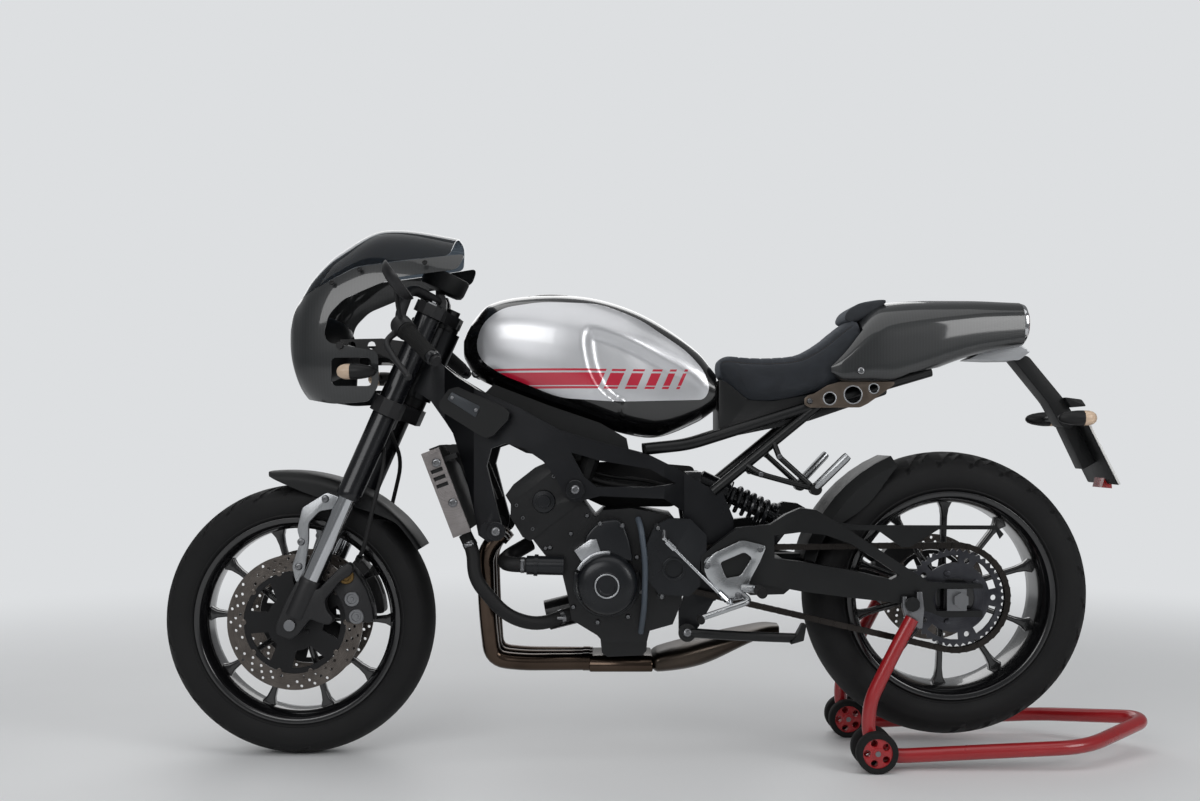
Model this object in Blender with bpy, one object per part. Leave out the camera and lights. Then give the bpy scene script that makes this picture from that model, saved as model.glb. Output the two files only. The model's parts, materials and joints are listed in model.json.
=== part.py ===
"""Naked three-cylinder motorcycle with a nose cowl, held upright by a rear paddock stand.

Metres, +Z up, +X forward, +Y to the rider's left. The floor is z = 0 and the origin lies on it,
under the middle of the machine and its stand.
"""

from math import asin, cos, pi, radians, sin

import bmesh
import bpy
from mathutils import Matrix, Vector

# ---------------------------------------------------------------- driving dimensions
FIT = 0.0003  # gap kept between pieces that are bolted, pressed or laid on each other

RAKE = radians(24.0)  # lean of the steering axis, machine on its stand
FORK_LENGTH = 0.745  # front axle up to the upper yoke, along the fork
FORK_OFFSET = 0.033  # fork legs ahead of the steering axis
FORK_HALF_PITCH = 0.105  # half the distance between the fork legs
FORK_OUTER_R = 0.027
FORK_INNER_R = 0.0205
STEM_R = 0.014
HEAD_BORE_R = 0.0165

FRONT_TYRE_R = 0.300
FRONT_TYRE_WIDTH = 0.120
REAR_TYRE_R = 0.315
REAR_TYRE_WIDTH = 0.178
RIM_LIP_R = 0.229
RIM_SEAT_R = 0.222
RIM_INNER_R = 0.203
SPOKE_PAIRS = 5

SWINGARM_LENGTH = 0.5365
SWINGARM_DROP = radians(8.25)  # arm slopes down from the pivot to the axle
ARM_INNER = 0.124  # inner face of each arm, from the middle of the machine
ARM_OUTER = 0.150
PIVOT_SHAFT_R = 0.011

CHAIN_PITCH = 0.015875
CHAIN_Y = 0.109
CHAIN_HALF_WIDTH = 0.010  # over the outer plates
CHAIN_INNER_WIDTH = 0.0082  # over the inner plates
CHAIN_PLATE = 0.0075  # half height of a link plate at the pin
FRONT_TEETH = 16
REAR_TEETH = 45
TOOTH_CLEARANCE = 0.0006

FRONT_DISC_R = 0.149
FRONT_DISC_Y = 0.070
REAR_DISC_R = 0.1225
REAR_DISC_Y = -0.100

STAND_WHEEL_R = 0.044
STAND_TUBE_R = 0.0155
STAND_HALF_TRACK = 0.170

# ---------------------------------------------------------------- reference points
# The chassis is drawn around these two nominal points and shifted as a whole, so that the
# front tyre always stands on the floor.
PIVOT_DRAWN = (-0.110, 0.436)
HEAD_DRAWN = (0.4649, 0.9672)

UP = Vector((-sin(RAKE), 0, cos(RAKE)))  # up the steering axis
AHEAD = Vector((cos(RAKE), 0, sin(RAKE)))  # square to it, forward

LIFT = FRONT_TYRE_R + FORK_LENGTH * cos(RAKE) - FORK_OFFSET * sin(RAKE) - HEAD_DRAWN[1]
HEAD = Vector((HEAD_DRAWN[0], 0, HEAD_DRAWN[1] + LIFT))
FRONT_AXLE = HEAD - UP * FORK_LENGTH + AHEAD * FORK_OFFSET
PIVOT = Vector((PIVOT_DRAWN[0], 0, PIVOT_DRAWN[1] + LIFT))
REAR_AXLE = PIVOT + SWINGARM_LENGTH * Vector((-cos(SWINGARM_DROP), 0, -sin(SWINGARM_DROP)))
FRONT_SPROCKET = PIVOT + Vector((0.080, 0, -0.011))

SIDES = (("left", 1), ("right", -1))


# ---------------------------------------------------------------- shape tools
def rounded(points, radius, steps=3, closed=False):
    """Swap each corner of a path or outline for an arc."""
    points = [Vector(p) for p in points]
    count = len(points)
    out = []
    for i, here in enumerate(points):
        if not closed and i in (0, count - 1):
            out.append(here)
            continue
        before = points[i - 1] - here
        after = points[(i + 1) % count] - here
        reach = min(radius, before.length * 0.45, after.length * 0.45)
        start = here + before.normalized() * reach
        end = here + after.normalized() * reach
        for k in range(steps + 1):
            t = k / steps
            out.append(start * (1 - t) ** 2 + here * (2 * t * (1 - t)) + end * t**2)
    return out


def prism(outline, low, high, axis="Y"):
    """Closed slab: an outline pushed from low to high along an axis."""
    places = {
        "X": lambda a, b, h: (h, a, b),
        "Y": lambda a, b, h: (a, h, b),
        "Z": lambda a, b, h: (a, b, h),
    }
    place = places[axis]
    bm = bmesh.new()
    floor = [bm.verts.new(place(p[0], p[1], low)) for p in outline]
    face = bm.faces.new(floor)
    grown = bmesh.ops.extrude_face_region(bm, geom=[face])
    top = [v for v in grown["geom"] if isinstance(v, bmesh.types.BMVert)]
    shift = Vector(place(0, 0, high - low))
    bmesh.ops.translate(bm, verts=top, vec=shift)
    return bm


def block(x, y, z):
    """Box between two values on each axis."""
    return prism([(x[0], z[0]), (x[1], z[0]), (x[1], z[1]), (x[0], z[1])], y[0], y[1])


def loft(rings, closed=False):
    """Skin over equal rings of points; the ends are capped unless the row closes on itself."""
    bm = bmesh.new()
    rows = [[bm.verts.new(p) for p in ring] for ring in rings]
    size = len(rows[0])
    count = len(rows)
    for i in range(count if closed else count - 1):
        a = rows[i]
        b = rows[(i + 1) % count]
        for k in range(size):
            n = (k + 1) % size
            bm.faces.new((a[k], a[n], b[n], b[k]))
    if not closed:
        bm.faces.new(rows[0][::-1])
        bm.faces.new(rows[-1])
    return bm


def ring_of(centre, across, up, radius, sides, turn=0.0):
    """Points of a circle in the plane of two directions."""
    out = []
    for k in range(sides):
        angle = 2 * pi * k / sides + turn
        out.append(centre + across * (radius * cos(angle)) + up * (radius * sin(angle)))
    return out


def tube(path, radius, sides=8, closed=False):
    """Round bar along a path; radius is one number or one per point."""
    path = [Vector(p) for p in path]
    count = len(path)
    radii = radius if isinstance(radius, (list, tuple)) else [radius] * count
    rings = []
    across = None
    for i, here in enumerate(path):
        before = path[i - 1] if closed or i else here
        after = path[(i + 1) % count] if closed or i < count - 1 else here
        along = (after - before).normalized()
        if across is None:
            across = along.orthogonal().normalized()
        across = (across - along * across.dot(along)).normalized()
        rings.append(ring_of(here, across, along.cross(across), radii[i], sides))
    return loft(rings, closed)


def turned(profile, centre, axis=(0, 1, 0), sides=24, hollow=False):
    """Round piece: a profile of (radius, place along the axis) turned about the axis."""
    axis = Vector(axis).normalized()
    lengthwise = abs(axis.x) > 0.9
    across = axis.cross(Vector((0, 1, 0) if lengthwise else (1, 0, 0))).normalized()
    up = axis.cross(across)
    centre = Vector(centre)
    bm = bmesh.new()
    rows = []
    for radius, along in profile:
        here = centre + axis * along
        if radius < 1e-6:
            rows.append([bm.verts.new(here)])
        else:
            rows.append([bm.verts.new(p) for p in ring_of(here, across, up, radius, sides)])
    pairs = list(zip(rows, rows[1:]))
    if hollow:
        pairs.append((rows[-1], rows[0]))
    for a, b in pairs:
        for k in range(sides):
            n = (k + 1) % sides
            if len(a) == 1:
                bm.faces.new((a[0], b[n], b[k]))
            elif len(b) == 1:
                bm.faces.new((a[k], a[n], b[0]))
            else:
                bm.faces.new((a[k], a[n], b[n], b[k]))
    if not hollow:
        for row in (rows[0], rows[-1]):
            if len(row) > 1:
                bm.faces.new(row)
    return bm


def disc(radius, centre, low, high, axis=(0, 1, 0), sides=24):
    """Plain cylinder."""
    return turned([(radius, low), (radius, high)], centre, axis, sides)


def oval(x, half_width, low, high, power=2.4, count=16, centre_y=0.0):
    """Section across the machine: a rounded rectangle with softness set by its power."""
    out = []
    middle = (low + high) / 2
    half_height = (high - low) / 2
    for k in range(count):
        angle = 2 * pi * (k + 0.5) / count
        c = cos(angle)
        s = sin(angle)
        y = half_width * abs(c) ** (2 / power) * (1 if c > 0 else -1)
        z = half_height * abs(s) ** (2 / power) * (1 if s > 0 else -1)
        out.append(Vector((x, centre_y + y, middle + z)))
    return out


def moved(bm, matrix):
    """Shape after a turn or a shift."""
    bmesh.ops.transform(bm, matrix=matrix, verts=bm.verts)
    return bm


def swung(bm, angle, centre, axis="Y"):
    """Shape turned about a line through a point."""
    centre = Vector(centre)
    turn = Matrix.Translation(centre) @ Matrix.Rotation(angle, 4, axis) @ Matrix.Translation(-centre)
    return moved(bm, turn)


def lifted(points):
    """Chassis outline, drawn for the nominal machine, at its true height."""
    return [(p[0], p[1] + LIFT) for p in points]


def raised(points):
    """Chassis path of (x, y, z) points at its true height."""
    return [Vector((p[0], p[1], p[2] + LIFT)) for p in points]


# ---------------------------------------------------------------- building pieces
def as_object(bm):
    """Temporary object with its faces pointing out."""
    bmesh.ops.remove_doubles(bm, verts=bm.verts, dist=1e-6)
    bmesh.ops.recalc_face_normals(bm, faces=bm.faces)
    mesh = bpy.data.meshes.new("shape")
    bm.to_mesh(mesh)
    bm.free()
    obj = bpy.data.objects.new("shape", mesh)
    bpy.context.scene.collection.objects.link(obj)
    return obj


def combine(base, other, operation):
    """Join two bodies or cut one with the other."""
    mod = base.modifiers.new("combine", "BOOLEAN")
    mod.operation = operation
    mod.solver = "EXACT"
    mod.object = other
    graph = bpy.context.evaluated_depsgraph_get()
    mesh = bpy.data.meshes.new_from_object(base.evaluated_get(graph))
    base.modifiers.clear()
    base.data = mesh
    bpy.data.objects.remove(other)


def grown_copy(name, gap):
    """Copy of a finished piece, larger by the gap all over."""
    source = bpy.data.objects[name]
    bm = bmesh.new()
    bm.from_mesh(source.data)
    bmesh.ops.translate(bm, verts=bm.verts, vec=source.matrix_world.translation)
    bmesh.ops.triangulate(bm, faces=bm.faces)
    bmesh.ops.dissolve_degenerate(bm, dist=1e-6, edges=bm.edges)
    bm.normal_update()
    shifts = [v.normal * (gap * min(v.calc_shell_factor(), 2.0)) for v in bm.verts]
    for vert, shift in zip(bm.verts, shifts):
        vert.co += shift
    return as_object(bm)


def carved(shape, cuts=(), keep=None):
    """Shape with others cut out of it, or only what lies inside another."""
    base = as_object(shape)
    for cut in cuts:
        combine(base, as_object(cut), "DIFFERENCE")
    if keep:
        combine(base, as_object(keep), "INTERSECT")
    bm = bmesh.new()
    bm.from_mesh(base.data)
    bpy.data.objects.remove(base)
    return bm


def flatten(mesh):
    """Merge the pieces of flat faces and drop points that lie on straight edges."""
    bm = bmesh.new()
    bm.from_mesh(mesh)
    bmesh.ops.remove_doubles(bm, verts=bm.verts, dist=2e-6)
    bmesh.ops.dissolve_degenerate(bm, dist=2e-6, edges=bm.edges)
    bmesh.ops.dissolve_limit(bm, angle_limit=radians(0.2), verts=bm.verts, edges=bm.edges)
    bm.to_mesh(mesh)
    bm.free()


def look(name, colour, roughness, metallic):
    """Plain material of one piece."""
    material = bpy.data.materials.new(name)
    material.use_nodes = True
    shader = material.node_tree.nodes["Principled BSDF"]
    shader.inputs["Base Color"].default_value = (*colour, 1)
    shader.inputs["Roughness"].default_value = roughness
    shader.inputs["Metallic"].default_value = metallic
    material.diffuse_color = (*colour, 1)
    return material


LOOKS = {
    "black_cast": ((0.025, 0.025, 0.028), 0.45, 0.3),
    "black_gloss": ((0.012, 0.012, 0.013), 0.12, 0.0),
    "black_plastic": ((0.02, 0.02, 0.021), 0.6, 0.0),
    "grey_cast": ((0.10, 0.105, 0.115), 0.42, 0.6),
    "dark_steel": ((0.08, 0.08, 0.085), 0.4, 0.8),
    "steel": ((0.45, 0.45, 0.46), 0.28, 0.95),
    "aluminium": ((0.62, 0.63, 0.65), 0.3, 0.95),
    "silver_paint": ((0.66, 0.68, 0.70), 0.22, 0.5),
    "carbon": ((0.035, 0.037, 0.042), 0.2, 0.2),
    "rubber": ((0.016, 0.016, 0.017), 0.85, 0.0),
    "suede": ((0.03, 0.032, 0.036), 0.9, 0.0),
    "smoke": ((0.05, 0.06, 0.07), 0.08, 0.0),
    "clear": ((0.75, 0.77, 0.78), 0.08, 0.0),
    "red_lens": ((0.45, 0.01, 0.01), 0.12, 0.0),
    "red_paint": ((0.50, 0.015, 0.02), 0.3, 0.0),
    "header": ((0.16, 0.13, 0.11), 0.32, 0.9),
    "white": ((0.75, 0.75, 0.74), 0.4, 0.0),
}


def part(name, finish, shapes, cuts=(), seats=(), side=1, pivot=None, parent=None):
    """One named piece: shapes joined, cuts and seats taken out, mirrored if side is -1."""
    flip = Matrix.Scale(-1, 4, (0, 1, 0)) if side < 0 else Matrix.Identity(4)
    bodies = [as_object(moved(s, flip)) for s in shapes]
    base = bodies[0]
    for other in bodies[1:]:
        combine(base, other, "UNION")
    for cut in cuts:
        combine(base, as_object(moved(cut, flip)), "DIFFERENCE")
    for seat in seats:
        combine(base, grown_copy(seat, FIT), "DIFFERENCE")
    flatten(base.data)
    origin = Vector(pivot) if pivot is not None else Vector((0, 0, 0))
    base.name = name
    base.data.name = name
    base.data.transform(Matrix.Translation(-origin))
    if parent:
        base.parent = bpy.data.objects[parent]
        base.location = origin - base.parent.matrix_world.translation
    else:
        base.location = origin
    base.data.materials.clear()
    base.data.materials.append(look(name, *LOOKS[finish]))
    base.data.shade_smooth()
    base.data.set_sharp_from_angle(angle=radians(32))
    bpy.context.view_layer.update()
    return base


def pivot_point(name, place, parent=None):
    """Empty on a joint's axis, which carries the pieces that move with it."""
    empty = bpy.data.objects.new(name, None)
    bpy.context.scene.collection.objects.link(empty)
    place = Vector(place)
    if parent:
        empty.parent = bpy.data.objects[parent]
        empty.location = place - empty.parent.matrix_world.translation
    else:
        empty.location = place
    bpy.context.view_layer.update()


for old in list(bpy.data.objects):
    bpy.data.objects.remove(old)

# ---------------------------------------------------------------- wheels
WHEEL_SIDES = 28
AXLE_R = 0.0125
BORE_PLAY = 0.0006
HUB_R = 0.034


def rim_profile(half):
    """Section of a cast rim: two lips, the tyre seat between them and the well inside."""
    lip = [(RIM_LIP_R, half), (RIM_LIP_R, half - 0.004), (RIM_SEAT_R, half - 0.006)]
    inside = [(RIM_INNER_R, half * 0.62), (RIM_INNER_R + 0.012, half - 0.004)]
    profile = lip + [(r, -y) for r, y in reversed(lip)]
    return profile + [(r, -y) for r, y in reversed(inside)] + inside


def tyre_profile(half_rim, radius, width):
    """Section of a road tyre: bead on the seat, bulged wall, round crown."""
    half = width / 2
    shoulder = radius - half * 0.55
    wall = [
        (RIM_SEAT_R + FIT, half_rim - 0.006 - FIT),
        (RIM_LIP_R + FIT, half_rim - 0.004 - FIT),
        (RIM_LIP_R + 0.004, half_rim + 0.001),
        ((RIM_LIP_R + shoulder) / 2, (half_rim + 0.002 + half) / 2 + 0.003),
    ]
    steps = 3
    for k in range(1, steps):
        angle = pi / 2 * k / steps
        wall.append((shoulder + (radius - shoulder) * sin(angle), half * cos(angle)))
    return wall + [(radius, 0)] + [(r, -y) for r, y in reversed(wall)]


def spoke(centre, hub_angle, rim_angle, thickness):
    """One flat tapered spoke, wider where it meets the hub and the rim."""
    hub_r = HUB_R - 0.006
    rim_r = RIM_INNER_R + 0.004
    start = Vector((hub_r * cos(hub_angle), hub_r * sin(hub_angle)))
    end = Vector((rim_r * cos(rim_angle), rim_r * sin(rim_angle)))
    along = end - start
    square = Vector((-along.y, along.x)).normalized()
    stations = ((0, 0.011), (0.30, 0.0068), (0.86, 0.0068), (1, 0.015))
    left = [start + along * t + square * w for t, w in stations]
    right = [start + along * t - square * w for t, w in stations]
    outline = [(centre.x + p.x, centre.z + p.y) for p in left + right[::-1]]
    return prism(outline, -thickness / 2, thickness / 2)


def cast_rim(name, centre, half_rim, hub, parent, thickness, phase):
    """Rim, paired spokes and hub as one casting, bored for its axle."""
    shapes = [turned(rim_profile(half_rim), centre, sides=WHEEL_SIDES, hollow=True)]
    for pair in range(SPOKE_PAIRS):
        middle = phase + 2 * pi * pair / SPOKE_PAIRS
        for way in (-1, 1):
            ends = (middle + way * radians(12), middle + way * radians(17))
            shapes.append(spoke(centre, *ends, thickness))
    shapes.insert(1, turned(hub, centre, sides=16))
    bore = disc(AXLE_R + BORE_PLAY, centre, -0.2, 0.2, sides=12)
    part(name, "black_gloss", shapes, cuts=[bore], pivot=centre, parent=parent)


def brake_disc(name, centre, radius, band, y, hub_r, parent, arms=5):
    """Rotor ring on a carrier with arms that bolts to the hub flange."""
    half = 0.0025
    shapes = [turned([(radius, -half), (radius, half), (radius - band, half), (radius - band, -half)],
                     centre + Vector((0, y, 0)), sides=22, hollow=True)]
    inner = disc(hub_r + 0.012, centre, y - half, y + half, sides=12)
    for k in range(arms):
        angle = 2 * pi * k / arms
        arm = prism([(hub_r, -0.010), (radius - band + 0.004, -0.006),
                     (radius - band + 0.004, 0.006), (hub_r, 0.010)], y - half * 0.8, y + half * 0.8)
        shapes.append(swung(moved(arm, Matrix.Translation((centre.x, 0, centre.z))), angle, centre))
    shapes.insert(1, inner)
    bore = disc(AXLE_R + 0.012, centre, y - 0.02, y + 0.02, sides=12)
    part(name, "steel", shapes, cuts=[bore], pivot=centre, parent=parent)


def sprocket_outline(teeth, centre, tip, depth):
    """Teeth round a circle: flat tips and rounded gaps."""
    out = []
    for k in range(teeth):
        for share, r in ((0.0, tip), (0.22, tip), (0.61, tip - depth)):
            angle = 2 * pi * (k + share) / teeth
            out.append((centre.x + r * cos(angle), centre.z + r * sin(angle)))
    return out


FRONT_HALF_RIM = 0.052
REAR_HALF_RIM = 0.078
SPOKE_THICKNESS = 0.022

pivot_point("steering_axis", HEAD)
pivot_point("front_wheel_axis", FRONT_AXLE, "steering_axis")
pivot_point("rear_wheel_axis", REAR_AXLE)

FRONT_FLANGE = FRONT_DISC_Y - 0.0025 - FIT
cast_rim("front_rim", FRONT_AXLE, FRONT_HALF_RIM,
         [(0.044, FRONT_FLANGE), (0.044, 0.056), (HUB_R, 0.040), (HUB_R, -0.040), (0.044, -0.056),
          (0.044, -FRONT_FLANGE)],
         "front_wheel_axis", SPOKE_THICKNESS, radians(20))
part("front_tyre", "rubber",
     [turned(tyre_profile(FRONT_HALF_RIM, FRONT_TYRE_R, FRONT_TYRE_WIDTH), FRONT_AXLE,
             sides=WHEEL_SIDES, hollow=True)],
     pivot=FRONT_AXLE, parent="front_wheel_axis")
for word, side in SIDES:
    brake_disc("front_disc_" + word, FRONT_AXLE, FRONT_DISC_R, 0.034, side * FRONT_DISC_Y, 0.034,
               "front_wheel_axis")

REAR_FLANGE = REAR_DISC_Y + 0.0025 + FIT
SPROCKET_HALF = 0.003
CARRIER_FACE = CHAIN_Y - SPROCKET_HALF - FIT
cast_rim("rear_rim", REAR_AXLE, REAR_HALF_RIM,
         [(0.040, REAR_FLANGE), (0.040, -0.080), (HUB_R, -0.050), (HUB_R, 0.045), (0.070, 0.065),
          (0.070, CARRIER_FACE)],
         "rear_wheel_axis", SPOKE_THICKNESS, radians(2))
part("rear_tyre", "rubber",
     [turned(tyre_profile(REAR_HALF_RIM, REAR_TYRE_R, REAR_TYRE_WIDTH), REAR_AXLE,
             sides=WHEEL_SIDES, hollow=True)],
     pivot=REAR_AXLE, parent="rear_wheel_axis")
brake_disc("rear_disc", REAR_AXLE, REAR_DISC_R, 0.036, REAR_DISC_Y, 0.034, "rear_wheel_axis")


def pitch_radius(teeth):
    """Radius of the circle through the chain's pins on a sprocket."""
    return CHAIN_PITCH / (2 * sin(pi / teeth))


def slot_round(centre, radius, angle, half, depth, y):
    """Lightening slot that follows a circle."""
    inner = []
    outer = []
    for k in range(3):
        a = angle - half + 2 * half * k / 2
        inner.append((centre.x + (radius - depth / 2) * cos(a), centre.z + (radius - depth / 2) * sin(a)))
        outer.append((centre.x + (radius + depth / 2) * cos(a), centre.z + (radius + depth / 2) * sin(a)))
    return prism(inner + outer[::-1], y - 0.01, y + 0.01)


REAR_TIP = pitch_radius(REAR_TEETH) - CHAIN_PLATE - TOOTH_CLEARANCE
FRONT_TIP = pitch_radius(FRONT_TEETH) - CHAIN_PLATE - TOOTH_CLEARANCE
SPROCKET_SLOTS = 5
part("rear_sprocket", "dark_steel",
     [prism(sprocket_outline(REAR_TEETH, REAR_AXLE, REAR_TIP, 0.005), CHAIN_Y - SPROCKET_HALF,
            CHAIN_Y + SPROCKET_HALF)],
     cuts=[disc(0.042, REAR_AXLE, 0.09, 0.13, sides=16)]
     + [slot_round(REAR_AXLE, 0.083, 2 * pi * k / SPROCKET_SLOTS, radians(22), 0.016, CHAIN_Y)
        for k in range(SPROCKET_SLOTS)],
     pivot=REAR_AXLE, parent="rear_wheel_axis")

# ---------------------------------------------------------------- chain and front sprocket
def chain_loop():
    """Pins of a chain round both sprockets, as (point, outward direction) pairs."""
    front = Vector((FRONT_SPROCKET.x, FRONT_SPROCKET.z))
    rear = Vector((REAR_AXLE.x, REAR_AXLE.z))
    r1 = pitch_radius(FRONT_TEETH)
    r2 = pitch_radius(REAR_TEETH)
    span = rear - front
    length = span.length
    along = span / length
    square = Vector((along.y, -along.x))
    if square.y < 0:
        square = -square
    lean = asin((r2 - r1) / length)
    run = length * cos(lean)
    rear_arc = (pi + 2 * lean) * r2
    front_arc = (pi - 2 * lean) * r1
    total = 2 * run + rear_arc + front_arc
    links = 2 * round(total / CHAIN_PITCH / 2)

    def facing(angle):
        """Direction at an angle from straight up, towards the rear sprocket."""
        return square * cos(angle) + along * sin(angle)

    out = []
    for k in range(links):
        s = total * k / links
        if s < run:
            normal = facing(-lean)
            point = front + normal * r1 + (facing(pi / 2 - lean)) * s
        elif s < run + rear_arc:
            normal = facing(-lean + (s - run) / r2)
            point = rear + normal * r2
        elif s < 2 * run + rear_arc:
            normal = facing(pi + lean)
            point = rear + normal * r2 - facing(pi / 2 + lean) * (s - run - rear_arc)
        else:
            normal = facing(pi + lean + (s - 2 * run - rear_arc) / r1)
            point = front + normal * r1
        out.append((point, normal))
    return out


rings = []
for k, (point, normal) in enumerate(chain_loop()):
    half_width = CHAIN_HALF_WIDTH if k % 2 else CHAIN_INNER_WIDTH
    ring = []
    for way, y in ((1, -1), (1, 1), (-1, 1), (-1, -1)):
        place = point + normal * (CHAIN_PLATE * way)
        ring.append((place.x, CHAIN_Y + y * half_width, place.y))
    rings.append(ring)
part("chain", "dark_steel", [loft(rings, closed=True)])

# ---------------------------------------------------------------- swingarm
AXLE_DRAWN = (-0.64095, 0.35902)
ARM_STRETCH = (-0.19, -0.55)
AXLE_SHIFT = Vector((REAR_AXLE.x - AXLE_DRAWN[0], REAR_AXLE.z - AXLE_DRAWN[1] - LIFT))


def on_arm(points):
    """Outline drawn on the nominal arm, with its rear end carried along by the axle."""
    out = []
    for x, z in points:
        share = min(max((ARM_STRETCH[0] - x) / (ARM_STRETCH[0] - ARM_STRETCH[1]), 0), 1)
        out.append((x + share * AXLE_SHIFT.x, z + LIFT + share * AXLE_SHIFT.y))
    return out


ARM_OUTLINE = [
    (-0.088, 0.452), (-0.110, 0.470), (-0.165, 0.512), (-0.237, 0.520), (-0.269, 0.541), (-0.301, 0.555),
    (-0.334, 0.551), (-0.387, 0.520), (-0.473, 0.464), (-0.575, 0.397), (-0.690, 0.392),
    (-0.692, 0.383), (-0.592, 0.383), (-0.583, 0.360), (-0.592, 0.335), (-0.690, 0.335),
    (-0.690, 0.322), (-0.606, 0.321), (-0.580, 0.331), (-0.516, 0.351), (-0.409, 0.363),
    (-0.301, 0.377), (-0.183, 0.399), (-0.110, 0.402), (-0.088, 0.420),
]
ARM_WINDOW = [(-0.245, 0.447), (-0.301, 0.440), (-0.409, 0.422), (-0.494, 0.402), (-0.512, 0.411),
              (-0.470, 0.440), (-0.409, 0.478), (-0.352, 0.498), (-0.300, 0.503), (-0.245, 0.496)]
CROSS_OUTLINE = [(-0.180, 0.378), (-0.180, 0.438), (-0.196, 0.446), (-0.266, 0.444), (-0.282, 0.430),
                 (-0.282, 0.380), (-0.268, 0.368), (-0.196, 0.366)]

swingarm = [prism(on_arm(ARM_OUTLINE), ARM_INNER, ARM_OUTER)]
windows = []
for word, side in SIDES:
    low, high = sorted((side * (ARM_INNER - 0.01), side * (ARM_OUTER + 0.01)))
    windows.append(prism(on_arm(ARM_WINDOW), low, high))
swingarm.append(prism(lifted(CROSS_OUTLINE), -ARM_INNER - 0.004, ARM_INNER + 0.004))
swingarm.append(prism(on_arm(ARM_OUTLINE), -ARM_OUTER, -ARM_INNER))
swingarm.append(disc(PIVOT_SHAFT_R, PIVOT, -ARM_OUTER - 0.004, ARM_OUTER + 0.004, sides=12))
SPOOL_DRAWN = (-0.535, 0.352)
SPOOL_R = 0.010
spool_centre = Vector((on_arm([SPOOL_DRAWN])[0][0], 0, on_arm([SPOOL_DRAWN])[0][1]))
for word, side in SIDES:
    low, high = sorted((side * (ARM_OUTER - 0.004), side * (ARM_OUTER + 0.026)))
    swingarm.append(disc(SPOOL_R, spool_centre, low, high, sides=10))
    low, high = sorted((side * (ARM_OUTER + 0.020), side * (ARM_OUTER + 0.026)))
    swingarm.append(disc(SPOOL_R + 0.006, spool_centre, low, high, sides=10))
GUARD = [(-0.425, 0.5175), (-0.725, 0.5165), (-0.740, 0.498), (-0.732, 0.488), (-0.722, 0.508),
         (-0.600, 0.508), (-0.538, 0.470), (-0.520, 0.470), (-0.470, 0.506), (-0.425, 0.506)]
GUARD_TAB = [(-0.362, 0.508), (-0.362, 0.526), (-0.432, 0.5168), (-0.440, 0.5068)]
swingarm.append(prism(on_arm(GUARD), ARM_INNER + 0.005, ARM_INNER + 0.010))
swingarm.append(prism(on_arm(GUARD_TAB), ARM_INNER + 0.004, ARM_INNER + 0.012))
part("swingarm", "black_cast", swingarm, cuts=windows)

BLOCK_OUTLINE = [(-0.613, 0.3823), (-0.655, 0.3823), (-0.655, 0.3357), (-0.613, 0.3357)]
NUT_R = 0.017
block_outline = [(x + AXLE_SHIFT.x, z + LIFT + AXLE_SHIFT.y) for x, z in BLOCK_OUTLINE]
part("rear_axle", "aluminium",
     [disc(AXLE_R, REAR_AXLE, -ARM_OUTER - 0.010, ARM_OUTER + 0.010, sides=16),
      prism(block_outline, ARM_INNER + 0.001, ARM_OUTER + 0.004),
      prism(block_outline, -ARM_OUTER - 0.004, -ARM_INNER - 0.001),
      disc(0.020, REAR_AXLE, CHAIN_Y + SPROCKET_HALF + 0.001, ARM_INNER + 0.002, sides=16),
      disc(0.020, REAR_AXLE, -ARM_INNER - 0.002, REAR_DISC_Y - 0.0035, sides=16),
      disc(NUT_R, REAR_AXLE, ARM_OUTER + 0.003, ARM_OUTER + 0.016, sides=6),
      disc(NUT_R, REAR_AXLE, -ARM_OUTER - 0.016, -ARM_OUTER - 0.003, sides=6)])

# ---------------------------------------------------------------- frame
SPAR_OUTLINE = [
    (0.492, 0.880), (0.440, 0.838), (0.395, 0.810), (0.342, 0.788), (0.299, 0.769), (0.214, 0.722),
    (0.128, 0.696), (0.020, 0.668), (-0.044, 0.636), (-0.104, 0.600), (-0.140, 0.585),
    (-0.163, 0.530), (-0.163, 0.470), (-0.152, 0.399), (-0.124, 0.350), (-0.088, 0.343),
    (-0.066, 0.380), (-0.064, 0.470), (-0.052, 0.545), (-0.010, 0.574), (0.128, 0.580),
    (0.158, 0.572), (0.186, 0.566), (0.204, 0.580), (0.222, 0.618), (0.250, 0.655), (0.290, 0.682),
    (0.330, 0.693), (0.362, 0.682), (0.372, 0.645), (0.352, 0.565), (0.340, 0.520), (0.345, 0.488),
    (0.368, 0.480), (0.390, 0.495), (0.402, 0.555), (0.424, 0.640), (0.450, 0.715), (0.500, 0.785),
]
SPAR_SLOT = [(0.190, 0.674), (0.128, 0.656), (0.020, 0.638), (-0.036, 0.606), (0.020, 0.599),
             (0.135, 0.600), (0.162, 0.622)]
# inner face of a side, from the middle of the machine, at places along it
SPAR_BEND = [(-0.30, 0.066), (-0.056, 0.068), (-0.010, 0.112), (0.330, 0.118), (0.400, 0.098),
             (0.470, 0.042), (0.60, 0.030)]
SPAR_THICKNESS = 0.025


def spar_inner(x):
    """Inner face of a frame side at a place along the machine."""
    for (x0, y0), (x1, y1) in zip(SPAR_BEND, SPAR_BEND[1:]):
        if x <= x1:
            return y0 + (y1 - y0) * (x - x0) / (x1 - x0)
    return SPAR_BEND[-1][1]


def frame_side(side):
    """Flat spar with its slot, bent inwards to the steering head and the swingarm pivot."""
    slot = prism(lifted(SPAR_SLOT), -0.01, 0.05)
    bm = carved(prism(lifted(SPAR_OUTLINE), 0, SPAR_THICKNESS), [slot])
    for x, _ in SPAR_BEND:
        everything = bm.verts[:] + bm.edges[:] + bm.faces[:]
        bmesh.ops.bisect_plane(bm, geom=everything, plane_co=(x, 0, 0), plane_no=(1, 0, 0))
    for vert in bm.verts:
        vert.co.y = side * (vert.co.y + spar_inner(vert.co.x))
    return bm


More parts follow.
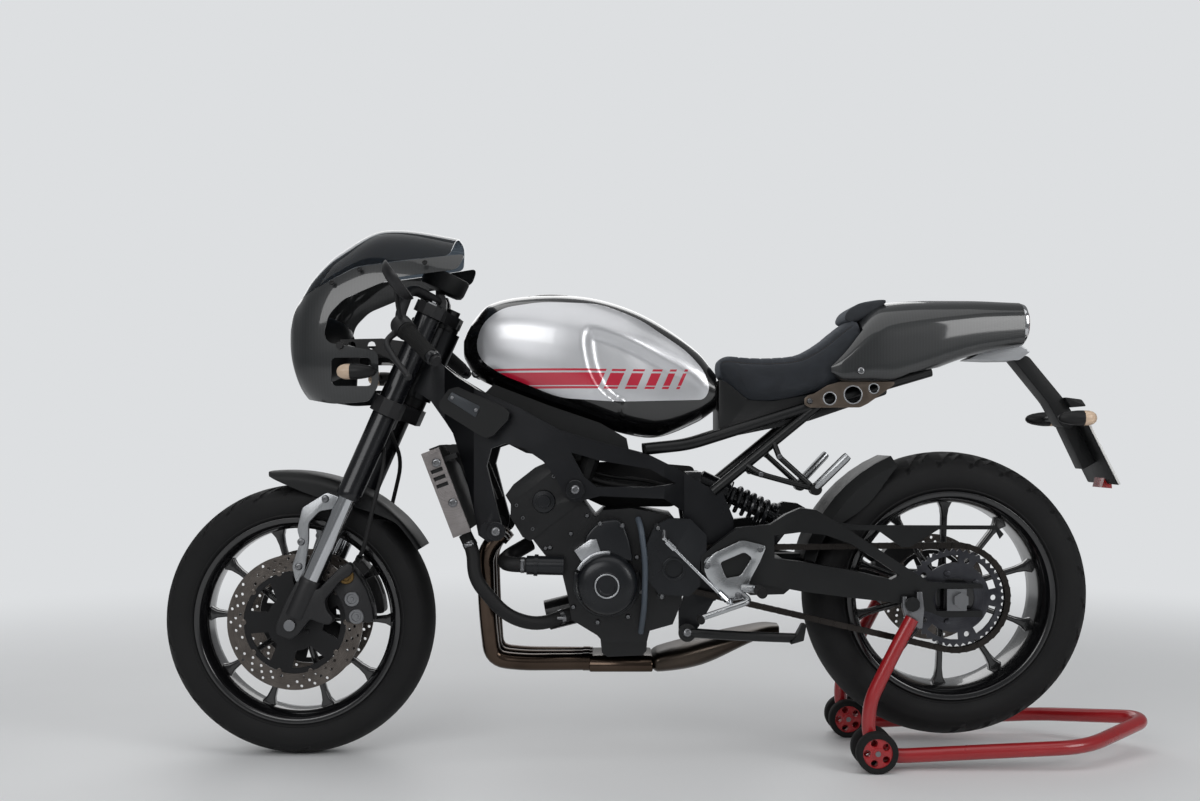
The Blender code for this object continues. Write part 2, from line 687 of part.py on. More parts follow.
HEAD_TUBE_R = 0.033
HEAD_LOW = -0.188  # ends of the head tube below the upper yoke, along the steering axis
HEAD_HIGH = -0.024
HEAD_WEB = [(0.505, 0.882), (0.440, 0.838), (0.400, 0.811), (0.420, 0.720), (0.452, 0.720),
            (0.500, 0.785), (0.540, 0.812)]
MOUNTS = ((0.366, 0.507, 0.019), (0.181, 0.589, 0.020))
bosses = []
for x, z, radius in MOUNTS:
    for word, side in SIDES:
        low, high = sorted((side * 0.108, side * 0.149))
        bosses.append(disc(radius, (x, 0, z + LIFT), low, high, sides=12))
STAND_LUG = [(-0.124, 0.356), (-0.088, 0.352), (-0.066, 0.388), (-0.044, 0.330), (-0.044, 0.276),
             (-0.066, 0.268), (-0.080, 0.280)]
LUG_Y = spar_inner(-0.09) + 0.004
part("frame", "grey_cast",
     [frame_side(1), prism(lifted(STAND_LUG), LUG_Y, LUG_Y + 0.018),
      disc(0.015, (-0.060, 0, 0.285 + LIFT), LUG_Y + 0.006, 0.1165, sides=12),
      disc(HEAD_TUBE_R, HEAD, HEAD_LOW, HEAD_HIGH, axis=UP, sides=16),
      prism(lifted(HEAD_WEB), -0.060, 0.060), frame_side(-1)] + bosses,
     cuts=[disc(HEAD_BORE_R, HEAD, HEAD_LOW - 0.02, HEAD_HIGH + 0.02, axis=UP, sides=16),
           disc(PIVOT_SHAFT_R + FIT, PIVOT, -0.12, 0.12, sides=12)])

# ---------------------------------------------------------------- engine
CRANK = (0.113, 0.392)
CASE_HALF = 0.105
HEAD_HALF = 0.104
CASE_OUTLINE = [
    (0.196, 0.352), (0.215, 0.430), (0.170, 0.505), (0.120, 0.548), (0.060, 0.552), (-0.030, 0.535),
    (-0.048, 0.510), (-0.050, 0.350), (-0.030, 0.300), (0.020, 0.286), (0.026, 0.262),
    (0.122, 0.262), (0.134, 0.276), (0.190, 0.310),
]
SUMP_OUTLINE = [(0.128, 0.272), (0.124, 0.234), (0.112, 0.2245), (0.036, 0.2275), (0.026, 0.238),
                (0.024, 0.272)]
CYLINDER_LEAN = radians(38)
CHAIN_POCKET_R = pitch_radius(FRONT_TEETH) + CHAIN_PLATE + 0.006
POCKET_FACE = CHAIN_Y - CHAIN_HALF_WIDTH - 0.006
SHAFT_R = 0.012
FILTER_R = 0.034
BARREL = [(-0.066, 0.080), (0.070, 0.080), (0.070, 0.180), (-0.066, 0.180)]
CYL_HEAD = [(-0.074, 0.172), (0.076, 0.172), (0.084, 0.190), (0.078, 0.240), (0.060, 0.262),
            (-0.060, 0.262), (-0.078, 0.240)]
CAM_COVER = [(-0.062, 0.255), (0.062, 0.255), (0.058, 0.284), (0.030, 0.292), (-0.030, 0.292),
             (-0.058, 0.284)]
SPROCKET_COVER = [(0.040, 0.447), (0.012, 0.515), (-0.020, 0.533), (-0.066, 0.531), (-0.100, 0.497),
                  (-0.100, 0.452), (-0.086, 0.440), (-0.086, 0.388), (-0.062, 0.366), (0.002, 0.371),
                  (0.032, 0.410)]
COVER_PILLARS = ((0.030, 0.448), (0.004, 0.512), (-0.004, 0.366))
crank_centre = Vector((CRANK[0], 0, CRANK[1] + LIFT))


def tilted(outline, half):
    """Slab drawn along the cylinder axis from the crank, then leaned forward."""
    bm = prism(outline, -half, half)
    return swung(moved(bm, Matrix.Translation(crank_centre)), CYLINDER_LEAN, crank_centre)


pocket = [disc(CHAIN_POCKET_R, FRONT_SPROCKET, POCKET_FACE, 0.2, sides=16),
          block((-0.2, FRONT_SPROCKET.x), (POCKET_FACE, 0.2),
                (FRONT_SPROCKET.z - CHAIN_POCKET_R, FRONT_SPROCKET.z + CHAIN_POCKET_R))]
engine = [
    carved(prism(lifted(CASE_OUTLINE), -CASE_HALF, CASE_HALF), pocket),
    tilted(BARREL, HEAD_HALF), tilted(CYL_HEAD, HEAD_HALF + 0.004), tilted(CAM_COVER, HEAD_HALF - 0.004),
    prism(lifted(SUMP_OUTLINE), -0.060, 0.075),
    disc(FILTER_R, (0.150, 0, 0.330 + LIFT), 0, 0.100, axis=(1, 0, -0.25), sides=12),
    disc(SHAFT_R, FRONT_SPROCKET, POCKET_FACE - 0.01, CHAIN_Y + 0.008, sides=12),
    prism(sprocket_outline(FRONT_TEETH, FRONT_SPROCKET, FRONT_TIP, 0.004), CHAIN_Y - SPROCKET_HALF,
          CHAIN_Y + SPROCKET_HALF),
]
cover = carved(prism(lifted(SPROCKET_COVER), 0.1265, 0.150),
               [disc(0.020, FRONT_SPROCKET, 0.144, 0.17, sides=12)])
engine += [disc(0.009, (x, 0, z + LIFT), CASE_HALF - 0.01, 0.130, sides=8) for x, z in COVER_PILLARS]
engine.append(cover)
part("engine_block", "dark_steel", engine, seats=("frame", "swingarm", "chain"))

GENERATOR_R = 0.066
COVER_FACE = CASE_HALF + FIT
generator = [
    turned([(0, 0.190), (0.022, 0.190), (0.024, 0.186), (0.052, 0.182), (0.062, 0.172),
            (GENERATOR_R, 0.150), (GENERATOR_R, COVER_FACE), (0, COVER_FACE)], crank_centre, sides=20),
    prism(rounded(lifted([(0.058, 0.43), (0.078, 0.505), (0.094, 0.525), (0.118, 0.527),
                          (0.140, 0.500), (0.176, 0.43)]), 0.008, 1, True), COVER_FACE, 0.150),
]
part("generator_cover", "grey_cast", generator, seats=("engine_block",))
CLUTCH = (0.018, 0.405)
clutch_centre = Vector((CLUTCH[0], 0, CLUTCH[1] + LIFT))
clutch = [
    turned([(0, 0.178), (0.040, 0.178), (0.066, 0.170), (0.078, 0.155), (0.080, COVER_FACE),
            (0, COVER_FACE)], clutch_centre, sides=20),
    turned([(0, 0.150), (0.046, 0.146), (0.054, COVER_FACE), (0, COVER_FACE)], crank_centre, sides=14),
]
part("clutch_cover", "grey_cast", clutch, side=-1, seats=("engine_block", "frame"))

AIRBOX = [(0.360, 0.822), (0.240, 0.776), (0.128, 0.738), (0.070, 0.704), (0.060, 0.655), (0.180, 0.655),
          (0.290, 0.672), (0.385, 0.720), (0.392, 0.790)]
THROTTLE_R = 0.024
base_point = Matrix.Translation(Vector((0.150, 0, 0.664 + LIFT)))
intake = [prism(lifted(AIRBOX), -0.088, 0.088)]
for y in (-0.072, 0, 0.072):
    intake.append(moved(disc(THROTTLE_R, (0, y, 0), 0, 0.090, axis=(0.34, 0, -0.94), sides=10), base_point))
part("intake", "black_plastic", intake, seats=("frame", "engine_block"))

# ---------------------------------------------------------------- exhaust
HEADER_R = 0.019
headers = []
for y, top_y in ((0.052, 0.078), (0.0, 0.0), (-0.052, -0.078)):
    path = [(0.345, top_y, 0.497), (0.380, top_y, 0.455), (0.376, top_y, 0.33), (0.366, y, 0.217),
            (0.300, y, 0.209), (0.145, y * 0.85, 0.209)]
    headers.append(tube(rounded(raised(path), 0.055, 1), HEADER_R, 7))
collector = prism([(-0.075, 0.189), (0.068, 0.189), (0.072, 0.206), (0.060, 0.224), (-0.066, 0.224),
                   (-0.080, 0.206)], 0.012, 0.152, axis="X")
SILENCER = [(0.016, 0.055, 0.193, 0.221, 0.00), (0.000, 0.075, 0.184, 0.231, -0.005),
            (-0.100, 0.080, 0.194, 0.252, -0.040), (-0.210, 0.066, 0.234, 0.268, -0.085),
            (-0.255, 0.050, 0.247, 0.273, -0.105), (-0.285, 0.034, 0.249, 0.271, -0.112)]
silencer = loft([oval(x, w, low + LIFT, high + LIFT, 3, 12, y) for x, w, low, high, y in SILENCER])
outlet = loft([oval(x, 0.028, 0.252 + LIFT, 0.268 + LIFT, 3, 12, -0.112) for x in (-0.262, -0.300)])
part("exhaust", "header", headers + [moved(collector, Matrix.Translation((0, 0, LIFT))), silencer],
     cuts=[outlet], seats=("engine_block",))

# ---------------------------------------------------------------- tank
TANK_STATIONS = [
    # x, top, bottom, half width
    (0.430, 0.930, 0.880, 0.045), (0.410, 0.966, 0.846, 0.076), (0.372, 1.002, 0.822, 0.116),
    (0.282, 1.020, 0.786, 0.144), (0.170, 1.019, 0.748, 0.149), (0.080, 0.998, 0.715, 0.135),
    (0.000, 0.961, 0.706, 0.111), (-0.090, 0.896, 0.740, 0.090), (-0.128, 0.848, 0.766, 0.074),
]
KNEE_X = (0.150, -0.060)
KNEE_DEPTH = 0.022


def knee_hollow(x, z, low, high):
    """How far the tank's side is pressed in for the rider's knee."""
    run = min(max((KNEE_X[0] - x) / 0.06, 0), 1) * min(max((x - KNEE_X[1] + 0.08) / 0.10, 0), 1)
    height = (z - low) / (high - low)
    return KNEE_DEPTH * run * max(0, 1 - abs(height - 0.42) / 0.42)


def tank_body(grow):
    """Tank skin, thicker all over by a distance."""
    rows = []
    for x, high, low, half in TANK_STATIONS:
        low = low + LIFT - grow
        high = high + LIFT + grow * 0.2
        row = oval(x, half + grow, low, high, 2.7, 16)
        for p in row:
            dent = knee_hollow(x, p.z, low, high) * min(abs(p.y) / half, 1)
            p.y -= dent if p.y > 0 else -dent
        rows.append(row)
    body = loft(rows)
    bmesh.ops.triangulate(body, faces=body.faces, quad_method="FIXED")
    return body


CAP_X = 0.236
CAP_R = 0.044
CAP_TOP = 1.023
CAP_HINGE = Vector((CAP_X + CAP_R + 0.006, 0, CAP_TOP - 0.002 + LIFT))
cap_centre = Vector((CAP_X, 0, LIFT))
part("fuel_tank", "black_gloss",
     [tank_body(0), disc(CAP_R + 0.012, cap_centre, 0.98, CAP_TOP - 0.010, axis=(0, 0, 1), sides=20)],
     cuts=[disc(0.029, cap_centre, 0.960, 1.06, axis=(0, 0, 1), sides=16),
           disc(CAP_R + 0.0115, cap_centre, CAP_TOP - 0.010, 1.06, axis=(0, 0, 1), sides=24)],
     seats=("intake", "frame"))
part("fuel_cap", "black_gloss",
     [turned([(0, 0.0), (CAP_R, 0.0), (CAP_R, 0.007), (CAP_R - 0.006, 0.010), (0, 0.010)],
             cap_centre + Vector((0, 0, CAP_TOP - 0.010 + FIT)), (0, 0, 1), 20),
      block((CAP_X + CAP_R - 0.004, CAP_X + CAP_R + 0.010), (-0.010, 0.010),
            (CAP_TOP - 0.008 + LIFT, CAP_TOP + LIFT))],
     pivot=CAP_HINGE)

PANEL_OUTLINE = [(0.398, 0.905), (0.385, 0.950), (0.342, 0.986), (0.256, 0.999), (0.128, 0.996),
                 (0.042, 0.964), (-0.062, 0.894), (-0.100, 0.850), (-0.112, 0.812), (-0.100, 0.788),
                 (0.096, 0.783), (0.214, 0.791), (0.342, 0.842), (0.385, 0.872)]
PANEL_THICKNESS = 0.009
for word, side in SIDES:
    reach = sorted((side * 0.04, side * 0.20))
    outline = rounded(lifted(PANEL_OUTLINE), 0.020, 2, True)
    panel = carved(tank_body(PANEL_THICKNESS), keep=prism(outline, *reach))
    part("tank_panel_" + word, "silver_paint", [panel], cuts=[tank_body(FIT)], seats=("frame", "intake"))

# ---------------------------------------------------------------- subframe, seat and tail
RAIL_R = 0.0125
RAIL_Y = 0.092


def rails(side):
    """Upper rail and strut of the bolted rear frame on one side."""
    upper = [(0.030, side * 0.106, 0.680), (-0.067, side * RAIL_Y, 0.690), (-0.326, side * RAIL_Y, 0.772),
             (-0.600, side * 0.060, 0.852)]
    strut = [(-0.118, side * RAIL_Y, 0.588), (-0.350, side * RAIL_Y, 0.778)]
    return [tube(raised(upper), RAIL_R, 8), tube(raised(strut), RAIL_R * 0.9, 6)]


cross = [tube(raised([(-0.590, -0.062, 0.849), (-0.590, 0.062, 0.849)]), RAIL_R * 0.9, 6)]
TRAY = [(-0.132, 0.702), (-0.330, 0.742), (-0.500, 0.800), (-0.500, 0.816), (-0.330, 0.800), (-0.250, 0.786),
        (-0.196, 0.788), (-0.150, 0.826), (-0.132, 0.834)]
TRAY_HALF = RAIL_Y - 0.010
HOLE_PLATE = [(-0.324, 0.798), (-0.3145, 0.790), (-0.3155, 0.777), (-0.326, 0.7705), (-0.4358, 0.7708),
              (-0.4525, 0.779), (-0.510, 0.820), (-0.510, 0.8265), (-0.392, 0.8265), (-0.366, 0.8195),
              (-0.336, 0.8005)]
PLATE_HOLES = [(-0.370, 0.7905, 0.0125), (-0.4205, 0.7985, 0.0180), (-0.4655, 0.8120, 0.0095)]
PLATE_Y = 0.106
PEG_TUBE_R = 0.0065
PEG_FRAME = [(-0.190, 0.096, 0.647), (-0.220, 0.112, 0.626), (-0.337, 0.112, 0.594), (-0.260, 0.112, 0.664),
             (-0.250, 0.096, 0.696)]


def side_pieces(side):
    """Seat plate with three holes, and the passenger's folded footrest, on one side."""
    flip = Matrix.Scale(-1, 4, (0, 1, 0)) if side < 0 else Matrix.Identity(4)
    holes = [disc(r, (x, 0, z + LIFT), 0.08, 0.14, sides=10) for x, z, r in PLATE_HOLES]
    plate = carved(prism(lifted(HOLE_PLATE), PLATE_Y, PLATE_Y + 0.004), holes)
    stud = disc(0.007, (-0.3266, 0, 0.7847 + LIFT), 0.09, PLATE_Y + 0.008, sides=8)
    y = PEG_FRAME[1][1]
    bars = [tube([a, b], PEG_TUBE_R, 5) for a, b in zip(raised(PEG_FRAME), raised(PEG_FRAME[1:]))]
    peg = tube(raised([(-0.335, y + 0.012, 0.596), (-0.405, y + 0.030, 0.668)]), 0.010, 6)
    knuckle = disc(0.013, (-0.337, 0, 0.594 + LIFT), y - 0.01, y + 0.022, sides=8)
    return [moved(s, flip) for s in (plate, stud, *bars, knuckle, peg)]


part("subframe", "black_cast",
     rails(1) + cross + rails(-1) + [prism(lifted(TRAY), -TRAY_HALF, TRAY_HALF)]
     + side_pieces(1) + side_pieces(-1),
     seats=("frame",))

SEAT_STATIONS = [
    # x, top, bottom, half width
    (-0.132, 0.878, 0.842, 0.072), (-0.150, 0.886, 0.822, 0.085), (-0.196, 0.882, 0.780, 0.104),
    (-0.250, 0.881, 0.778, 0.112), (-0.310, 0.888, 0.790, 0.116), (-0.360, 0.914, 0.806, 0.118),
    (-0.405, 0.950, 0.830, 0.116), (-0.440, 0.974, 0.870, 0.108),
]
part("seat", "suede",
     [loft([oval(x, half, low + LIFT, high + LIFT, 3.0, 16) for x, high, low, half in SEAT_STATIONS])],
     seats=("subframe", "fuel_tank", "tank_panel_left", "tank_panel_right"))

TAIL_STATIONS = [
    (-0.372, 0.872, 0.842, 0.120), (-0.396, 0.904, 0.825, 0.127), (-0.462, 0.985, 0.821, 0.129),
    (-0.512, 1.006, 0.821, 0.124), (-0.680, 1.011, 0.882, 0.098), (-0.806, 1.007, 0.909, 0.072),
]
TAIL_UNDER = [(-0.34, 0.79), (-0.66, 0.79), (-0.66, 0.868), (-0.50, 0.838), (-0.34, 0.834)]
TAIL_UNDER_HALF = 0.112


def oval_loft(stations, grow=0.0, power=3.0, count=16):
    """Body through the given sections, shrunk or grown all over."""
    rows = []
    for x, high, low, half in stations:
        rows.append(oval(x, half + grow, low + LIFT - grow, high + LIFT + grow, power, count))
    return loft(rows)


def tail_shape(grow=0.0):
    """Body of the tail: a round back over upright sides."""
    rows = []
    for x, high, low, half in TAIL_STATIONS:
        ends = (low + LIFT - grow, high + LIFT + grow)
        back = oval(x, half + grow, *ends, 2.5, 16)
        sides = oval(x, half + grow, *ends, 6.0, 16)
        middle = (low + high) / 2 + LIFT
        rows.append([b if b.z > middle else s for b, s in zip(back, sides)])
    return loft(rows)


part("tail_cowl", "carbon",
     [tail_shape()],
     cuts=[oval_loft(SEAT_STATIONS, 0.0015),
           prism(lifted(TAIL_UNDER), -TAIL_UNDER_HALF, TAIL_UNDER_HALF)],
     seats=("subframe", "seat"))
PAD = [(-0.408, 0.962), (-0.414, 0.986), (-0.440, 1.003), (-0.500, 1.013), (-0.514, 1.008),
       (-0.470, 0.972), (-0.440, 0.957), (-0.420, 0.954)]
part("seat_pad", "suede", [prism(rounded(lifted(PAD), 0.012, 2, True), -0.070, 0.070)],
     cuts=[tail_shape(0.0012)], seats=("tail_cowl", "seat"))

LAMP_X = -0.806
lamp_ring = [oval(LAMP_X - FIT, 0.069, 0.913 + LIFT, 1.003 + LIFT, 2.6, 12),
             oval(LAMP_X - 0.018, 0.060, 0.922 + LIFT, 0.996 + LIFT, 2.6, 12)]
lamp_hollow = [oval(LAMP_X - 0.008, 0.046, 0.934 + LIFT, 0.984 + LIFT, 2.6, 12),
               oval(LAMP_X - 0.022, 0.048, 0.932 + LIFT, 0.986 + LIFT, 2.6, 12)]
part("tail_lamp", "red_lens", [loft(lamp_ring)], cuts=[loft(lamp_hollow)])

BRACKET = [(-0.689, 0.879), (-0.742, 0.905), (-0.795, 0.918), (-0.828, 0.8966), (-0.803, 0.8775),
           (-0.745, 0.8765)]
ARM = [(-0.785, 0.888), (-0.826, 0.888), (-0.905, 0.792), (-0.935, 0.745), (-0.925, 0.722),
       (-0.900, 0.730), (-0.870, 0.783)]


def indicator(place, nose, side_y):
    """Bullet indicator pointing along X."""
    shell = [(0.0, -0.5), (0.60, -0.40), (1.0, 0.0), (0.94, 0.30), (0.0, 0.52)]
    length = 0.080
    radius = 0.0155
    centre = Vector((place[0], side_y, place[1] + LIFT))
    return turned([(r * radius, a * length) for r, a in shell], centre, (nose, 0, 0.0), 8)


part("plate_holder", "black_plastic",
     [prism(lifted(BRACKET), -0.040, 0.040),
      prism(rounded(lifted(ARM), 0.006, 1, True), -0.030, 0.030),
      prism(lifted([(-0.902, 0.795), (-0.940, 0.790), (-0.950, 0.775), (-0.915, 0.772)]), -0.045, 0.045),
      prism(lifted([(-0.905, 0.728), (-0.950, 0.634), (-0.978, 0.650), (-0.932, 0.744)]), -0.026, 0.026),
      tube(raised([(-0.905, -0.105, 0.748), (-0.905, 0.105, 0.748)]), 0.006, 8),
      indicator((-0.905, 0.748), -1, 0.112), indicator((-0.905, 0.748), -1, -0.112)],
     seats=("tail_cowl",))
NUMBER_PLATE = [(-0.9355, 0.738), (-1.004, 0.602), (-1.008, 0.604), (-0.940, 0.740)]
REFLECTOR = [(-0.996, 0.618), (-1.011, 0.6105), (-1.013, 0.592), (-0.990, 0.594)]
part("number_plate", "white",
     [prism(lifted(NUMBER_PLATE), -0.092, 0.092), prism(lifted(REFLECTOR), -0.030, 0.030)],
     seats=("plate_holder",))

# ---------------------------------------------------------------- side covers and cooling
DUCT = [(0.473, 0.776), (0.442, 0.818), (0.324, 0.768), (0.317, 0.750), (0.360, 0.704), (0.376, 0.706),
        (0.466, 0.762)]
DUCT_PLATE = [(0.4525, 0.787), (0.443, 0.804), (0.381, 0.772), (0.392, 0.7475)]
for word, side in SIDES:
    part("side_duct_" + word, "black_plastic",
         [prism(rounded(lifted(DUCT), 0.012, 1, True), 0.1235, 0.168)],
         cuts=[prism(rounded(lifted(DUCT_PLATE), 0.008, 1, True), 0.165, 0.18)],
         side=side, seats=("frame", "fuel_tank", "tank_panel_" + word, "intake"))

RAD_TOP = (0.474, 0.680)
RAD_BOTTOM = (0.408, 0.508)
RAD_HALF = 0.150
RAD_THICK = 0.030


def radiator_slab(along0, along1, out0, out1, y0, y1):
    """Slab parallel to the radiator core: its place down the core and out of its rear face."""
    top = Vector(RAD_TOP)
    run = Vector(RAD_BOTTOM) - top
    square = Vector((-run.y, run.x)).normalized()
    corners = [top + run * a + square * o
               for a, o in ((along0, out0), (along0, out1), (along1, out1), (along1, out0))]
    return prism(lifted(corners), y0, y1)


COVER_SLOTS = (0.20, 0.29, 0.38)
radiator = [radiator_slab(0, 1, 0, RAD_THICK, -RAD_HALF, RAD_HALF),
            radiator_slab(-0.06, 0.04, 0.002, RAD_THICK - 0.002, -0.07, 0.07),
            radiator_slab(0.10, 0.16, -0.030, 0.003, -0.125, 0.125)]
slots = []
for word, side in SIDES:
    y0, y1 = sorted((side * (RAD_HALF - 0.002), side * (RAD_HALF + 0.012)))
    radiator.append(radiator_slab(-0.02, 1.02, -0.004, RAD_THICK + 0.006, y0, y1))
    y0, y1 = sorted((side * (RAD_HALF + 0.006), side * (RAD_HALF + 0.03)))
    slots += [radiator_slab(a, a + 0.045, 0.004, 0.030, y0, y1) for a in COVER_SLOTS]
for word, side in SIDES:
    y0, y1 = sorted((side * 0.060, side * 0.085))
    wing = [(0.430, 0.640), (0.400, 0.560), (0.352, 0.570), (0.400, 0.690), (0.470, 0.690)]
    radiator.append(prism(lifted(wing),
                          y0, y1))
part("radiator", "dark_steel", radiator, cuts=slots, seats=("frame", "engine_block"))

HOSE_R = 0.015
lower_hose = [(0.420, 0.112, 0.4965), (0.402, 0.118, 0.460), (0.398, 0.130, 0.400), (0.330, 0.132, 0.322),
              (0.262, 0.122, 0.300), (0.190, 0.085, 0.322)]
part("coolant_hose", "rubber", [tube(rounded(raised(lower_hose), 0.05, 1), HOSE_R, 8)],
     seats=("radiator", "engine_block", "frame", "generator_cover"))

# ---------------------------------------------------------------- rear suspension and guards
shock_low = Vector((-0.292, 0, 0.512 + LIFT))
shock_high = Vector((-0.075, 0, 0.618 + LIFT))
shock_axis = (shock_high - shock_low).normalized()
shock_length = (shock_high - shock_low).length
shock = [(0.0, 0.0), (0.012, 0.0), (0.012, 0.030), (0.033, 0.032), (0.033, 0.150), (0.026, 0.152),
         (0.026, shock_length - 0.02), (0.012, shock_length - 0.018), (0.012, shock_length),
         (0.0, shock_length)]
part("shock_absorber", "dark_steel",
     [turned(shock, shock_low, shock_axis, 12),
      prism(lifted([(-0.296, 0.505), (-0.250, 0.4445), (-0.215, 0.4465), (-0.272, 0.522)]), -0.022, 0.022),
      block((-0.095, -0.060), (-0.070, 0.070), (0.606 + LIFT, 0.630 + LIFT))],
     seats=("swingarm", "frame", "engine_block"))

HUGGER_R = REAR_TYRE_R + 0.018
HUGGER_HALF = REAR_TYRE_WIDTH / 2 + 0.006
HUGGER_ANGLES = (radians(67), radians(14))
HUGGER_STEPS = 8


def guard_ring(centre, angle, radius, half, drop, thickness, corner):
    """Section of a mudguard: a channel over the tyre, drawn in the plane of one angle."""
    out = Vector((cos(angle), 0, sin(angle)))
    across = Vector((0, 1, 0))
    shell = [(-half, radius - drop), (-half, radius - corner), (-half + corner, radius),
             (half - corner, radius), (half, radius - corner), (half, radius - drop)]
    lining = [(half - thickness, radius - drop), (half - thickness, radius - corner),
              (half - corner, radius - thickness), (-half + corner, radius - thickness),
              (-half + thickness, radius - corner), (-half + thickness, radius - drop)]
    return [centre + across * y + out * r for y, r in shell + lining]


hugger_rings = []
for k in range(HUGGER_STEPS + 1):
    share = k / HUGGER_STEPS
    angle = HUGGER_ANGLES[0] + (HUGGER_ANGLES[1] - HUGGER_ANGLES[0]) * share
    drop = 0.024 + 0.036 * sin(pi * min(share * 1.3, 1))
    hugger_rings.append(guard_ring(REAR_AXLE, angle, HUGGER_R, HUGGER_HALF, drop, 0.003, 0.022))
hugger_end = REAR_AXLE + HUGGER_R * Vector((cos(HUGGER_ANGLES[1]), 0, sin(HUGGER_ANGLES[1])))
lug_end = hugger_end.x - 0.004
hugger_lug = prism([(-0.262, 0.438 + LIFT), (-0.262, 0.446 + LIFT), (lug_end, hugger_end.z + 0.0065),
                    (lug_end, hugger_end.z - 0.0015)], -0.020, 0.020)
part("rear_hugger", "black_plastic", [loft(hugger_rings), hugger_lug], seats=("swingarm", "shock_absorber"))

CALIPER = [(-0.535, 0.385), (-0.575, 0.425), (-0.620, 0.452), (-0.602, 0.470), (-0.545, 0.458),
           (-0.505, 0.412)]
CALIPER_HANGER = [(-0.560, 0.410), (-0.580, 0.385), (-0.560, 0.365), (-0.530, 0.385)]
part("rear_caliper", "black_cast",
     [prism(rounded(on_arm(CALIPER), 0.006, 1, True), REAR_DISC_Y - 0.0235, REAR_DISC_Y + 0.012),
      prism(on_arm(CALIPER_HANGER), -ARM_INNER + FIT, REAR_DISC_Y - 0.010)],
     cuts=[disc(REAR_DISC_R + 0.002, REAR_AXLE, REAR_DISC_Y - 0.005, REAR_DISC_Y + 0.005, sides=48)],
     seats=("swingarm",))

# ---------------------------------------------------------------- fork and yokes
YOKE_LOW = FORK_LENGTH - 0.2285  # middle of the lower yoke, up the leg from the axle
YOKE_LOW_HALF = 0.0175
YOKE_HIGH_HALF = 0.0125
LEG_BOTTOM = 0.300  # lower end of the outer tube
LEG_TOP = FORK_LENGTH + 0.012
CLAMP_R = FORK_OUTER_R + 0.009
BEARING_R = 0.026


def leg_space(along=0.0, y=0.0):
    """Axes of the fork: ahead, left and up the leg, from a point on the axle's line."""
    turn = Matrix((AHEAD, Vector((0, 1, 0)), UP)).transposed().to_4x4()
    return Matrix.Translation(FRONT_AXLE + UP * along + Vector((0, y, 0))) @ turn


def on_leg(shape, along=0.0, y=0.0):
    """Shape drawn in the fork's own axes, put in place."""
    return moved(shape, leg_space(along, y))


def leg_point(ahead, y, along):
    """Point given in the fork's own axes."""
    return FRONT_AXLE + AHEAD * ahead + UP * along + Vector((0, y, 0))


FOOT = [(0.020, -0.030), (0.029, -0.012), (0.030, 0.050), (0.027, 0.088), (-0.026, 0.088), (-0.044, 0.150),
        (-0.060, 0.176), (-0.074, 0.170), (-0.076, 0.152), (-0.060, 0.130), (-0.046, 0.080),
        (-0.060, 0.060), (-0.080, 0.052), (-0.080, 0.036), (-0.064, 0.030), (-0.034, 0.030),
        (-0.024, -0.014), (-0.014, -0.030)]
FOOT_INNER = 0.090
FOOT_OUTER = 0.120

part("front_axle", "steel",
     [disc(AXLE_R, FRONT_AXLE, -FOOT_OUTER - 0.010, FOOT_OUTER + 0.006, sides=16),
      disc(0.018, FRONT_AXLE, FRONT_FLANGE + 0.001, FOOT_INNER + 0.001, sides=16),
      disc(0.018, FRONT_AXLE, -FOOT_INNER - 0.001, -FRONT_FLANGE - 0.001, sides=16),
      disc(0.016, FRONT_AXLE, -FOOT_OUTER - 0.012, -FOOT_OUTER - 0.001, sides=6)],
     pivot=FRONT_AXLE, parent="steering_axis")
for word, side in SIDES:
    foot = prism(FOOT, FOOT_INNER, FOOT_OUTER)
    part("fork_slider_" + word, "steel",
         [on_leg(foot), on_leg(turned([(FORK_INNER_R, 0.050), (FORK_INNER_R, LEG_BOTTOM - FIT)],
                                      (0, FORK_HALF_PITCH, 0), (0, 0, 1), 16))],
         side=side, seats=("front_axle",), pivot=FRONT_AXLE, parent="steering_axis")
    part("fork_tube_" + word, "black_gloss",
         [on_leg(turned([(FORK_INNER_R + 0.002, LEG_BOTTOM), (FORK_OUTER_R, LEG_BOTTOM + 0.006),
                         (FORK_OUTER_R, LEG_TOP), (FORK_OUTER_R - 0.006, LEG_TOP + 0.006)],
                        (0, FORK_HALF_PITCH, 0), (0, 0, 1), 16))],
         side=side, pivot=HEAD, parent="steering_axis")

LEGS = ("fork_tube_left", "fork_tube_right")


def yoke(half, clamp_r, front, rear, rear_half):
    """Plate with a round clamp for each fork leg, straight between them in front and behind."""
    clamp = []
    for k in range(8):
        angle = radians(-35 + 255 * k / 7)
        clamp.append((clamp_r * cos(angle), FORK_HALF_PITCH + clamp_r * sin(angle)))
    left = [(front, 0.040)] + clamp + [(rear, rear_half)]
    return prism(left + [(x, -y) for x, y in reversed(left)], -half, half, axis="Z")


STEM_TOP = FORK_LENGTH + YOKE_HIGH_HALF + 0.012
stem = turned([(STEM_R, YOKE_LOW), (STEM_R, STEM_TOP)], (-FORK_OFFSET, 0, 0), (0, 0, 1), 12)
bearing = turned([(BEARING_R, YOKE_LOW), (BEARING_R, FORK_LENGTH + HEAD_LOW - 2 * FIT)],
                 (-FORK_OFFSET, 0, 0), (0, 0, 1), 16)
part("lower_yoke", "black_cast",
     [on_leg(yoke(YOKE_LOW_HALF, CLAMP_R, 0.018, -0.062, 0.036), YOKE_LOW), on_leg(bearing), on_leg(stem)],
     seats=LEGS, pivot=HEAD, parent="steering_axis")

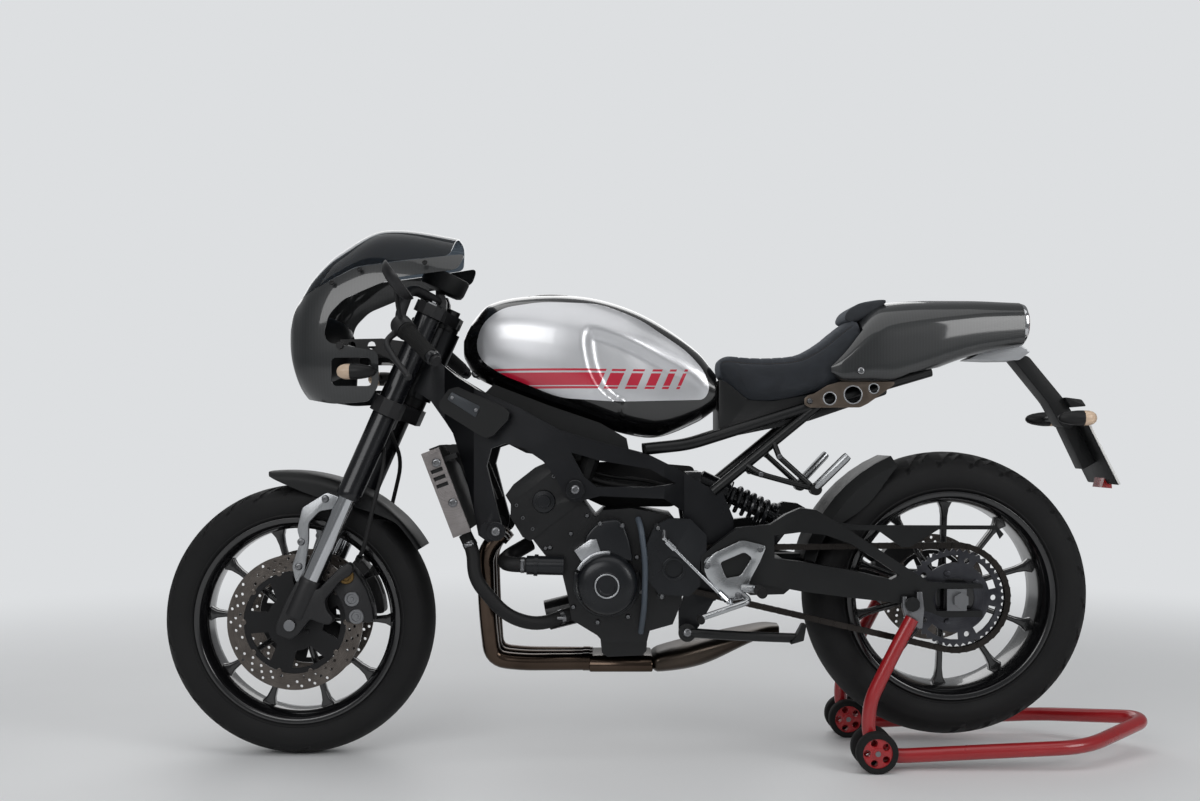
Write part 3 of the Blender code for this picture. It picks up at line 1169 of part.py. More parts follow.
BAR_R = 0.0115
BAR_PATH = [(0.487, 0.000, 1.006), (0.487, 0.045, 1.006), (0.540, 0.105, 1.032), (0.552, 0.175, 0.964),
            (0.540, 0.215, 0.938), (0.457, 0.310, 0.859)]
GRIP_R = 0.0165
CLAMP_POST = [(0.471, 0.960), (0.503, 0.974), (0.505, 1.006), (0.500, 1.022), (0.474, 1.022), (0.469, 1.006)]


def both(make):
    """Shapes of the left side followed by their mirror images."""
    flip = Matrix.Scale(-1, 4, (0, 1, 0))
    return list(make()) + [moved(shape, flip) for shape in make()]


def controls():
    """Grip, bar end, switch block, lever and mirror of one hand."""
    a, b = raised(BAR_PATH[4:6])
    along = (b - a).normalized()
    lever = [(0.545, 0.218, 0.932), (0.574, 0.236, 0.905), (0.548, 0.272, 0.868), (0.512, 0.322, 0.828)]
    stalk = [(0.540, 0.216, 0.938), (0.545, 0.240, 0.975), (0.542, 0.285, 1.005)]
    mirror = turned([(0.0, -0.012), (0.032, -0.010), (0.047, 0.011), (0.0, 0.011)],
                    (0.5415, 0.300, 1.0205 + LIFT), (-0.81, -0.05, 0.59), 12)
    return [
        tube([a + along * 0.020, b + along * 0.016], GRIP_R, 8),
        tube([a - along * 0.014, a + along * 0.028], 0.0215, 8),
        tube(raised(lever), [0.009, 0.0065, 0.0065, 0.0055], 5),
        tube(raised(stalk), 0.0055, 5),
        mirror,
    ]


bar_right = [(x, -y, z) for x, y, z in BAR_PATH[:0:-1]]
bar = tube(rounded(raised(bar_right + BAR_PATH[1:]), 0.030, 1), BAR_R, 8)
reservoir = turned([(0.022, 0.0), (0.022, 0.032)], (0.560, -0.215, 0.962 + LIFT), (0, 0, 1), 12)
reservoir_neck = tube(raised([(0.560, -0.215, 0.967), (0.552, -0.222, 0.922)]), 0.009, 5)
part("handlebar", "black_cast", [bar] + both(controls) + [reservoir, reservoir_neck],
     pivot=HEAD, parent="steering_axis")
upper = yoke(YOKE_HIGH_HALF, CLAMP_R, 0.018, -0.056, 0.034)
collar = turned([(BEARING_R, HEAD_HIGH + 2 * FIT), (BEARING_R, 0.0)], (-FORK_OFFSET, 0, 0), (0, 0, 1), 16)
posts = [prism(lifted(CLAMP_POST), y - 0.012, y + 0.012) for y in (-0.032, 0.032)]
part("upper_yoke", "black_cast", [on_leg(upper, FORK_LENGTH), on_leg(collar, FORK_LENGTH)] + posts,
     seats=LEGS + ("lower_yoke", "handlebar"), pivot=HEAD, parent="steering_axis")
part("instrument", "black_plastic",
     [turned([(0.044, 0.0), (0.052, 0.006), (0.052, 0.040), (0.047, 0.045)],
             (0.487, 0, 1.032 + LIFT), (-0.42, 0, 0.91), 20),
      block((0.478, 0.498), (-0.012, 0.012), (1.0105 + LIFT, 1.040 + LIFT))],
     seats=("handlebar", "upper_yoke"), pivot=HEAD, parent="steering_axis")

# ---------------------------------------------------------------- front mudguard and brakes
GUARD_R = FRONT_TYRE_R + 0.022
GUARD_HALF = FRONT_TYRE_WIDTH / 2 + 0.0145
GUARD_STEPS = 7
guard_rings = []
for k in range(GUARD_STEPS + 1):
    share = k / GUARD_STEPS
    angle = radians(79.0 + 71.0 * share)
    beak = 0.0145 * (1 - share) ** 3
    drop = 0.010 + 0.038 * sin(pi * min(share * 1.25, 1) ** 0.8)
    half = GUARD_HALF - 0.014 * (1 - share) ** 2
    corner = min(0.018, drop * 0.8)
    guard_rings.append(guard_ring(FRONT_AXLE, angle, GUARD_R + beak, half, drop, 0.003, corner))
STAY = [(0.694, 0.575), (0.724, 0.586), (0.778, 0.552), (0.789, 0.505), (0.782, 0.479), (0.800, 0.425),
        (0.792, 0.390), (0.776, 0.392), (0.770, 0.430), (0.764, 0.480), (0.764, 0.520), (0.740, 0.545),
        (0.700, 0.552)]


AXLE_NOMINAL = (0.798066, 0.300)


def at_axle(points):
    """Outline drawn round the nominal front axle, carried along by the true one."""
    shift = (FRONT_AXLE.x - AXLE_NOMINAL[0], FRONT_AXLE.z - AXLE_NOMINAL[1])
    return [(x + shift[0], z + shift[1]) for x, z in points]


def stay():
    """Bracket from the mudguard down to the fork foot, inside the leg."""
    bracket = at_axle(STAY)
    return [prism(bracket, 0.080, FOOT_INNER + 0.002), prism(bracket[:3] + bracket[-2:], 0.0665, 0.082)]


part("front_mudguard", "black_plastic", [loft(guard_rings)] + both(stay),
     seats=("fork_slider_left", "fork_slider_right", "front_axle"), pivot=FRONT_AXLE, parent="steering_axis")

CALIPER_SPAN = (radians(131), radians(179))
CALIPER_INNER = 0.114
CALIPER_OUTER = 0.178


def caliper_outline(inner, outer, low, high, count=5):
    """Arc-shaped outline over the disc's edge."""
    angles = [low + (high - low) * k / (count - 1) for k in range(count)]
    points = [(inner, a) for a in angles] + [(outer, a) for a in reversed(angles)]
    return [(FRONT_AXLE.x + r * cos(a), FRONT_AXLE.z + r * sin(a)) for r, a in points]


for word, side in SIDES:
    body = prism(caliper_outline(CALIPER_INNER, CALIPER_OUTER, *CALIPER_SPAN), 0.046, 0.100)
    window = prism(caliper_outline(0.150, 0.20, radians(147), radians(163), 3), 0.064, 0.076)
    caps = [disc(0.014, (FRONT_AXLE.x + 0.137 * cos(a), 0, FRONT_AXLE.z + 0.137 * sin(a)), 0.095, 0.103,
                 sides=8) for a in (radians(142), radians(169))]
    groove = disc(FRONT_DISC_R + 0.002, FRONT_AXLE, FRONT_DISC_Y - 0.0055, FRONT_DISC_Y + 0.0055, sides=48)
    part("front_caliper_" + word, "black_cast", [body] + caps, cuts=[groove, window],
         side=side, seats=("fork_slider_" + word, "fork_tube_" + word), pivot=FRONT_AXLE,
         parent="steering_axis")

# ahead of the leg, to the side, and up the leg from the axle
HOSE = [(-0.003, 0.010, YOKE_LOW - 0.039), (0.000, FORK_HALF_PITCH * 0.57, YOKE_LOW - 0.0545),
        (-0.046, FORK_HALF_PITCH + 0.017, YOKE_LOW - 0.113), (-0.060, FORK_HALF_PITCH + 0.031, 0.322),
        (-0.079, FORK_HALF_PITCH + 0.023, 0.221), (-0.074, 0.095, 0.186)]


def hose():
    """Brake hose from the splitter on the lower yoke to a caliper."""
    points = [leg_point(*p) for p in HOSE]
    return [tube(rounded(points, 0.05, 1), 0.0045, 5)]


splitter = on_leg(block((-0.016, 0.008), (-0.020, 0.020), (-0.050, -0.0165)), YOKE_LOW)
part("brake_hoses", "rubber", [splitter] + both(hose),
     seats=("lower_yoke", "front_caliper_left", "front_caliper_right") + LEGS, pivot=HEAD,
     parent="steering_axis")

# ---------------------------------------------------------------- nose cowl, screen and headlamp
COWL_STATIONS = [
    # x, top, bottom, half width
    (0.812, 0.940, 0.900, 0.050), (0.799, 0.990, 0.845, 0.102), (0.781, 1.020, 0.800, 0.126),
    (0.752, 1.065, 0.770, 0.145), (0.700, 1.115, 0.740, 0.158), (0.600, 1.165, 0.735, 0.166),
    (0.400, 1.140, 0.735, 0.170),
]
COWL_SIDE = [
    (0.815, 1.004), (0.840, 0.970), (0.840, 0.905), (0.812, 0.891), (0.793, 0.812), (0.776, 0.790),
    (0.704, 0.778), (0.624, 0.783), (0.600, 0.820), (0.600, 0.889), (0.707, 0.908), (0.718, 0.926),
    (0.707, 0.968), (0.675, 1.001), (0.600, 1.033), (0.557, 1.048), (0.432, 1.065), (0.417, 1.101),
    (0.557, 1.082), (0.650, 1.070), (0.694, 1.048), (0.781, 1.005),
]
SCREEN_SIDE = [
    (0.815, 1.004), (0.815, 1.060), (0.758, 1.120), (0.700, 1.160), (0.628, 1.180), (0.610, 1.175),
    (0.439, 1.150), (0.450, 1.096), (0.563, 1.081), (0.650, 1.070), (0.694, 1.048), (0.781, 1.005),
]
COWL_WALL = 0.0035
COWL_NOTCH = [(0.702, 0.816), (0.702, 0.876), (0.615, 0.876), (0.615, 0.816)]
LAMP_CENTRE = Vector((0.745, 0, 0.902 + LIFT))
LAMP_R = 0.074


def cowl_shell(side_view):
    """Thin skin of the cowl's form, trimmed to an outline seen from the side."""
    hollow = oval_loft(COWL_STATIONS, -COWL_WALL, count=14)
    return carved(oval_loft(COWL_STATIONS, count=14), [hollow], keep=prism(lifted(side_view), -0.25, 0.25))


lamp_opening = disc(LAMP_R + 0.004, LAMP_CENTRE, 0.0, 0.12, axis=(1, 0, 0), sides=20)
part("nose_cowl", "carbon", [cowl_shell(COWL_SIDE)],
     cuts=[lamp_opening, prism(lifted(COWL_NOTCH), -0.25, 0.25)], pivot=HEAD, parent="steering_axis")
part("windscreen", "smoke", [cowl_shell(SCREEN_SIDE)], seats=("nose_cowl",), pivot=HEAD,
     parent="steering_axis")

ARM_Y = 0.112
COWL_ARM = [(0.520, 0.872), (0.520, 0.910), (0.600, 0.920), (0.690, 0.918), (0.690, 0.892), (0.620, 0.892),
            (0.575, 0.872)]


def cowl_arm():
    """Two-hole plate from a fork leg forward, with the cowl's fixing ear and an indicator."""
    holes = [disc(0.009, (x, 0, 0.905 + LIFT), 0.05, 0.16, sides=8) for x in (0.622, 0.665)]
    return [
        carved(prism(lifted(COWL_ARM), ARM_Y, ARM_Y + 0.005), holes),
        disc(0.008, (0.682, 0, 0.902 + LIFT), -0.001, 0.166, sides=8),
        disc(0.006, (0.655, 0, 0.845 + LIFT), ARM_Y, 0.180, sides=8),
        prism(lifted([(0.650, 0.840), (0.662, 0.840), (0.668, 0.896), (0.648, 0.896)]), ARM_Y, ARM_Y + 0.005),
        indicator((0.640, 0.845), 1, 0.188),
    ]


part("cowl_bracket", "aluminium", both(cowl_arm),
     seats=LEGS + ("nose_cowl",), pivot=HEAD, parent="steering_axis")
part("headlamp", "clear",
     [turned([(0.030, -0.062), (0.062, -0.046), (LAMP_R, -0.005), (LAMP_R, 0.030), (0.056, 0.048),
              (0, 0.057)],
             LAMP_CENTRE, (1, 0, 0), 20)],
     seats=("cowl_bracket",), pivot=HEAD, parent="steering_axis")

# ---------------------------------------------------------------- footrests and pedals
REARSET = [(-0.092, 0.430), (-0.112, 0.458), (-0.175, 0.488), (-0.227, 0.475), (-0.212, 0.440),
           (-0.190, 0.400), (-0.180, 0.362), (-0.150, 0.358), (-0.110, 0.382)]
REARSET_WINDOW = [(-0.128, 0.440), (-0.180, 0.462), (-0.196, 0.450), (-0.172, 0.412), (-0.140, 0.406)]
REARSET_Y = (0.157, 0.164)
REST = [(-0.176, 0.160, 0.385), (-0.205, 0.176, 0.385), (-0.207, 0.262, 0.385)]


def rearset(lever, toe, rod):
    """Footrest plate with its peg, the pedal under it and the rod to the engine."""
    shapes = [
        carved(prism(rounded(lifted(REARSET), 0.010, 1, True), *REARSET_Y),
               [prism(lifted(REARSET_WINDOW), 0.14, 0.18)]),
        disc(0.016, PIVOT, ARM_OUTER + 0.004 + FIT, REARSET_Y[0] + 0.001, sides=16),
        disc(0.008, (-0.127, 0, 0.387 + LIFT), 0.080, REARSET_Y[0] + 0.001, sides=10),
        tube(raised(REST), [0.009, 0.009, 0.011], 8),
        tube(raised(lever), 0.0065, 5),
        tube(raised(toe), 0.008, 6),
    ]
    return shapes + [tube(raised(path), 0.004, 5) for path in rod]


SHIFT_LEVER = [(-0.176, 0.160, 0.372), (-0.190, 0.184, 0.360), (-0.150, 0.194, 0.348), (-0.081, 0.194, 0.325)]
SHIFT_TOE = [(-0.083, 0.188, 0.325), (-0.083, 0.232, 0.325)]
SHIFT_ROD = [[(-0.150, 0.168, 0.358), (-0.150, 0.190, 0.352)],
             [(-0.146, 0.174, 0.354), (-0.009, 0.164, 0.490)],
             [(-0.009, 0.168, 0.490), (-0.009, 0.148, 0.505)]]
BRAKE_LEVER = [(-0.176, 0.160, 0.372), (-0.190, 0.184, 0.360), (-0.150, 0.198, 0.348), (-0.060, 0.200, 0.330)]
BRAKE_TOE = [(-0.062, 0.192, 0.330), (-0.062, 0.232, 0.332)]
BRAKE_ROD = [[(-0.150, 0.161, 0.440), (-0.150, 0.190, 0.348)]]
part("footrest_left", "aluminium", rearset(SHIFT_LEVER, SHIFT_TOE, SHIFT_ROD),
     seats=("frame", "swingarm", "engine_block"))
part("footrest_right", "aluminium", rearset(BRAKE_LEVER, BRAKE_TOE, BRAKE_ROD), side=-1,
     seats=("frame", "swingarm", "engine_block"))

# ---------------------------------------------------------------- side stand
SIDE_STAND_PIVOT = Vector((-0.060, 0.1275, 0.285 + LIFT))
SIDE_STAND_TILT = radians(15)
SIDE_STAND_AXIS = Vector((0, -cos(SIDE_STAND_TILT), -sin(SIDE_STAND_TILT)))
side_stand = [
    disc(0.019, SIDE_STAND_PIVOT, -0.005, 0.005, axis=SIDE_STAND_AXIS, sides=12),
    tube([SIDE_STAND_PIVOT + Vector((-0.008, 0, 0)), SIDE_STAND_PIVOT + Vector((-0.110, 0.006, -0.006)),
          SIDE_STAND_PIVOT + Vector((-0.235, 0.016, -0.009))], 0.0105, 8),
    prism([(-0.218, -0.020), (-0.246, -0.012), (-0.252, 0.022), (-0.244, 0.022), (-0.232, 0.000)],
          0.002, 0.036),
]
side_stand[2] = moved(side_stand[2], Matrix.Translation(SIDE_STAND_PIVOT))
pivot_point("side_stand_axis", SIDE_STAND_PIVOT)
part("side_stand", "black_cast", side_stand, pivot=SIDE_STAND_PIVOT, parent="side_stand_axis")

# ---------------------------------------------------------------- paddock stand
STAND_AXLE_X = -0.454
STAND_TWIN = 0.030  # each wheel of a pair, from the leg between them
stand_axle = Vector((STAND_AXLE_X, 0, STAND_WHEEL_R))
STAND_REAR = -(FRONT_AXLE.x + FRONT_TYRE_R)
STAND_FOOT = [(-0.452, 0.044), (-0.441, 0.089), (-0.446, 0.148)]
STAND_NECK = [(0.036, -0.097), (0.000, -0.030)]  # from the spool
NECK_Y = ARM_OUTER + 0.020


def stand_wheel_pair(side):
    """Two small wheels on one axle that turns in the leg."""
    y = side * STAND_HALF_TRACK
    profile = [(0.0, -0.009), (STAND_WHEEL_R - 0.006, -0.013), (STAND_WHEEL_R, -0.009)]
    profile = profile + [(r, -a) for r, a in reversed(profile)]
    shapes = [turned(profile, stand_axle + Vector((0, y + way * STAND_TWIN, 0)), sides=16) for way in (-1, 1)]
    shapes.insert(1, disc(0.006, stand_axle, y - STAND_TWIN, y + STAND_TWIN, sides=9))
    return shapes


for word, side in SIDES:
    pivot_point("stand_wheel_axis_" + word, stand_axle)
    part("stand_wheels_" + word, "rubber", stand_wheel_pair(side), pivot=stand_axle,
         parent="stand_wheel_axis_" + word)


STAND_RAIL = [(STAND_REAR + STAND_TUBE_R, 0.024, 0.072), (-0.905, STAND_HALF_TRACK, 0.049),
              (-0.509, STAND_HALF_TRACK, 0.030), (-0.470, STAND_HALF_TRACK, 0.034),
              (STAND_AXLE_X + 0.003, STAND_HALF_TRACK, STAND_WHEEL_R - 0.004)]
rail_right = [(x, -y, z) for x, y, z in reversed(STAND_RAIL)]


def stand_side():
    """Leg from the wheels up to the hook under the swingarm's spool."""
    leg = [Vector((x, STAND_HALF_TRACK, z)) for x, z in STAND_FOOT]
    leg += [Vector((spool_centre.x + x, NECK_Y, spool_centre.z + z)) for x, z in STAND_NECK]
    hook = [(-0.022, -0.052), (-0.014, -0.052), (0.014, -0.030), (0.020, -0.008), (0.020, 0.016),
            (0.011, 0.016), (0.009, -0.002), (0.005, -0.009), (-0.005, -0.009), (-0.009, -0.002),
            (-0.011, 0.026), (-0.022, 0.026), (-0.026, -0.010)]
    hook = [(spool_centre.x + a, spool_centre.z + b) for a, b in hook]
    return [
        tube(rounded(leg, 0.04, 1), STAND_TUBE_R * 0.96, 7),
        prism(hook, ARM_OUTER + 0.004, ARM_OUTER + 0.0185),
    ]


stand_frame = [tube(rounded(rail_right + STAND_RAIL, 0.06, 1), STAND_TUBE_R, 8)] + both(stand_side)
bores = [disc(0.0068, stand_axle, -0.24, 0.24, sides=10)]
part("paddock_stand", "red_paint", stand_frame, cuts=bores, seats=("swingarm", "rear_axle"))
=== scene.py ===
"""Naked three-cylinder motorcycle with a nose cowl, held upright by a rear paddock stand.

Metres, +Z up, +X forward, +Y to the rider's left; what stands in mm() is in millimetres. Sections
follow the machine as it is put together.
"""

import json
from math import asin, atan2, cos, exp, pi, radians, sin, sqrt

import bmesh
import bpy
from mathutils import Matrix, Vector, kdtree
from mathutils.bvhtree import BVHTree

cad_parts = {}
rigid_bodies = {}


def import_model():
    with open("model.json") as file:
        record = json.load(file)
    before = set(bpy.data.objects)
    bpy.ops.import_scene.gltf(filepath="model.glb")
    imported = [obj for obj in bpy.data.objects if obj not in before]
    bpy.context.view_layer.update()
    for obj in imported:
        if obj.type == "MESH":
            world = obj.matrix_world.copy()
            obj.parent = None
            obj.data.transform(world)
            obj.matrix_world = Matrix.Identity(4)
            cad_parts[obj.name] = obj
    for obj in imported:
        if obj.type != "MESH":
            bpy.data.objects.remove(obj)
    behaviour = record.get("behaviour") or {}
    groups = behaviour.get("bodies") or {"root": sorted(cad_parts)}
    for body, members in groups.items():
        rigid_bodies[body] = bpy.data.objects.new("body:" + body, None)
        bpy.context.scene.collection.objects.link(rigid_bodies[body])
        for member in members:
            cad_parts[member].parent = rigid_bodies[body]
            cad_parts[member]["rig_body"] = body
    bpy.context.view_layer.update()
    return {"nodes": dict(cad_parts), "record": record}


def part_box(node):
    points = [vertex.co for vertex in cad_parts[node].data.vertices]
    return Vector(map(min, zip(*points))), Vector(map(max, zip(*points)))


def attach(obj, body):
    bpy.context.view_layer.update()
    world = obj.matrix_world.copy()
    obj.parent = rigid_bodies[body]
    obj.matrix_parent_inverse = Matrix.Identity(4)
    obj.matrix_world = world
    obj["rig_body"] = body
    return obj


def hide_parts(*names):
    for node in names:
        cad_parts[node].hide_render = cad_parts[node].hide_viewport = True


for old in list(bpy.data.objects):
    bpy.data.objects.remove(old)
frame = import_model()
scene = bpy.context.scene

# -------------------- studio
# A pale painted floor under a pale sky of light, four large softboxes overhead and to the sides,
# and a lens level with the tank that looks squarely at the left side of the machine.


def set_out(name, data):
    """Object that holds some data, in the scene."""
    made = bpy.data.objects.new(name, data)
    scene.collection.objects.link(made)
    return made


camera = set_out("camera", bpy.data.cameras.new("camera"))
camera.location = (0.117, 3.0, 0.711)
camera.rotation_euler = (radians(90), 0, radians(180))
camera.data.lens = 40
camera.data.sensor_width = 36
camera.data.shift_x = -0.0042
camera.data.shift_y = 0.0288
scene.camera = camera
scene.view_settings.view_transform = "Standard"


def linear(hex_colour):
    """sRGB hex value as the linear colour a socket takes."""
    out = []
    for place in (1, 3, 5):
        share = int(hex_colour[place:place + 2], 16) / 255
        out.append(share / 12.92 if share <= 0.04045 else ((share + 0.055) / 1.055) ** 2.4)
    return (*out, 1.0)


def add(material, kind, sockets=None, **settings):
    """Adds a shader node; each socket takes a value, an output, or a node for its first output."""
    made = material.node_tree.nodes.new("ShaderNode" + kind)
    for key, value in settings.items():
        setattr(made, key, value)
    for key, value in (sockets or {}).items():
        value = value.outputs[0] if isinstance(value, bpy.types.Node) else value
        if isinstance(value, bpy.types.NodeSocket):
            material.node_tree.links.new(value, made.inputs[key])
        else:
            made.inputs[key].default_value = value
    return made


def softbox(name, place, target, width, height, power):
    """Large rectangular lamp turned towards a point."""
    lamp = bpy.data.lights.new(name, "AREA")
    lamp.shape = "RECTANGLE"
    lamp.size = width
    lamp.size_y = height
    lamp.energy = power
    holder = set_out(name, lamp)
    holder.location = place
    holder.rotation_euler = (Vector(target) - Vector(place)).to_track_quat("-Z", "Y").to_euler()


softbox("softbox_overhead", (0.3, 0.4, 3.3), (0, 0, 0.5), 5.4, 3.0, 44)
softbox("softbox_left", (1.9, 3.6, 2.3), (0, 0, 0.6), 3.0, 1.8, 56)
softbox("softbox_rear_left", (-2.8, 2.4, 1.9), (-0.2, 0, 0.6), 1.4, 1.6, 34)
softbox("softbox_right", (0.6, -3.4, 2.4), (0, 0, 0.6), 4.2, 2.4, 40)


def bare_material(name, kind="materials"):
    """Material or world with an empty node tree."""
    made = getattr(bpy.data, kind).new(name)
    made.use_nodes = True
    made.node_tree.nodes.clear()
    return made


sky = bare_material("studio_sky", "worlds")
scene.world = sky
SKY_LIGHT = 0.32  # strength of the sky as a lamp, and as metal and glass see it
seen = add(sky, "LightPath")
reflected = add(sky, "Math", {0: seen.outputs["Is Glossy Ray"], 1: seen.outputs["Is Transmission Ray"]},
    operation="MAXIMUM")
reflected = add(sky, "Math", {0: reflected, 1: SKY_LIGHT}, operation="MULTIPLY")
shown = add(sky, "Math", {0: seen.outputs["Is Camera Ray"], 1: reflected}, operation="MAXIMUM")
strength = add(sky, "Math", {0: shown, 1: SKY_LIGHT}, operation="MAXIMUM")
light = add(sky, "Background", {"Color": linear("#DDDFE1"), "Strength": strength})
add(sky, "OutputWorld", {"Surface": light})

floor_paint = bare_material("matt_floor_paint")  # rolled matt paint, a little uneven in tone
place = add(floor_paint, "TexCoord")
cloud = add(floor_paint, "TexNoise", {"Vector": place.outputs["Object"], "Scale": 1.3, "Detail": 3.0})
tone = add(floor_paint, "Mix", {0: cloud, 6: linear("#E4E5E6"), 7: linear("#ECEDEE")}, data_type="RGBA")
floor_shader = add(floor_paint, "BsdfPrincipled", {"Base Color": tone.outputs[2], "Roughness": 0.55})
far = add(floor_paint, "VectorMath", {0: place.outputs["Object"]}, operation="LENGTH")
far = add(floor_paint, "MapRange", {0: far.outputs["Value"], 1: 1.4, 2: 4.0},
    interpolation_type="SMOOTHSTEP")
look = add(floor_paint, "LightPath")
far = add(floor_paint, "Math", {0: far, 1: look.outputs["Is Camera Ray"]}, operation="MULTIPLY")
distance = add(floor_paint, "Emission", {"Color": linear("#DDDFE1"), "Strength": 1.0})
blend = add(floor_paint, "MixShader", {0: far, 1: floor_shader, 2: distance})
add(floor_paint, "OutputMaterial", {"Surface": blend})
bm = bmesh.new()
bmesh.ops.create_grid(bm, x_segments=1, y_segments=1, size=30)
floor = set_out("studio_floor", bpy.data.meshes.new("studio_floor"))
bm.to_mesh(floor.data)
bm.free()
floor.data.materials.append(floor_paint)

# -------------------- frame and swingarm
# Vacuum-cast aluminium spars that meet at the steering head and the swingarm pivot, and a cast
# aluminium swingarm. Both are powder coated: the frame dark grey, the arm satin black.


def coat(name, dark, light, roughness, metallic, grain_mm, bump, clear=0.0, blotch=0.35):
    """Coated or moulded surface: a mottled colour under fine grain, satin where it is handled."""
    made = bare_material(name)
    where = add(made, "TexCoord").outputs
    wide = add(made, "TexNoise", {"Vector": where["Object"], "Scale": 9.0, "Detail": 4.0})
    fine = add(made, "TexNoise", {"Vector": where["Object"], "Scale": 1000 / grain_mm, "Detail": 2.0})
    spread = add(made, "MapRange", {0: wide, 1: 0.5 - blotch, 2: 0.5 + blotch})
    colour = add(made, "Mix", {0: spread, 6: linear(dark), 7: linear(light)}, data_type="RGBA")
    sheen = add(made, "MapRange", {0: wide, 1: 0.3, 2: 0.7, 3: roughness * 0.88, 4: min(roughness * 1.15,
        1.0)})
    relief = add(made, "Bump", {"Height": fine, "Strength": bump, "Distance": grain_mm / 4000})
    shader = add(made, "BsdfPrincipled", {"Base Color": colour.outputs[2], "Roughness": sheen,
        "Metallic": metallic, "Normal": relief, "Coat Weight": clear, "Coat Roughness": 0.06,
        "Specular IOR Level": 0.3 if metallic == 0 and roughness > 0.3 else 0.5})
    add(made, "OutputMaterial", {"Surface": shader})
    return made


def cad_skin(*nodes):
    """Skin of CAD nodes with the loose triangles merged and flat faces made whole."""
    bm = bmesh.new()
    for node in nodes:
        bm.from_mesh(frame["nodes"][node].data)
    bmesh.ops.remove_doubles(bm, verts=bm.verts, dist=3e-5)
    bmesh.ops.dissolve_limit(bm, angle_limit=radians(0.6), verts=bm.verts, edges=bm.edges)
    for face in bm.faces:
        face.material_index = 0
        face.smooth = True
    return bm


def finished(name, bm, body, materials, stands_for=(), angle=34):
    """Object of a finished shape, riding on its body in place of the CAD nodes it stands for."""
    mesh = bpy.data.meshes.new(name)
    bm.to_mesh(mesh)
    bm.free()
    mesh.polygons.foreach_set("use_smooth", [True] * len(mesh.polygons))
    mesh.set_sharp_from_angle(angle=radians(angle))
    for material in materials if isinstance(materials, (list, tuple)) else [materials]:
        mesh.materials.append(material)
    made = set_out(name, mesh)
    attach(made, body)
    if stands_for:
        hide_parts(*stands_for)
    return made


def eased(made, width, segments=2, angle=30):
    """Rounds the edges of a piece as casting, moulding or filing leaves them."""
    soften = made.modifiers.new("eased_edges", "BEVEL")
    soften.width = width
    soften.segments = segments
    soften.limit_method = "ANGLE"
    soften.angle_limit = radians(angle)
    soften.harden_normals = True
    return made


def dressed(node, name, materials, width=0.0015, segments=2, angle=30, pick=None):
    """CAD node's own shape with eased edges and its real finish, or several picked by place."""
    bm = cad_skin(node)
    for face in bm.faces:
        face.material_index = pick(face.calc_center_median()) if pick else 0
    body = frame["nodes"][node]["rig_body"]
    return eased(finished(name, bm, body, materials, (node,)), width, segments, angle)


# powder coat over cast aluminium: satin, with a faint orange-peel grain
frame_coat = coat("powder_coated_frame_casting", "#141518", "#1D1E21", 0.31, 0.5, 1.6, 0.25)
# the same coat on the swingarm and the side stand: blacker, less metallic
arm_coat = coat("powder_coated_arm_casting", "#0D0E0F", "#151617", 0.31, 0.25, 1.6, 0.3)
dressed("frame", "frame_spars", frame_coat, 0.0035, 3)
dressed("swingarm", "swingarm_casting", arm_coat, 0.0035, 3)

# -------------------- wheels
# One-piece cast aluminium rims with five pairs of slim spokes, enamelled gloss black, and road
# tyres of radial ply rubber. Each rim is machined at its lips and bored for its axle.
AROUND = 96  # facets of a full turn, fine enough that a tyre's outline reads as round
RIM_LIP_R = 0.229
RIM_SEAT_R = 0.222
RIM_INNER_R = 0.203
HUB_R = 0.034
SPOKE_PAIRS = 5


def middle_of(node):
    """Centre of a CAD node's box."""
    low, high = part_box(node)
    return (low + high) / 2


def in_section(bm, points, closed=False):
    """Row of edges through (radius, y) points, ready to be spun about the Y axis."""
    row = [bm.verts.new((r, y, 0)) for r, y in points]
    for a, b in zip(row, row[1:] + (row[:1] if closed else [])):
        bm.edges.new((a, b))
    return row


def closed_up(bm, reach=1e-6):
    """Shape with its doubled points merged and its faces turned outwards."""
    bmesh.ops.remove_doubles(bm, verts=bm.verts, dist=reach)
    bmesh.ops.recalc_face_normals(bm, faces=bm.faces)
    return bm


def spun(points, centre, steps=AROUND, closed=True):
    """Round shape about a line along Y: a section of (radius, y) points taken once round."""
    bm = bmesh.new()
    in_section(bm, points, closed)
    bmesh.ops.spin(bm, geom=bm.verts[:] + bm.edges[:], cent=(0, 0, 0), axis=(0, 1, 0), dvec=(0, 0, 0),
        angle=2 * pi, steps=steps, use_merge=True, use_duplicate=False)
    closed_up(bm)
    bmesh.ops.translate(bm, verts=bm.verts, vec=centre)
    return bm


def joined(*shapes):
    """Several shapes as one mesh."""
    whole = bmesh.new()
    for shape in shapes:
        held = bpy.data.meshes.new("held")
        shape.to_mesh(held)
        shape.free()
        whole.from_mesh(held)
        bpy.data.meshes.remove(held)
    return whole


def corners(made):
    """Vertices among what an operator made."""
    return [part for part in made["geom"] if isinstance(part, bmesh.types.BMVert)]


def stood(bm, verts, place, way, facing):
    """Turns points from one direction to another and moves them to a place."""
    turn = Vector(way).rotation_difference(Vector(facing)).to_matrix().to_4x4()
    bmesh.ops.transform(bm, verts=verts, matrix=Matrix.Translation(place) @ turn)
    return bm


def repeated(bm, count, centre, axis="Y"):
    """Shape repeated evenly about a line through a point."""
    first = bm.verts[:] + bm.edges[:] + bm.faces[:]
    for k in range(1, count):
        copy = bmesh.ops.duplicate(bm, geom=first)
        verts = corners(copy)
        bmesh.ops.rotate(bm, verts=verts, cent=centre, matrix=Matrix.Rotation(2 * pi * k / count, 3, axis))
    return bm


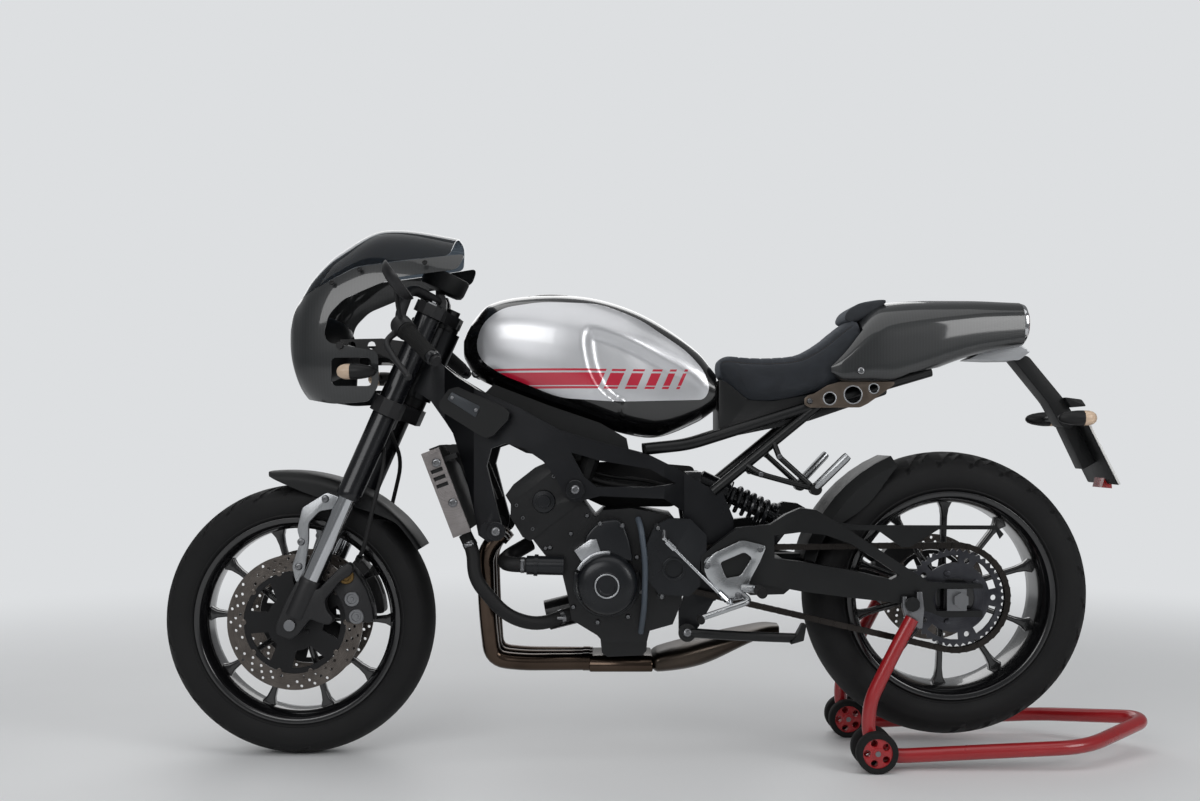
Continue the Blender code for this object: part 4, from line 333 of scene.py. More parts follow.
def slab(outline, low, high, holes=(), ease=0.0, segments=2):
    """Plate in the XZ plane between two places along Y, pierced by holes, its rims eased."""
    bm = bmesh.new()
    for ring in (outline, *holes):
        verts = [bm.verts.new((x, low, z)) for x, z in ring]
        for a, b in zip(verts, verts[1:] + verts[:1]):
            bm.edges.new((a, b))
    if holes:
        bmesh.ops.triangle_fill(bm, use_beauty=True, use_dissolve=False, edges=bm.edges)
    else:
        bm.faces.new(bm.verts)
    rim = [e for e in bm.edges if e.is_boundary]
    grown = bmesh.ops.extrude_face_region(bm, geom=bm.faces[:] + bm.edges[:] + bm.verts[:])
    top = corners(grown)
    bmesh.ops.translate(bm, verts=top, vec=(0, high - low, 0))
    bmesh.ops.recalc_face_normals(bm, faces=bm.faces)
    if ease:
        bm.normal_update()
        rims = [e for e in bm.edges if len(e.link_faces) == 2
            and abs(e.verts[0].co.y - e.verts[1].co.y) < 1e-7 and any(abs(f.normal.y) < 0.5
            for f in e.link_faces)]
        bmesh.ops.bevel(bm, geom=rims, offset=ease, affect="EDGES", segments=segments, profile=0.5,
            material=-1, clamp_overlap=True)
    return bm


def polar(centre, rows):
    """Places (x, z) about a centre from (radius, angle) rows."""
    return [(centre.x + r * cos(a), centre.z + r * sin(a)) for r, a in rows]


def circle(x, z, radius, count=24, turn=0.0):
    """Outline of a round hole or disc."""
    return [(x + radius * cos(2 * pi * k / count + turn), z + radius * sin(2 * pi * k / count + turn))
        for k in range(count)]


# gloss stove enamel on cast aluminium: deep black under a clear skin, faint orange peel
rim_enamel = coat("stove_enamelled_rim", "#0B0B0D", "#101012", 0.22, 0.1, 2.2, 0.06, 0.7, 0.4)
# tyre rubber: carbon-black compound, matt, with a dusty bloom on the walls
tyre_rubber = coat("vulcanised_tyre_rubber", "#0B0B0C", "#161617", 0.72, 0.0, 1.1, 0.35, 0.0, 0.3)


def cast_wheel(name, node, body, half, spoke_y, phase, hub):
    """Rim, hub and spokes of one wheel."""
    centre = middle_of(node)
    flank = [(RIM_LIP_R - 0.0012, half), (RIM_LIP_R, half - 0.0012), (RIM_LIP_R, half - 0.0045),
        (RIM_SEAT_R + 0.001, half - 0.0055), (RIM_SEAT_R - 0.001, half * 0.72), (RIM_INNER_R + 0.006,
        half * 0.48)]
    inside = [(RIM_INNER_R, half * 0.3), (RIM_INNER_R + 0.0015, half * 0.66), (RIM_INNER_R + 0.01,
        half - 0.008), (RIM_INNER_R + 0.0135, half - 0.002), (RIM_INNER_R + 0.0165, half)]
    section = flank + [(r, -y) for r, y in reversed(flank)]
    section += [(r, -y) for r, y in reversed(inside)] + inside
    ring = spun(section, centre)
    barrel = spun(hub, centre, 48)
    arms = bmesh.new()
    for way in (-1, 1):
        inner = Vector(((HUB_R - 0.008) * cos(way * radians(12)), (HUB_R - 0.008) * sin(way * radians(12))))
        outer = Vector(((RIM_INNER_R + 0.004) * cos(way * radians(17)),
            (RIM_INNER_R + 0.004) * sin(way * radians(17))))
        along = outer - inner
        square = Vector((-along.y, along.x)).normalized()
        widths = ((0, 0.014), (0.1, 0.0095), (0.24, 0.007), (0.5, 0.006), (0.8, 0.0066), (0.9, 0.0092),
            (0.96, 0.0145), (1, 0.02))
        left = [inner + along * t + square * w for t, w in widths]
        right = [inner + along * t - square * w for t, w in widths]
        arm = slab([tuple(p) for p in left + right[::-1]], spoke_y - 0.0115, spoke_y + 0.0115, (), 0.0042,
            3)
        arms = joined(arms, arm)
    bmesh.ops.rotate(arms, verts=arms.verts, cent=(0, 0, 0), matrix=Matrix.Rotation(-phase, 3, "Y"))
    repeated(arms, SPOKE_PAIRS, (0, 0, 0))
    bmesh.ops.translate(arms, verts=arms.verts, vec=centre)
    made = finished(name, joined(ring, barrel, arms), body, rim_enamel, (node,), 40)
    return eased(made, 0.0008, 2, 40)


cast_wheel("front_wheel_casting", "front_rim", "front_wheel", 0.052, 0.0, radians(20), [(0.0131, 0.0668),
    (0.04, 0.0668), (0.044, 0.064), (0.044, 0.056), (HUB_R + 0.002, 0.042), (HUB_R, 0.03), (HUB_R, -0.03),
    (HUB_R + 0.002, -0.042), (0.044, -0.056), (0.044, -0.064), (0.04, -0.0668), (0.0131, -0.0668)])
cast_wheel("rear_wheel_casting", "rear_rim", "rear_wheel", 0.078, 0.0, radians(2), [(0.0131, -0.0968),
    (0.038, -0.0968), (0.04, -0.094), (0.04, -0.08), (HUB_R, -0.055), (HUB_R, 0.045), (0.05, 0.056),
    (0.068, 0.065), (0.07, 0.068), (0.07, 0.1055), (0.0131, 0.1055)])

TREAD_PITCHES = 26  # the groove pattern repeats this often round a tyre
GROOVE_DEPTH = 0.0032


def tyre(name, node, body, half_rim, radius, width, grooves):
    """Radial road tyre: plain walls, a round crown and slanting grooves that fade at the shoulders."""
    centre = middle_of(node)
    half = width / 2
    shoulder = radius - half * 0.55
    crown = []
    for k in range(19):
        angle = pi * k / 18 * 0.86 + pi * 0.07
        crown.append((shoulder + (radius - shoulder) * sin(angle), half * cos(angle)))
    lengths = [0.0]
    for (r0, y0), (r1, y1) in zip(crown, crown[1:]):
        lengths.append(lengths[-1] + sqrt((r1 - r0) ** 2 + (y1 - y0) ** 2))
    total = lengths[-1]
    pitch = 2 * pi / TREAD_PITCHES
    bm = bmesh.new()  # one pitch laid flat: x is the angle round the tyre, y the way across from 0 to 1
    bmesh.ops.create_grid(bm, x_segments=4, y_segments=18, size=0.5)
    bmesh.ops.translate(bm, verts=bm.verts, vec=(0.5, 0.5, 0))
    for start, end, foot, lean, wide in grooves:
        for mirror_side in (False, True):
            for shift in (-2, -1, 0, 1, 2):
                for edge in (0, wide):
                    a = Vector((foot + edge + shift, start, 0))
                    b = Vector((foot + edge + shift + lean, end, 0))
                    if mirror_side:
                        a = Vector((a.x + 0.5, 1 - a.y, 0))
                        b = Vector((b.x + 0.5, 1 - b.y, 0))
                    low, high = sorted((a.y, b.y))
                    run = (b - a).normalized()
                    near = [f for f in bm.faces if low - 0.06 < f.calc_center_median().y < high + 0.06]
                    geom = set(near)
                    for f in near:
                        geom.update(f.edges)
                        geom.update(f.verts)
                    bmesh.ops.bisect_plane(bm, geom=list(geom), dist=1e-6, plane_co=a,
                        plane_no=(-run.y, run.x, 0))
    sunk = []
    for face in bm.faces:
        x, y, _ = face.calc_center_median()
        for start, end, foot, lean, wide in grooves:
            for mirror_side in (False, True):
                px, py = (x - 0.5, 1 - y) if mirror_side else (x, y)
                if start < py < end:
                    left = foot + lean * (py - start) / (end - start)
                    if (px - left) % 1.0 < wide:
                        sunk.append(face)
    sunk = list(dict.fromkeys(sunk))
    grown = bmesh.ops.extrude_face_region(bm, geom=sunk)
    floor_verts = corners(grown)
    bmesh.ops.translate(bm, verts=floor_verts, vec=(0, 0, -1))
    first = bm.verts[:] + bm.edges[:] + bm.faces[:]
    for k in range(1, TREAD_PITCHES):
        copy = bmesh.ops.duplicate(bm, geom=first)
        verts = corners(copy)
        bmesh.ops.translate(bm, verts=verts, vec=(k, 0, 0))
    for vert in bm.verts:
        share = min(max(vert.co.y, 0), 1) * total
        i = min(max(sum(1 for x in lengths if x <= share) - 1, 0), len(crown) - 2)
        t = (share - lengths[i]) / (lengths[i + 1] - lengths[i])
        r = crown[i][0] * (1 - t) + crown[i + 1][0] * t
        y = crown[i][1] * (1 - t) + crown[i + 1][1] * t
        out = Vector((r - shoulder + 0.02, y * 0.5)).normalized()
        r += out.x * vert.co.z * GROOVE_DEPTH
        y += out.y * vert.co.z * GROOVE_DEPTH
        angle = vert.co.x * pitch
        vert.co = (r * cos(angle), y, r * sin(angle))
    bmesh.ops.remove_doubles(bm, verts=bm.verts, dist=2e-5)
    bmesh.ops.translate(bm, verts=bm.verts, vec=centre)
    bmesh.ops.recalc_face_normals(bm, faces=bm.faces)
    wall = [(RIM_SEAT_R + 0.0003, half_rim - 0.0063), (RIM_LIP_R + 0.0003, half_rim - 0.0043),
        (RIM_LIP_R + 0.0022, half_rim - 0.0005), (RIM_LIP_R + 0.0055, half_rim + 0.0018),
        (RIM_LIP_R + 0.0075, half_rim + 0.0012)]
    middle = (RIM_LIP_R + shoulder) / 2
    swell = (half_rim + half) / 2 + 0.004
    end_r, end_y = crown[0]
    wall += [(RIM_LIP_R + 0.0105, half_rim + 0.003), (middle, min(swell, half - 0.0015)),
        ((middle + end_r) / 2, min((swell + end_y) / 2 + 0.0022, half - 0.0002)),
        (end_r - 0.004, end_y + 0.0004), (end_r, end_y)]
    wall = [(r, y) for r, y in wall if r <= end_r]
    walls = spun(wall, centre, TREAD_PITCHES * 4, False)
    other = spun([(r, -y) for r, y in wall], centre, TREAD_PITCHES * 4, False)
    inner = spun([wall[0], (RIM_SEAT_R + 0.0003, -wall[0][1])], centre, TREAD_PITCHES * 4, False)
    whole = closed_up(joined(bm, walls, other, inner), 2e-5)
    return finished(name, whole, body, tyre_rubber, (node,), 38)


# start and end across the tyre, place round it, slant and width of each groove, in shares
ROAD_GROOVES = ((0.06, 0.42, 0.1, 0.62, 0.085), (0.16, 0.34, 0.62, 0.3, 0.07))
tyre("front_road_tyre", "front_tyre", "front_wheel", 0.052, 0.3, 0.12, ROAD_GROOVES)
tyre("rear_road_tyre", "rear_tyre", "rear_wheel", 0.078, 0.315, 0.178, ROAD_GROOVES)

# -------------------- brake discs and sprocket
# Stainless rotors ground flat and drilled in three rows, each on a black carrier with floating
# bobbins, and a hardened steel sprocket of 45 teeth bolted to the rear hub.


def turned_metal(name, centre, dark, light, roughness, metallic=1.0, rings_mm=0.9):
    """Metal finished on a lathe or grinder: fine circles about an axle along Y."""
    made = bare_material(name)
    where = add(made, "TexCoord").outputs
    from_axle = add(made, "VectorMath", {0: where["Object"], 1: (centre.x, 0, centre.z)},
        operation="SUBTRACT")
    flat = add(made, "VectorMath", {0: from_axle, 1: (1, 0, 1)}, operation="MULTIPLY")
    radius = add(made, "VectorMath", {0: flat}, operation="LENGTH")
    cuts = add(made, "Math", {0: radius.outputs["Value"], 1: 1000 / rings_mm}, operation="MULTIPLY")
    lines = add(made, "TexNoise", {"W": cuts, "Scale": 1.0, "Detail": 3.0}, noise_dimensions="1D")
    patch = add(made, "TexNoise", {"Vector": where["Object"], "Scale": 22.0, "Detail": 3.0})
    both = add(made, "Math", {0: lines, 1: patch}, operation="ADD")
    share = add(made, "MapRange", {0: both, 1: 0.7, 2: 1.3})
    colour = add(made, "Mix", {0: share, 6: linear(dark), 7: linear(light)}, data_type="RGBA")
    rough = add(made, "MapRange", {0: lines, 1: 0.3, 2: 0.7, 3: roughness * 0.8, 4: roughness * 1.25})
    relief = add(made, "Bump", {"Height": lines, "Strength": 0.25, "Distance": 0.0003})
    shader = add(made, "BsdfPrincipled", {"Base Color": colour.outputs[2], "Roughness": rough,
        "Metallic": metallic, "Normal": relief})
    add(made, "OutputMaterial", {"Surface": shader})
    return made


# anodised carrier: satin black over turned aluminium
carrier_black = coat("black_anodised_carrier", "#121213", "#1A1A1C", 0.38, 0.5, 1.2, 0.15)


def rotor(name, node, body, radius, band, arms):
    """Drilled rotor, its carrier and the bobbins between them."""
    centre = middle_of(node)
    low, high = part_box(node)
    y0, y1 = low.y, high.y
    holes = []
    rows = (0.22, 0.5, 0.78)
    count = 30 if radius > 0.13 else 24
    for i, share in enumerate(rows):
        r = radius - band * share
        for k in range(count):
            if (k + i) % 5 == 4:
                continue
            hole = polar(centre, [(r, 2 * pi * (k + i / 3) / count)])[0]
            holes.append(circle(*hole, 0.0034, 10))
    holes.append(circle(centre.x, centre.z, radius - band, 64))
    ring = slab(circle(centre.x, centre.z, radius, AROUND), y0 + 0.0002, y1 - 0.0002, holes)
    # ground stainless steel: warm grey with fine circles from the stone, and darker than bare steel with
    # painted shade
    ground = turned_metal(name + "_ground_steel_painted_shade", centre, "#4E4946", "#716B66", 0.3)
    made = finished(name, ring, body, ground, (node,), 30)
    windows = []
    inner_r = radius - band - 0.0045
    for k in range(arms):
        a = 2 * pi * (k + 0.5) / arms
        half = pi / arms * 0.6
        outer = [(inner_r * 0.93, a + half * t) for t in (-1, -0.5, 0, 0.5, 1)]
        inner = [(inner_r * 0.58, a + half * t) for t in (0.72, 0, -0.72)]
        windows.append(polar(centre, outer + inner))
    windows.append(circle(centre.x, centre.z, 0.0252, 32))
    middle = (y0 + y1) / 2
    carrier = slab(circle(centre.x, centre.z, inner_r + 0.0035, 60), middle - 0.0024, middle + 0.0024,
        windows)
    bobbins = slab(circle(centre.x + inner_r + 0.004, centre.z, 0.0062, 16), y0 - 0.0006, y1 + 0.0006, (),
        0.0008)
    repeated(bobbins, arms * 2, centre)
    bolts = slab(circle(centre.x + 0.034, centre.z, 0.0055, 6), y0 - 0.0012, y1 + 0.0012, (), 0.0006)
    repeated(bolts, arms, centre)
    finished(name + "_carrier", joined(carrier, bolts), body, carrier_black, (), 30)
    finished(name + "_bobbins", bobbins, body, ground, (), 30)
    return made


rotor("front_rotor_left", "front_disc_left", "front_wheel", 0.149, 0.036, 5)
rotor("front_rotor_right", "front_disc_right", "front_wheel", 0.149, 0.036, 5)
rotor("rear_rotor", "rear_disc", "rear_wheel", 0.1225, 0.036, 5)

CHAIN_PITCH = 0.015875
REAR_TEETH = 45
PITCH_R = CHAIN_PITCH / (2 * sin(pi / REAR_TEETH))
sprocket_centre = middle_of("rear_sprocket")
tooth = []
for k in range(REAR_TEETH):
    for share, r in ((-0.09, 0.0), (0.09, 0.0), (0.22, -0.0022), (0.36, -0.005), (0.5, -0.0056),
            (0.64, -0.005), (0.78, -0.0022)):
        tooth.append((PITCH_R - 0.0078 + r, 2 * pi * (k + share) / REAR_TEETH))
windows = []
for k in range(5):
    a = 2 * pi * k / 5
    outer = [(0.0915, a + radians(t)) for t in (-23, -12, 0, 12, 23)]
    inner = [(0.0755, a + radians(t)) for t in (23, 12, 0, -12, -23)]
    windows.append(polar(sprocket_centre, outer + inner))
    b = a + pi / 5
    windows.append(circle(sprocket_centre.x + 0.083 * cos(b), sprocket_centre.z + 0.083 * sin(b), 0.0062,
        16))
windows.append(circle(sprocket_centre.x, sprocket_centre.z, 0.0425, 40))
low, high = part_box("rear_sprocket")
wheel_sprocket = slab(polar(sprocket_centre, tooth), low.y, high.y, windows)
# case-hardened steel: dark grey, turned
sprocket_steel = turned_metal("case_hardened_sprocket", sprocket_centre, "#35353A", "#55565A", 0.36)
finished("rear_toothed_sprocket", wheel_sprocket, "rear_wheel", sprocket_steel,
    ("rear_sprocket",), 30)
nuts = slab(circle(sprocket_centre.x + 0.055, sprocket_centre.z, 0.0072, 6), high.y - 0.001,
    high.y + 0.005, (), 0.0008)
repeated(nuts, 5, sprocket_centre)
finished("sprocket_nuts", nuts, "rear_wheel", sprocket_steel, (), 30)

# -------------------- tank and side panels
# Pressed steel tank in gloss black, with a shaped alloy panel screwed to each side. The panels are
# silver lacquer with a red chequered band under the clear coat. The filler lid is hinged at its front.


def mm(points):
    """Points given in millimetres, in metres."""
    return [tuple(value / 1000 for value in point) for point in points]


# x, top, bottom, half width
TANK_STATIONS = mm([(430, 930, 880, 45), (410, 966, 846, 76), (372, 1002, 822, 116), (282, 1020, 786, 144),
    (170, 1019, 748, 149), (80, 998, 715, 135), (0, 961, 706, 111), (-90, 896, 740, 90),
    (-128, 848, 766, 74)])
TANK_CORNER = 2.7
PANEL_PROUD = 0.009
KNEE_FRONT = mm([(96, 782), (126, 801), (143, 822), (160, 861), (168, 903)])
KNEE_TOP = mm([(-114, 809), (-75, 848), (-11, 882), (53, 916), (113, 940), (168, 952)])
KNEE_DEPTH = 0.017
PANEL_OUTLINE = mm([(398, 905), (385, 950), (342, 986), (256, 999), (128, 996), (42, 964), (-62, 894),
    (-100, 850), (-112, 812), (-100, 788), (96, 783), (214, 791), (342, 842), (385, 872)])
PANEL_EDGE_R = 0.0045
BAND = (0.8179, 0.8448)
THIN_LINES = [(0.8107, 0.8158), (0.8487, 0.8534)]
BAND_END = 0.117
SLANT = -0.45
CHEQUERS = mm([(105, 75), (59.3, 33.6), (16.5, -4.9), (-21.1, -35.7), (-52.8, -60.4)])


def flowing(stations, x):
    """Values at x on smooth curves through rows of (x, value, ...)."""
    rows = sorted(stations)
    x = min(max(x, rows[0][0]), rows[-1][0])
    last = len(rows) - 1
    i = max(k for k in range(last) if rows[k][0] <= x)
    gap = rows[i + 1][0] - rows[i][0]
    t = (x - rows[i][0]) / gap

    def slope(k, value):
        a, b = rows[max(k - 1, 0)], rows[min(k + 1, last)]
        return (b[value] - a[value]) / (b[0] - a[0]) * gap

    values = []
    for k in range(1, len(rows[0])):
        values.append((2 * t**3 - 3 * t**2 + 1) * rows[i][k] + (t**3 - 2 * t**2 + t) * slope(i,
            k) + (3 * t**2 - 2 * t**3) * rows[i + 1][k] + (t**3 - t**2) * slope(i + 1, k))
    return values


def ramp(t):
    """Smooth rise from 0 to 1."""
    t = min(max(t, 0.0), 1.0)
    return t * t * (3 - 2 * t)


def hollow(x, z):
    """How far the rider's knee recess goes in: deepest behind its front crease, fading rearwards."""
    front = flowing([(b, a) for a, b in KNEE_FRONT], z)[0]
    top = flowing(KNEE_TOP, x)[0]
    return KNEE_DEPTH * ramp((front - x) / 0.03) * ramp((top - z) / 0.034) * (0.25 + 0.75
        * ramp((x + 0.11) / 0.2))


def tank_side(x, z, grow=0.0):
    """Half width of the tank at a place on its side."""
    high, low, half = flowing(TANK_STATIONS, x)
    middle = (high + low - grow * 0.8) / 2
    reach = min(abs(z - middle) / ((high - low + grow * 1.2) / 2), 0.999)
    return (half + grow) * (1 - reach**TANK_CORNER) ** (1 / TANK_CORNER) - hollow(x, z)


def wrapped(along, around, place):
    """Skin laid on a form: a grid whose points go to place(u, v), its open ends closed flat."""
    bm = bmesh.new()
    bmesh.ops.create_grid(bm, x_segments=along, y_segments=around, size=0.5)
    for vert in bm.verts:
        vert.co = place(vert.co.x + 0.5, vert.co.y + 0.5)
    bmesh.ops.remove_doubles(bm, verts=bm.verts, dist=1e-6)
    bmesh.ops.holes_fill(bm, edges=[e for e in bm.edges if e.is_boundary], sides=0)
    bmesh.ops.recalc_face_normals(bm, faces=bm.faces)
    return bm


def settled(holder):
    """Mesh of an object as its modifiers or its curve make it."""
    bpy.context.view_layer.update()
    return bpy.data.meshes.new_from_object(holder.evaluated_get(bpy.context.evaluated_depsgraph_get()))


def carved(bm, tool, operation="DIFFERENCE"):
    """Shape with a tool's shape cut out of it, joined to it, or kept as the common part."""
    held = []
    for shape in (bm, tool):
        mesh = bpy.data.meshes.new("held")
        shape.to_mesh(mesh)
        shape.free()
        held.append(set_out("held", mesh))
    cut = held[0].modifiers.new("cut", "BOOLEAN")
    cut.object = held[1]
    cut.operation = operation
    cut.solver = "EXACT"
    made = settled(held[0])
    out = bmesh.new()
    out.from_mesh(made)
    bpy.data.meshes.remove(made)
    for old in held:
        mesh = old.data
        bpy.data.objects.remove(old)
        bpy.data.meshes.remove(mesh)
    return out


def bent(before, here, after, radius, steps):
    """Points of the rounded corner at a place between two others."""
    back, on = before - here, after - here
    reach = min(radius, back.length * 0.48, on.length * 0.48)  # neighbouring corners never meet
    start, end = here + back.normalized() * reach, here + on.normalized() * reach
    shares = [k / steps for k in range(steps + 1)]
    return [start * (1 - t) ** 2 + here * (2 * t * (1 - t)) + end * t**2 for t in shares]


def softened(outline, radius, steps=4):
    """Closed outline with its corners rounded."""
    points = [Vector(p) for p in outline]
    soft = []
    for before, here, after in zip(points[-1:] + points[:-1], points, points[1:] + points[:1]):
        soft += [tuple(p) for p in bent(before, here, after, radius, steps)]
    return soft


def turned_up(points, centre, steps=64):
    """Round shape about an upright line, from a section of (radius, height) points."""
    bm = spun(points, (0, 0, 0), steps, closed=points[0][0] > 0)
    bmesh.ops.rotate(bm, verts=bm.verts, cent=(0, 0, 0), matrix=Matrix.Rotation(pi / 2, 3, "X"))
    bmesh.ops.translate(bm, verts=bm.verts, vec=centre)
    return bm


def oval(v, half, low, high, corner):
    """Place (y, z) on a squared oval; v runs once round it, and 2 is a true oval."""
    c, s = cos(2 * pi * v), sin(2 * pi * v)
    return (half * abs(c) ** (2 / corner) * (1 if c > 0 else -1), (high + low) / 2 + (high - low) / 2
        * abs(s) ** (2 / corner) * (1 if s > 0 else -1))


def tank_place(u, v):
    """Place on the tank's skin: u from its nose to its tail, v round it."""
    x = 0.43 - 0.558 * u
    high, low, half = flowing(TANK_STATIONS, x)
    y, z = oval(v, half, low, high, TANK_CORNER)
    dent = hollow(x, z) * min(abs(y) / half, 1)
    return Vector((x, y - dent if y > 0 else y + dent, z))


def stripe_cells():
    """Painted areas of the band as (low z, high z, rear x, front x), their x taken at z 0.845."""
    cells = []
    for low, high in [BAND] + THIN_LINES:
        cells.append((low, high, BAND_END, 0.6))
        for front, rear in CHEQUERS:
            cells.append((low, high, rear, front))
    return cells


def side_panel(side):
    """Alloy panel: rolled edges, the tank's own flow, and its band cut into the mesh."""
    bm = bmesh.new()
    drop = bm.verts.layers.float.new("drop")
    middle = bm.faces.new([bm.verts.new((x, 0, z)) for x, z in softened(PANEL_OUTLINE, 0.026, 6)])
    steps = 5
    done = 0.0
    for k in range(steps + 1):
        run = PANEL_EDGE_R * (1 - cos(pi / 2 * k / steps))
        for vert in middle.verts:
            vert[drop] = PANEL_EDGE_R * (1 - sin(pi / 2 * k / steps))
        if k < steps:
            step = PANEL_EDGE_R * (1 - cos(pi / 2 * (k + 1) / steps)) - run
            bmesh.ops.inset_region(bm, faces=[middle], thickness=step, use_even_offset=True)
        done = run
    inside = [middle]
    cuts = [((x / 1000, 0, 0), (1, 0, 0)) for x in range(-108, 398, 6)]
    cuts += [((0, 0, z / 1000), (0, 0, 1)) for z in range(788, 998, 6)]
    for place, across in cuts:
        near = {f for f in inside if f.is_valid}
        parts = list(near) + list({e for f in near for e in f.edges}) + list({v for f in near
            for v in f.verts})
        split = bmesh.ops.bisect_plane(bm, geom=parts, dist=1e-6, plane_co=place, plane_no=across)
        inside = [g for g in split["geom"] if isinstance(g, bmesh.types.BMFace)]
    lines = [((0, 0, z), (0, 0, 1)) for pair in [BAND] + THIN_LINES for z in pair]
    lines += [((x, 0, 0.845), (1, 0, -SLANT)) for x in [BAND_END] + [x for pair in CHEQUERS for x in pair]]
    for place, across in lines:
        bmesh.ops.bisect_plane(bm, geom=bm.faces[:] + bm.edges[:] + bm.verts[:], dist=1e-6, plane_co=place,
            plane_no=across)
    cells = stripe_cells()
    for face in bm.faces:
        at = face.calc_center_median()
        x = at.x - SLANT * (at.z - 0.845)
        face.material_index = int(any(a < at.z < b and c < x < d for a, b, c, d in cells))
    for vert in bm.verts:
        vert.co.y = tank_side(vert.co.x, vert.co.z, PANEL_PROUD) - vert[drop]
    rim = [e for e in bm.edges if e.is_boundary]
    wall = bmesh.ops.extrude_edge_only(bm, edges=rim)
    bmesh.ops.translate(bm, verts=corners(wall), vec=(0, -0.01, 0))
    bmesh.ops.scale(bm, verts=bm.verts, vec=(1, side, 1))
    bmesh.ops.recalc_face_normals(bm, faces=bm.faces)
    face = max(bm.faces, key=lambda f: f.calc_center_median().y * side)
    if face.normal.y * side < 0:
        bmesh.ops.reverse_faces(bm, faces=bm.faces)
    return bm


# silver lacquer: aluminium flake in a warm grey base under a clear coat
silver_lacquer = coat("silver_flake_lacquer", "#C4C5C8", "#D8D9DC", 0.36, 0.75, 0.45, 0.03, 1.0, 0.4)
# red lacquer: solid pigment under the same clear coat
red_lacquer = coat("red_band_lacquer", "#B21030", "#C01436", 0.32, 0.1, 0.45, 0.02, 1.0, 0.4)
# black tank lacquer: deep solid black under a polished clear coat
black_lacquer = coat("black_tank_lacquer", "#070708", "#0B0B0C", 0.2, 0.0, 0.9, 0.015, 1.0, 0.4)
for side, word in ((1, "left"), (-1, "right")):
    finished("side_panel_" + word, side_panel(side), "chassis",
        [silver_lacquer, red_lacquer], ("tank_panel_" + word,))
CAP = Vector((0.236, 0, 0))
tank = wrapped(96, 80, tank_place)
tank = carved(tank, turned_up(mm([(0, 1013), (55.5, 1013), (56.5, 1060), (0, 1060)]), CAP))
tank = carved(tank, turned_up(mm([(0, 965), (29, 965), (29, 1060), (0, 1060)]), CAP))
finished("tank_shell", tank, "chassis", black_lacquer, ("fuel_tank",))
# black anodising on the turned ring round the cap: satin and metallic
finished("filler_ring", turned_up(mm([(30, 1013.2), (54, 1013.2), (54, 1014.8), (53, 1015.8), (31, 1015.8),
    (30, 1014.8)]), CAP), "chassis", coat("anodised_filler_ring", "#1B1C1E", "#232426",
    0.34, 0.7, 0.5, 0.05))
lid = turned_up(mm([(0, 1013.6), (42.5, 1013.6), (43.6, 1014.6), (43.6, 1020.6), (42.8, 1022.2),
    (40.8, 1022.9), (37.2, 1022.6), (35.5, 1021.4), (12, 1021.4), (10.5, 1022.2), (0, 1022.2)]), CAP)
hinge = bmesh.new()
bmesh.ops.create_cube(hinge, size=1)
bmesh.ops.scale(hinge, verts=hinge.verts, vec=(0.013, 0.018, 0.0065))
bmesh.ops.bevel(hinge, geom=hinge.edges[:], offset=0.0015, affect="EDGES", segments=3, profile=0.5,
    material=-1)
bmesh.ops.translate(hinge, verts=hinge.verts, vec=(0.2835, 0, 1.0192))
finished("filler_lid", joined(lid, hinge), "fuel_cap", black_lacquer, ("fuel_cap",))

# -------------------- seat and pad
# Single seat and a small back pad: foam on a plastic base under a dark napped cover. The cover is
# sewn along both shoulders with a raised thread, and quilted across with shallow channels.
# x, top, bottom, half width
SEAT_STATIONS = mm([(-132, 878, 842, 72), (-150, 886, 822, 85), (-196, 882, 780, 104),
    (-250, 881, 778, 112), (-310, 888, 790, 116), (-360, 914, 806, 118), (-405, 950, 830, 116),
    (-440, 974, 870, 108)])
PAD_OUTLINE = mm([(-409, 966), (-416, 985), (-441, 1001), (-498, 1010), (-506, 1006), (-470, 976),
    (-440, 962), (-420, 958)])
STITCH = 0.0055
SEAM_DROP = 0.014  # how far the seams lie below the top of the seat


def oval_stack(rings, around=64):
    """Skin through rings across the machine: (x, half width, low, high, squareness) each."""
    def place(u, v):
        x, half, low, high, corner = rings[round(u * (len(rings) - 1))]
        return Vector((x, *oval(v, half, low, high, corner)))
    return wrapped(len(rings) - 1, around, place)


def seat_rings(inside, step=0.006):
    """Rings of the seat's form, drawn in by a distance."""
    rings = []
    x = -0.132 - inside
    while x > -0.44 + inside:
        high, low, half = flowing(SEAT_STATIONS, x)
        rings.append((x, half - inside, low + inside, high - inside, 3.2))
        x -= step
    return rings


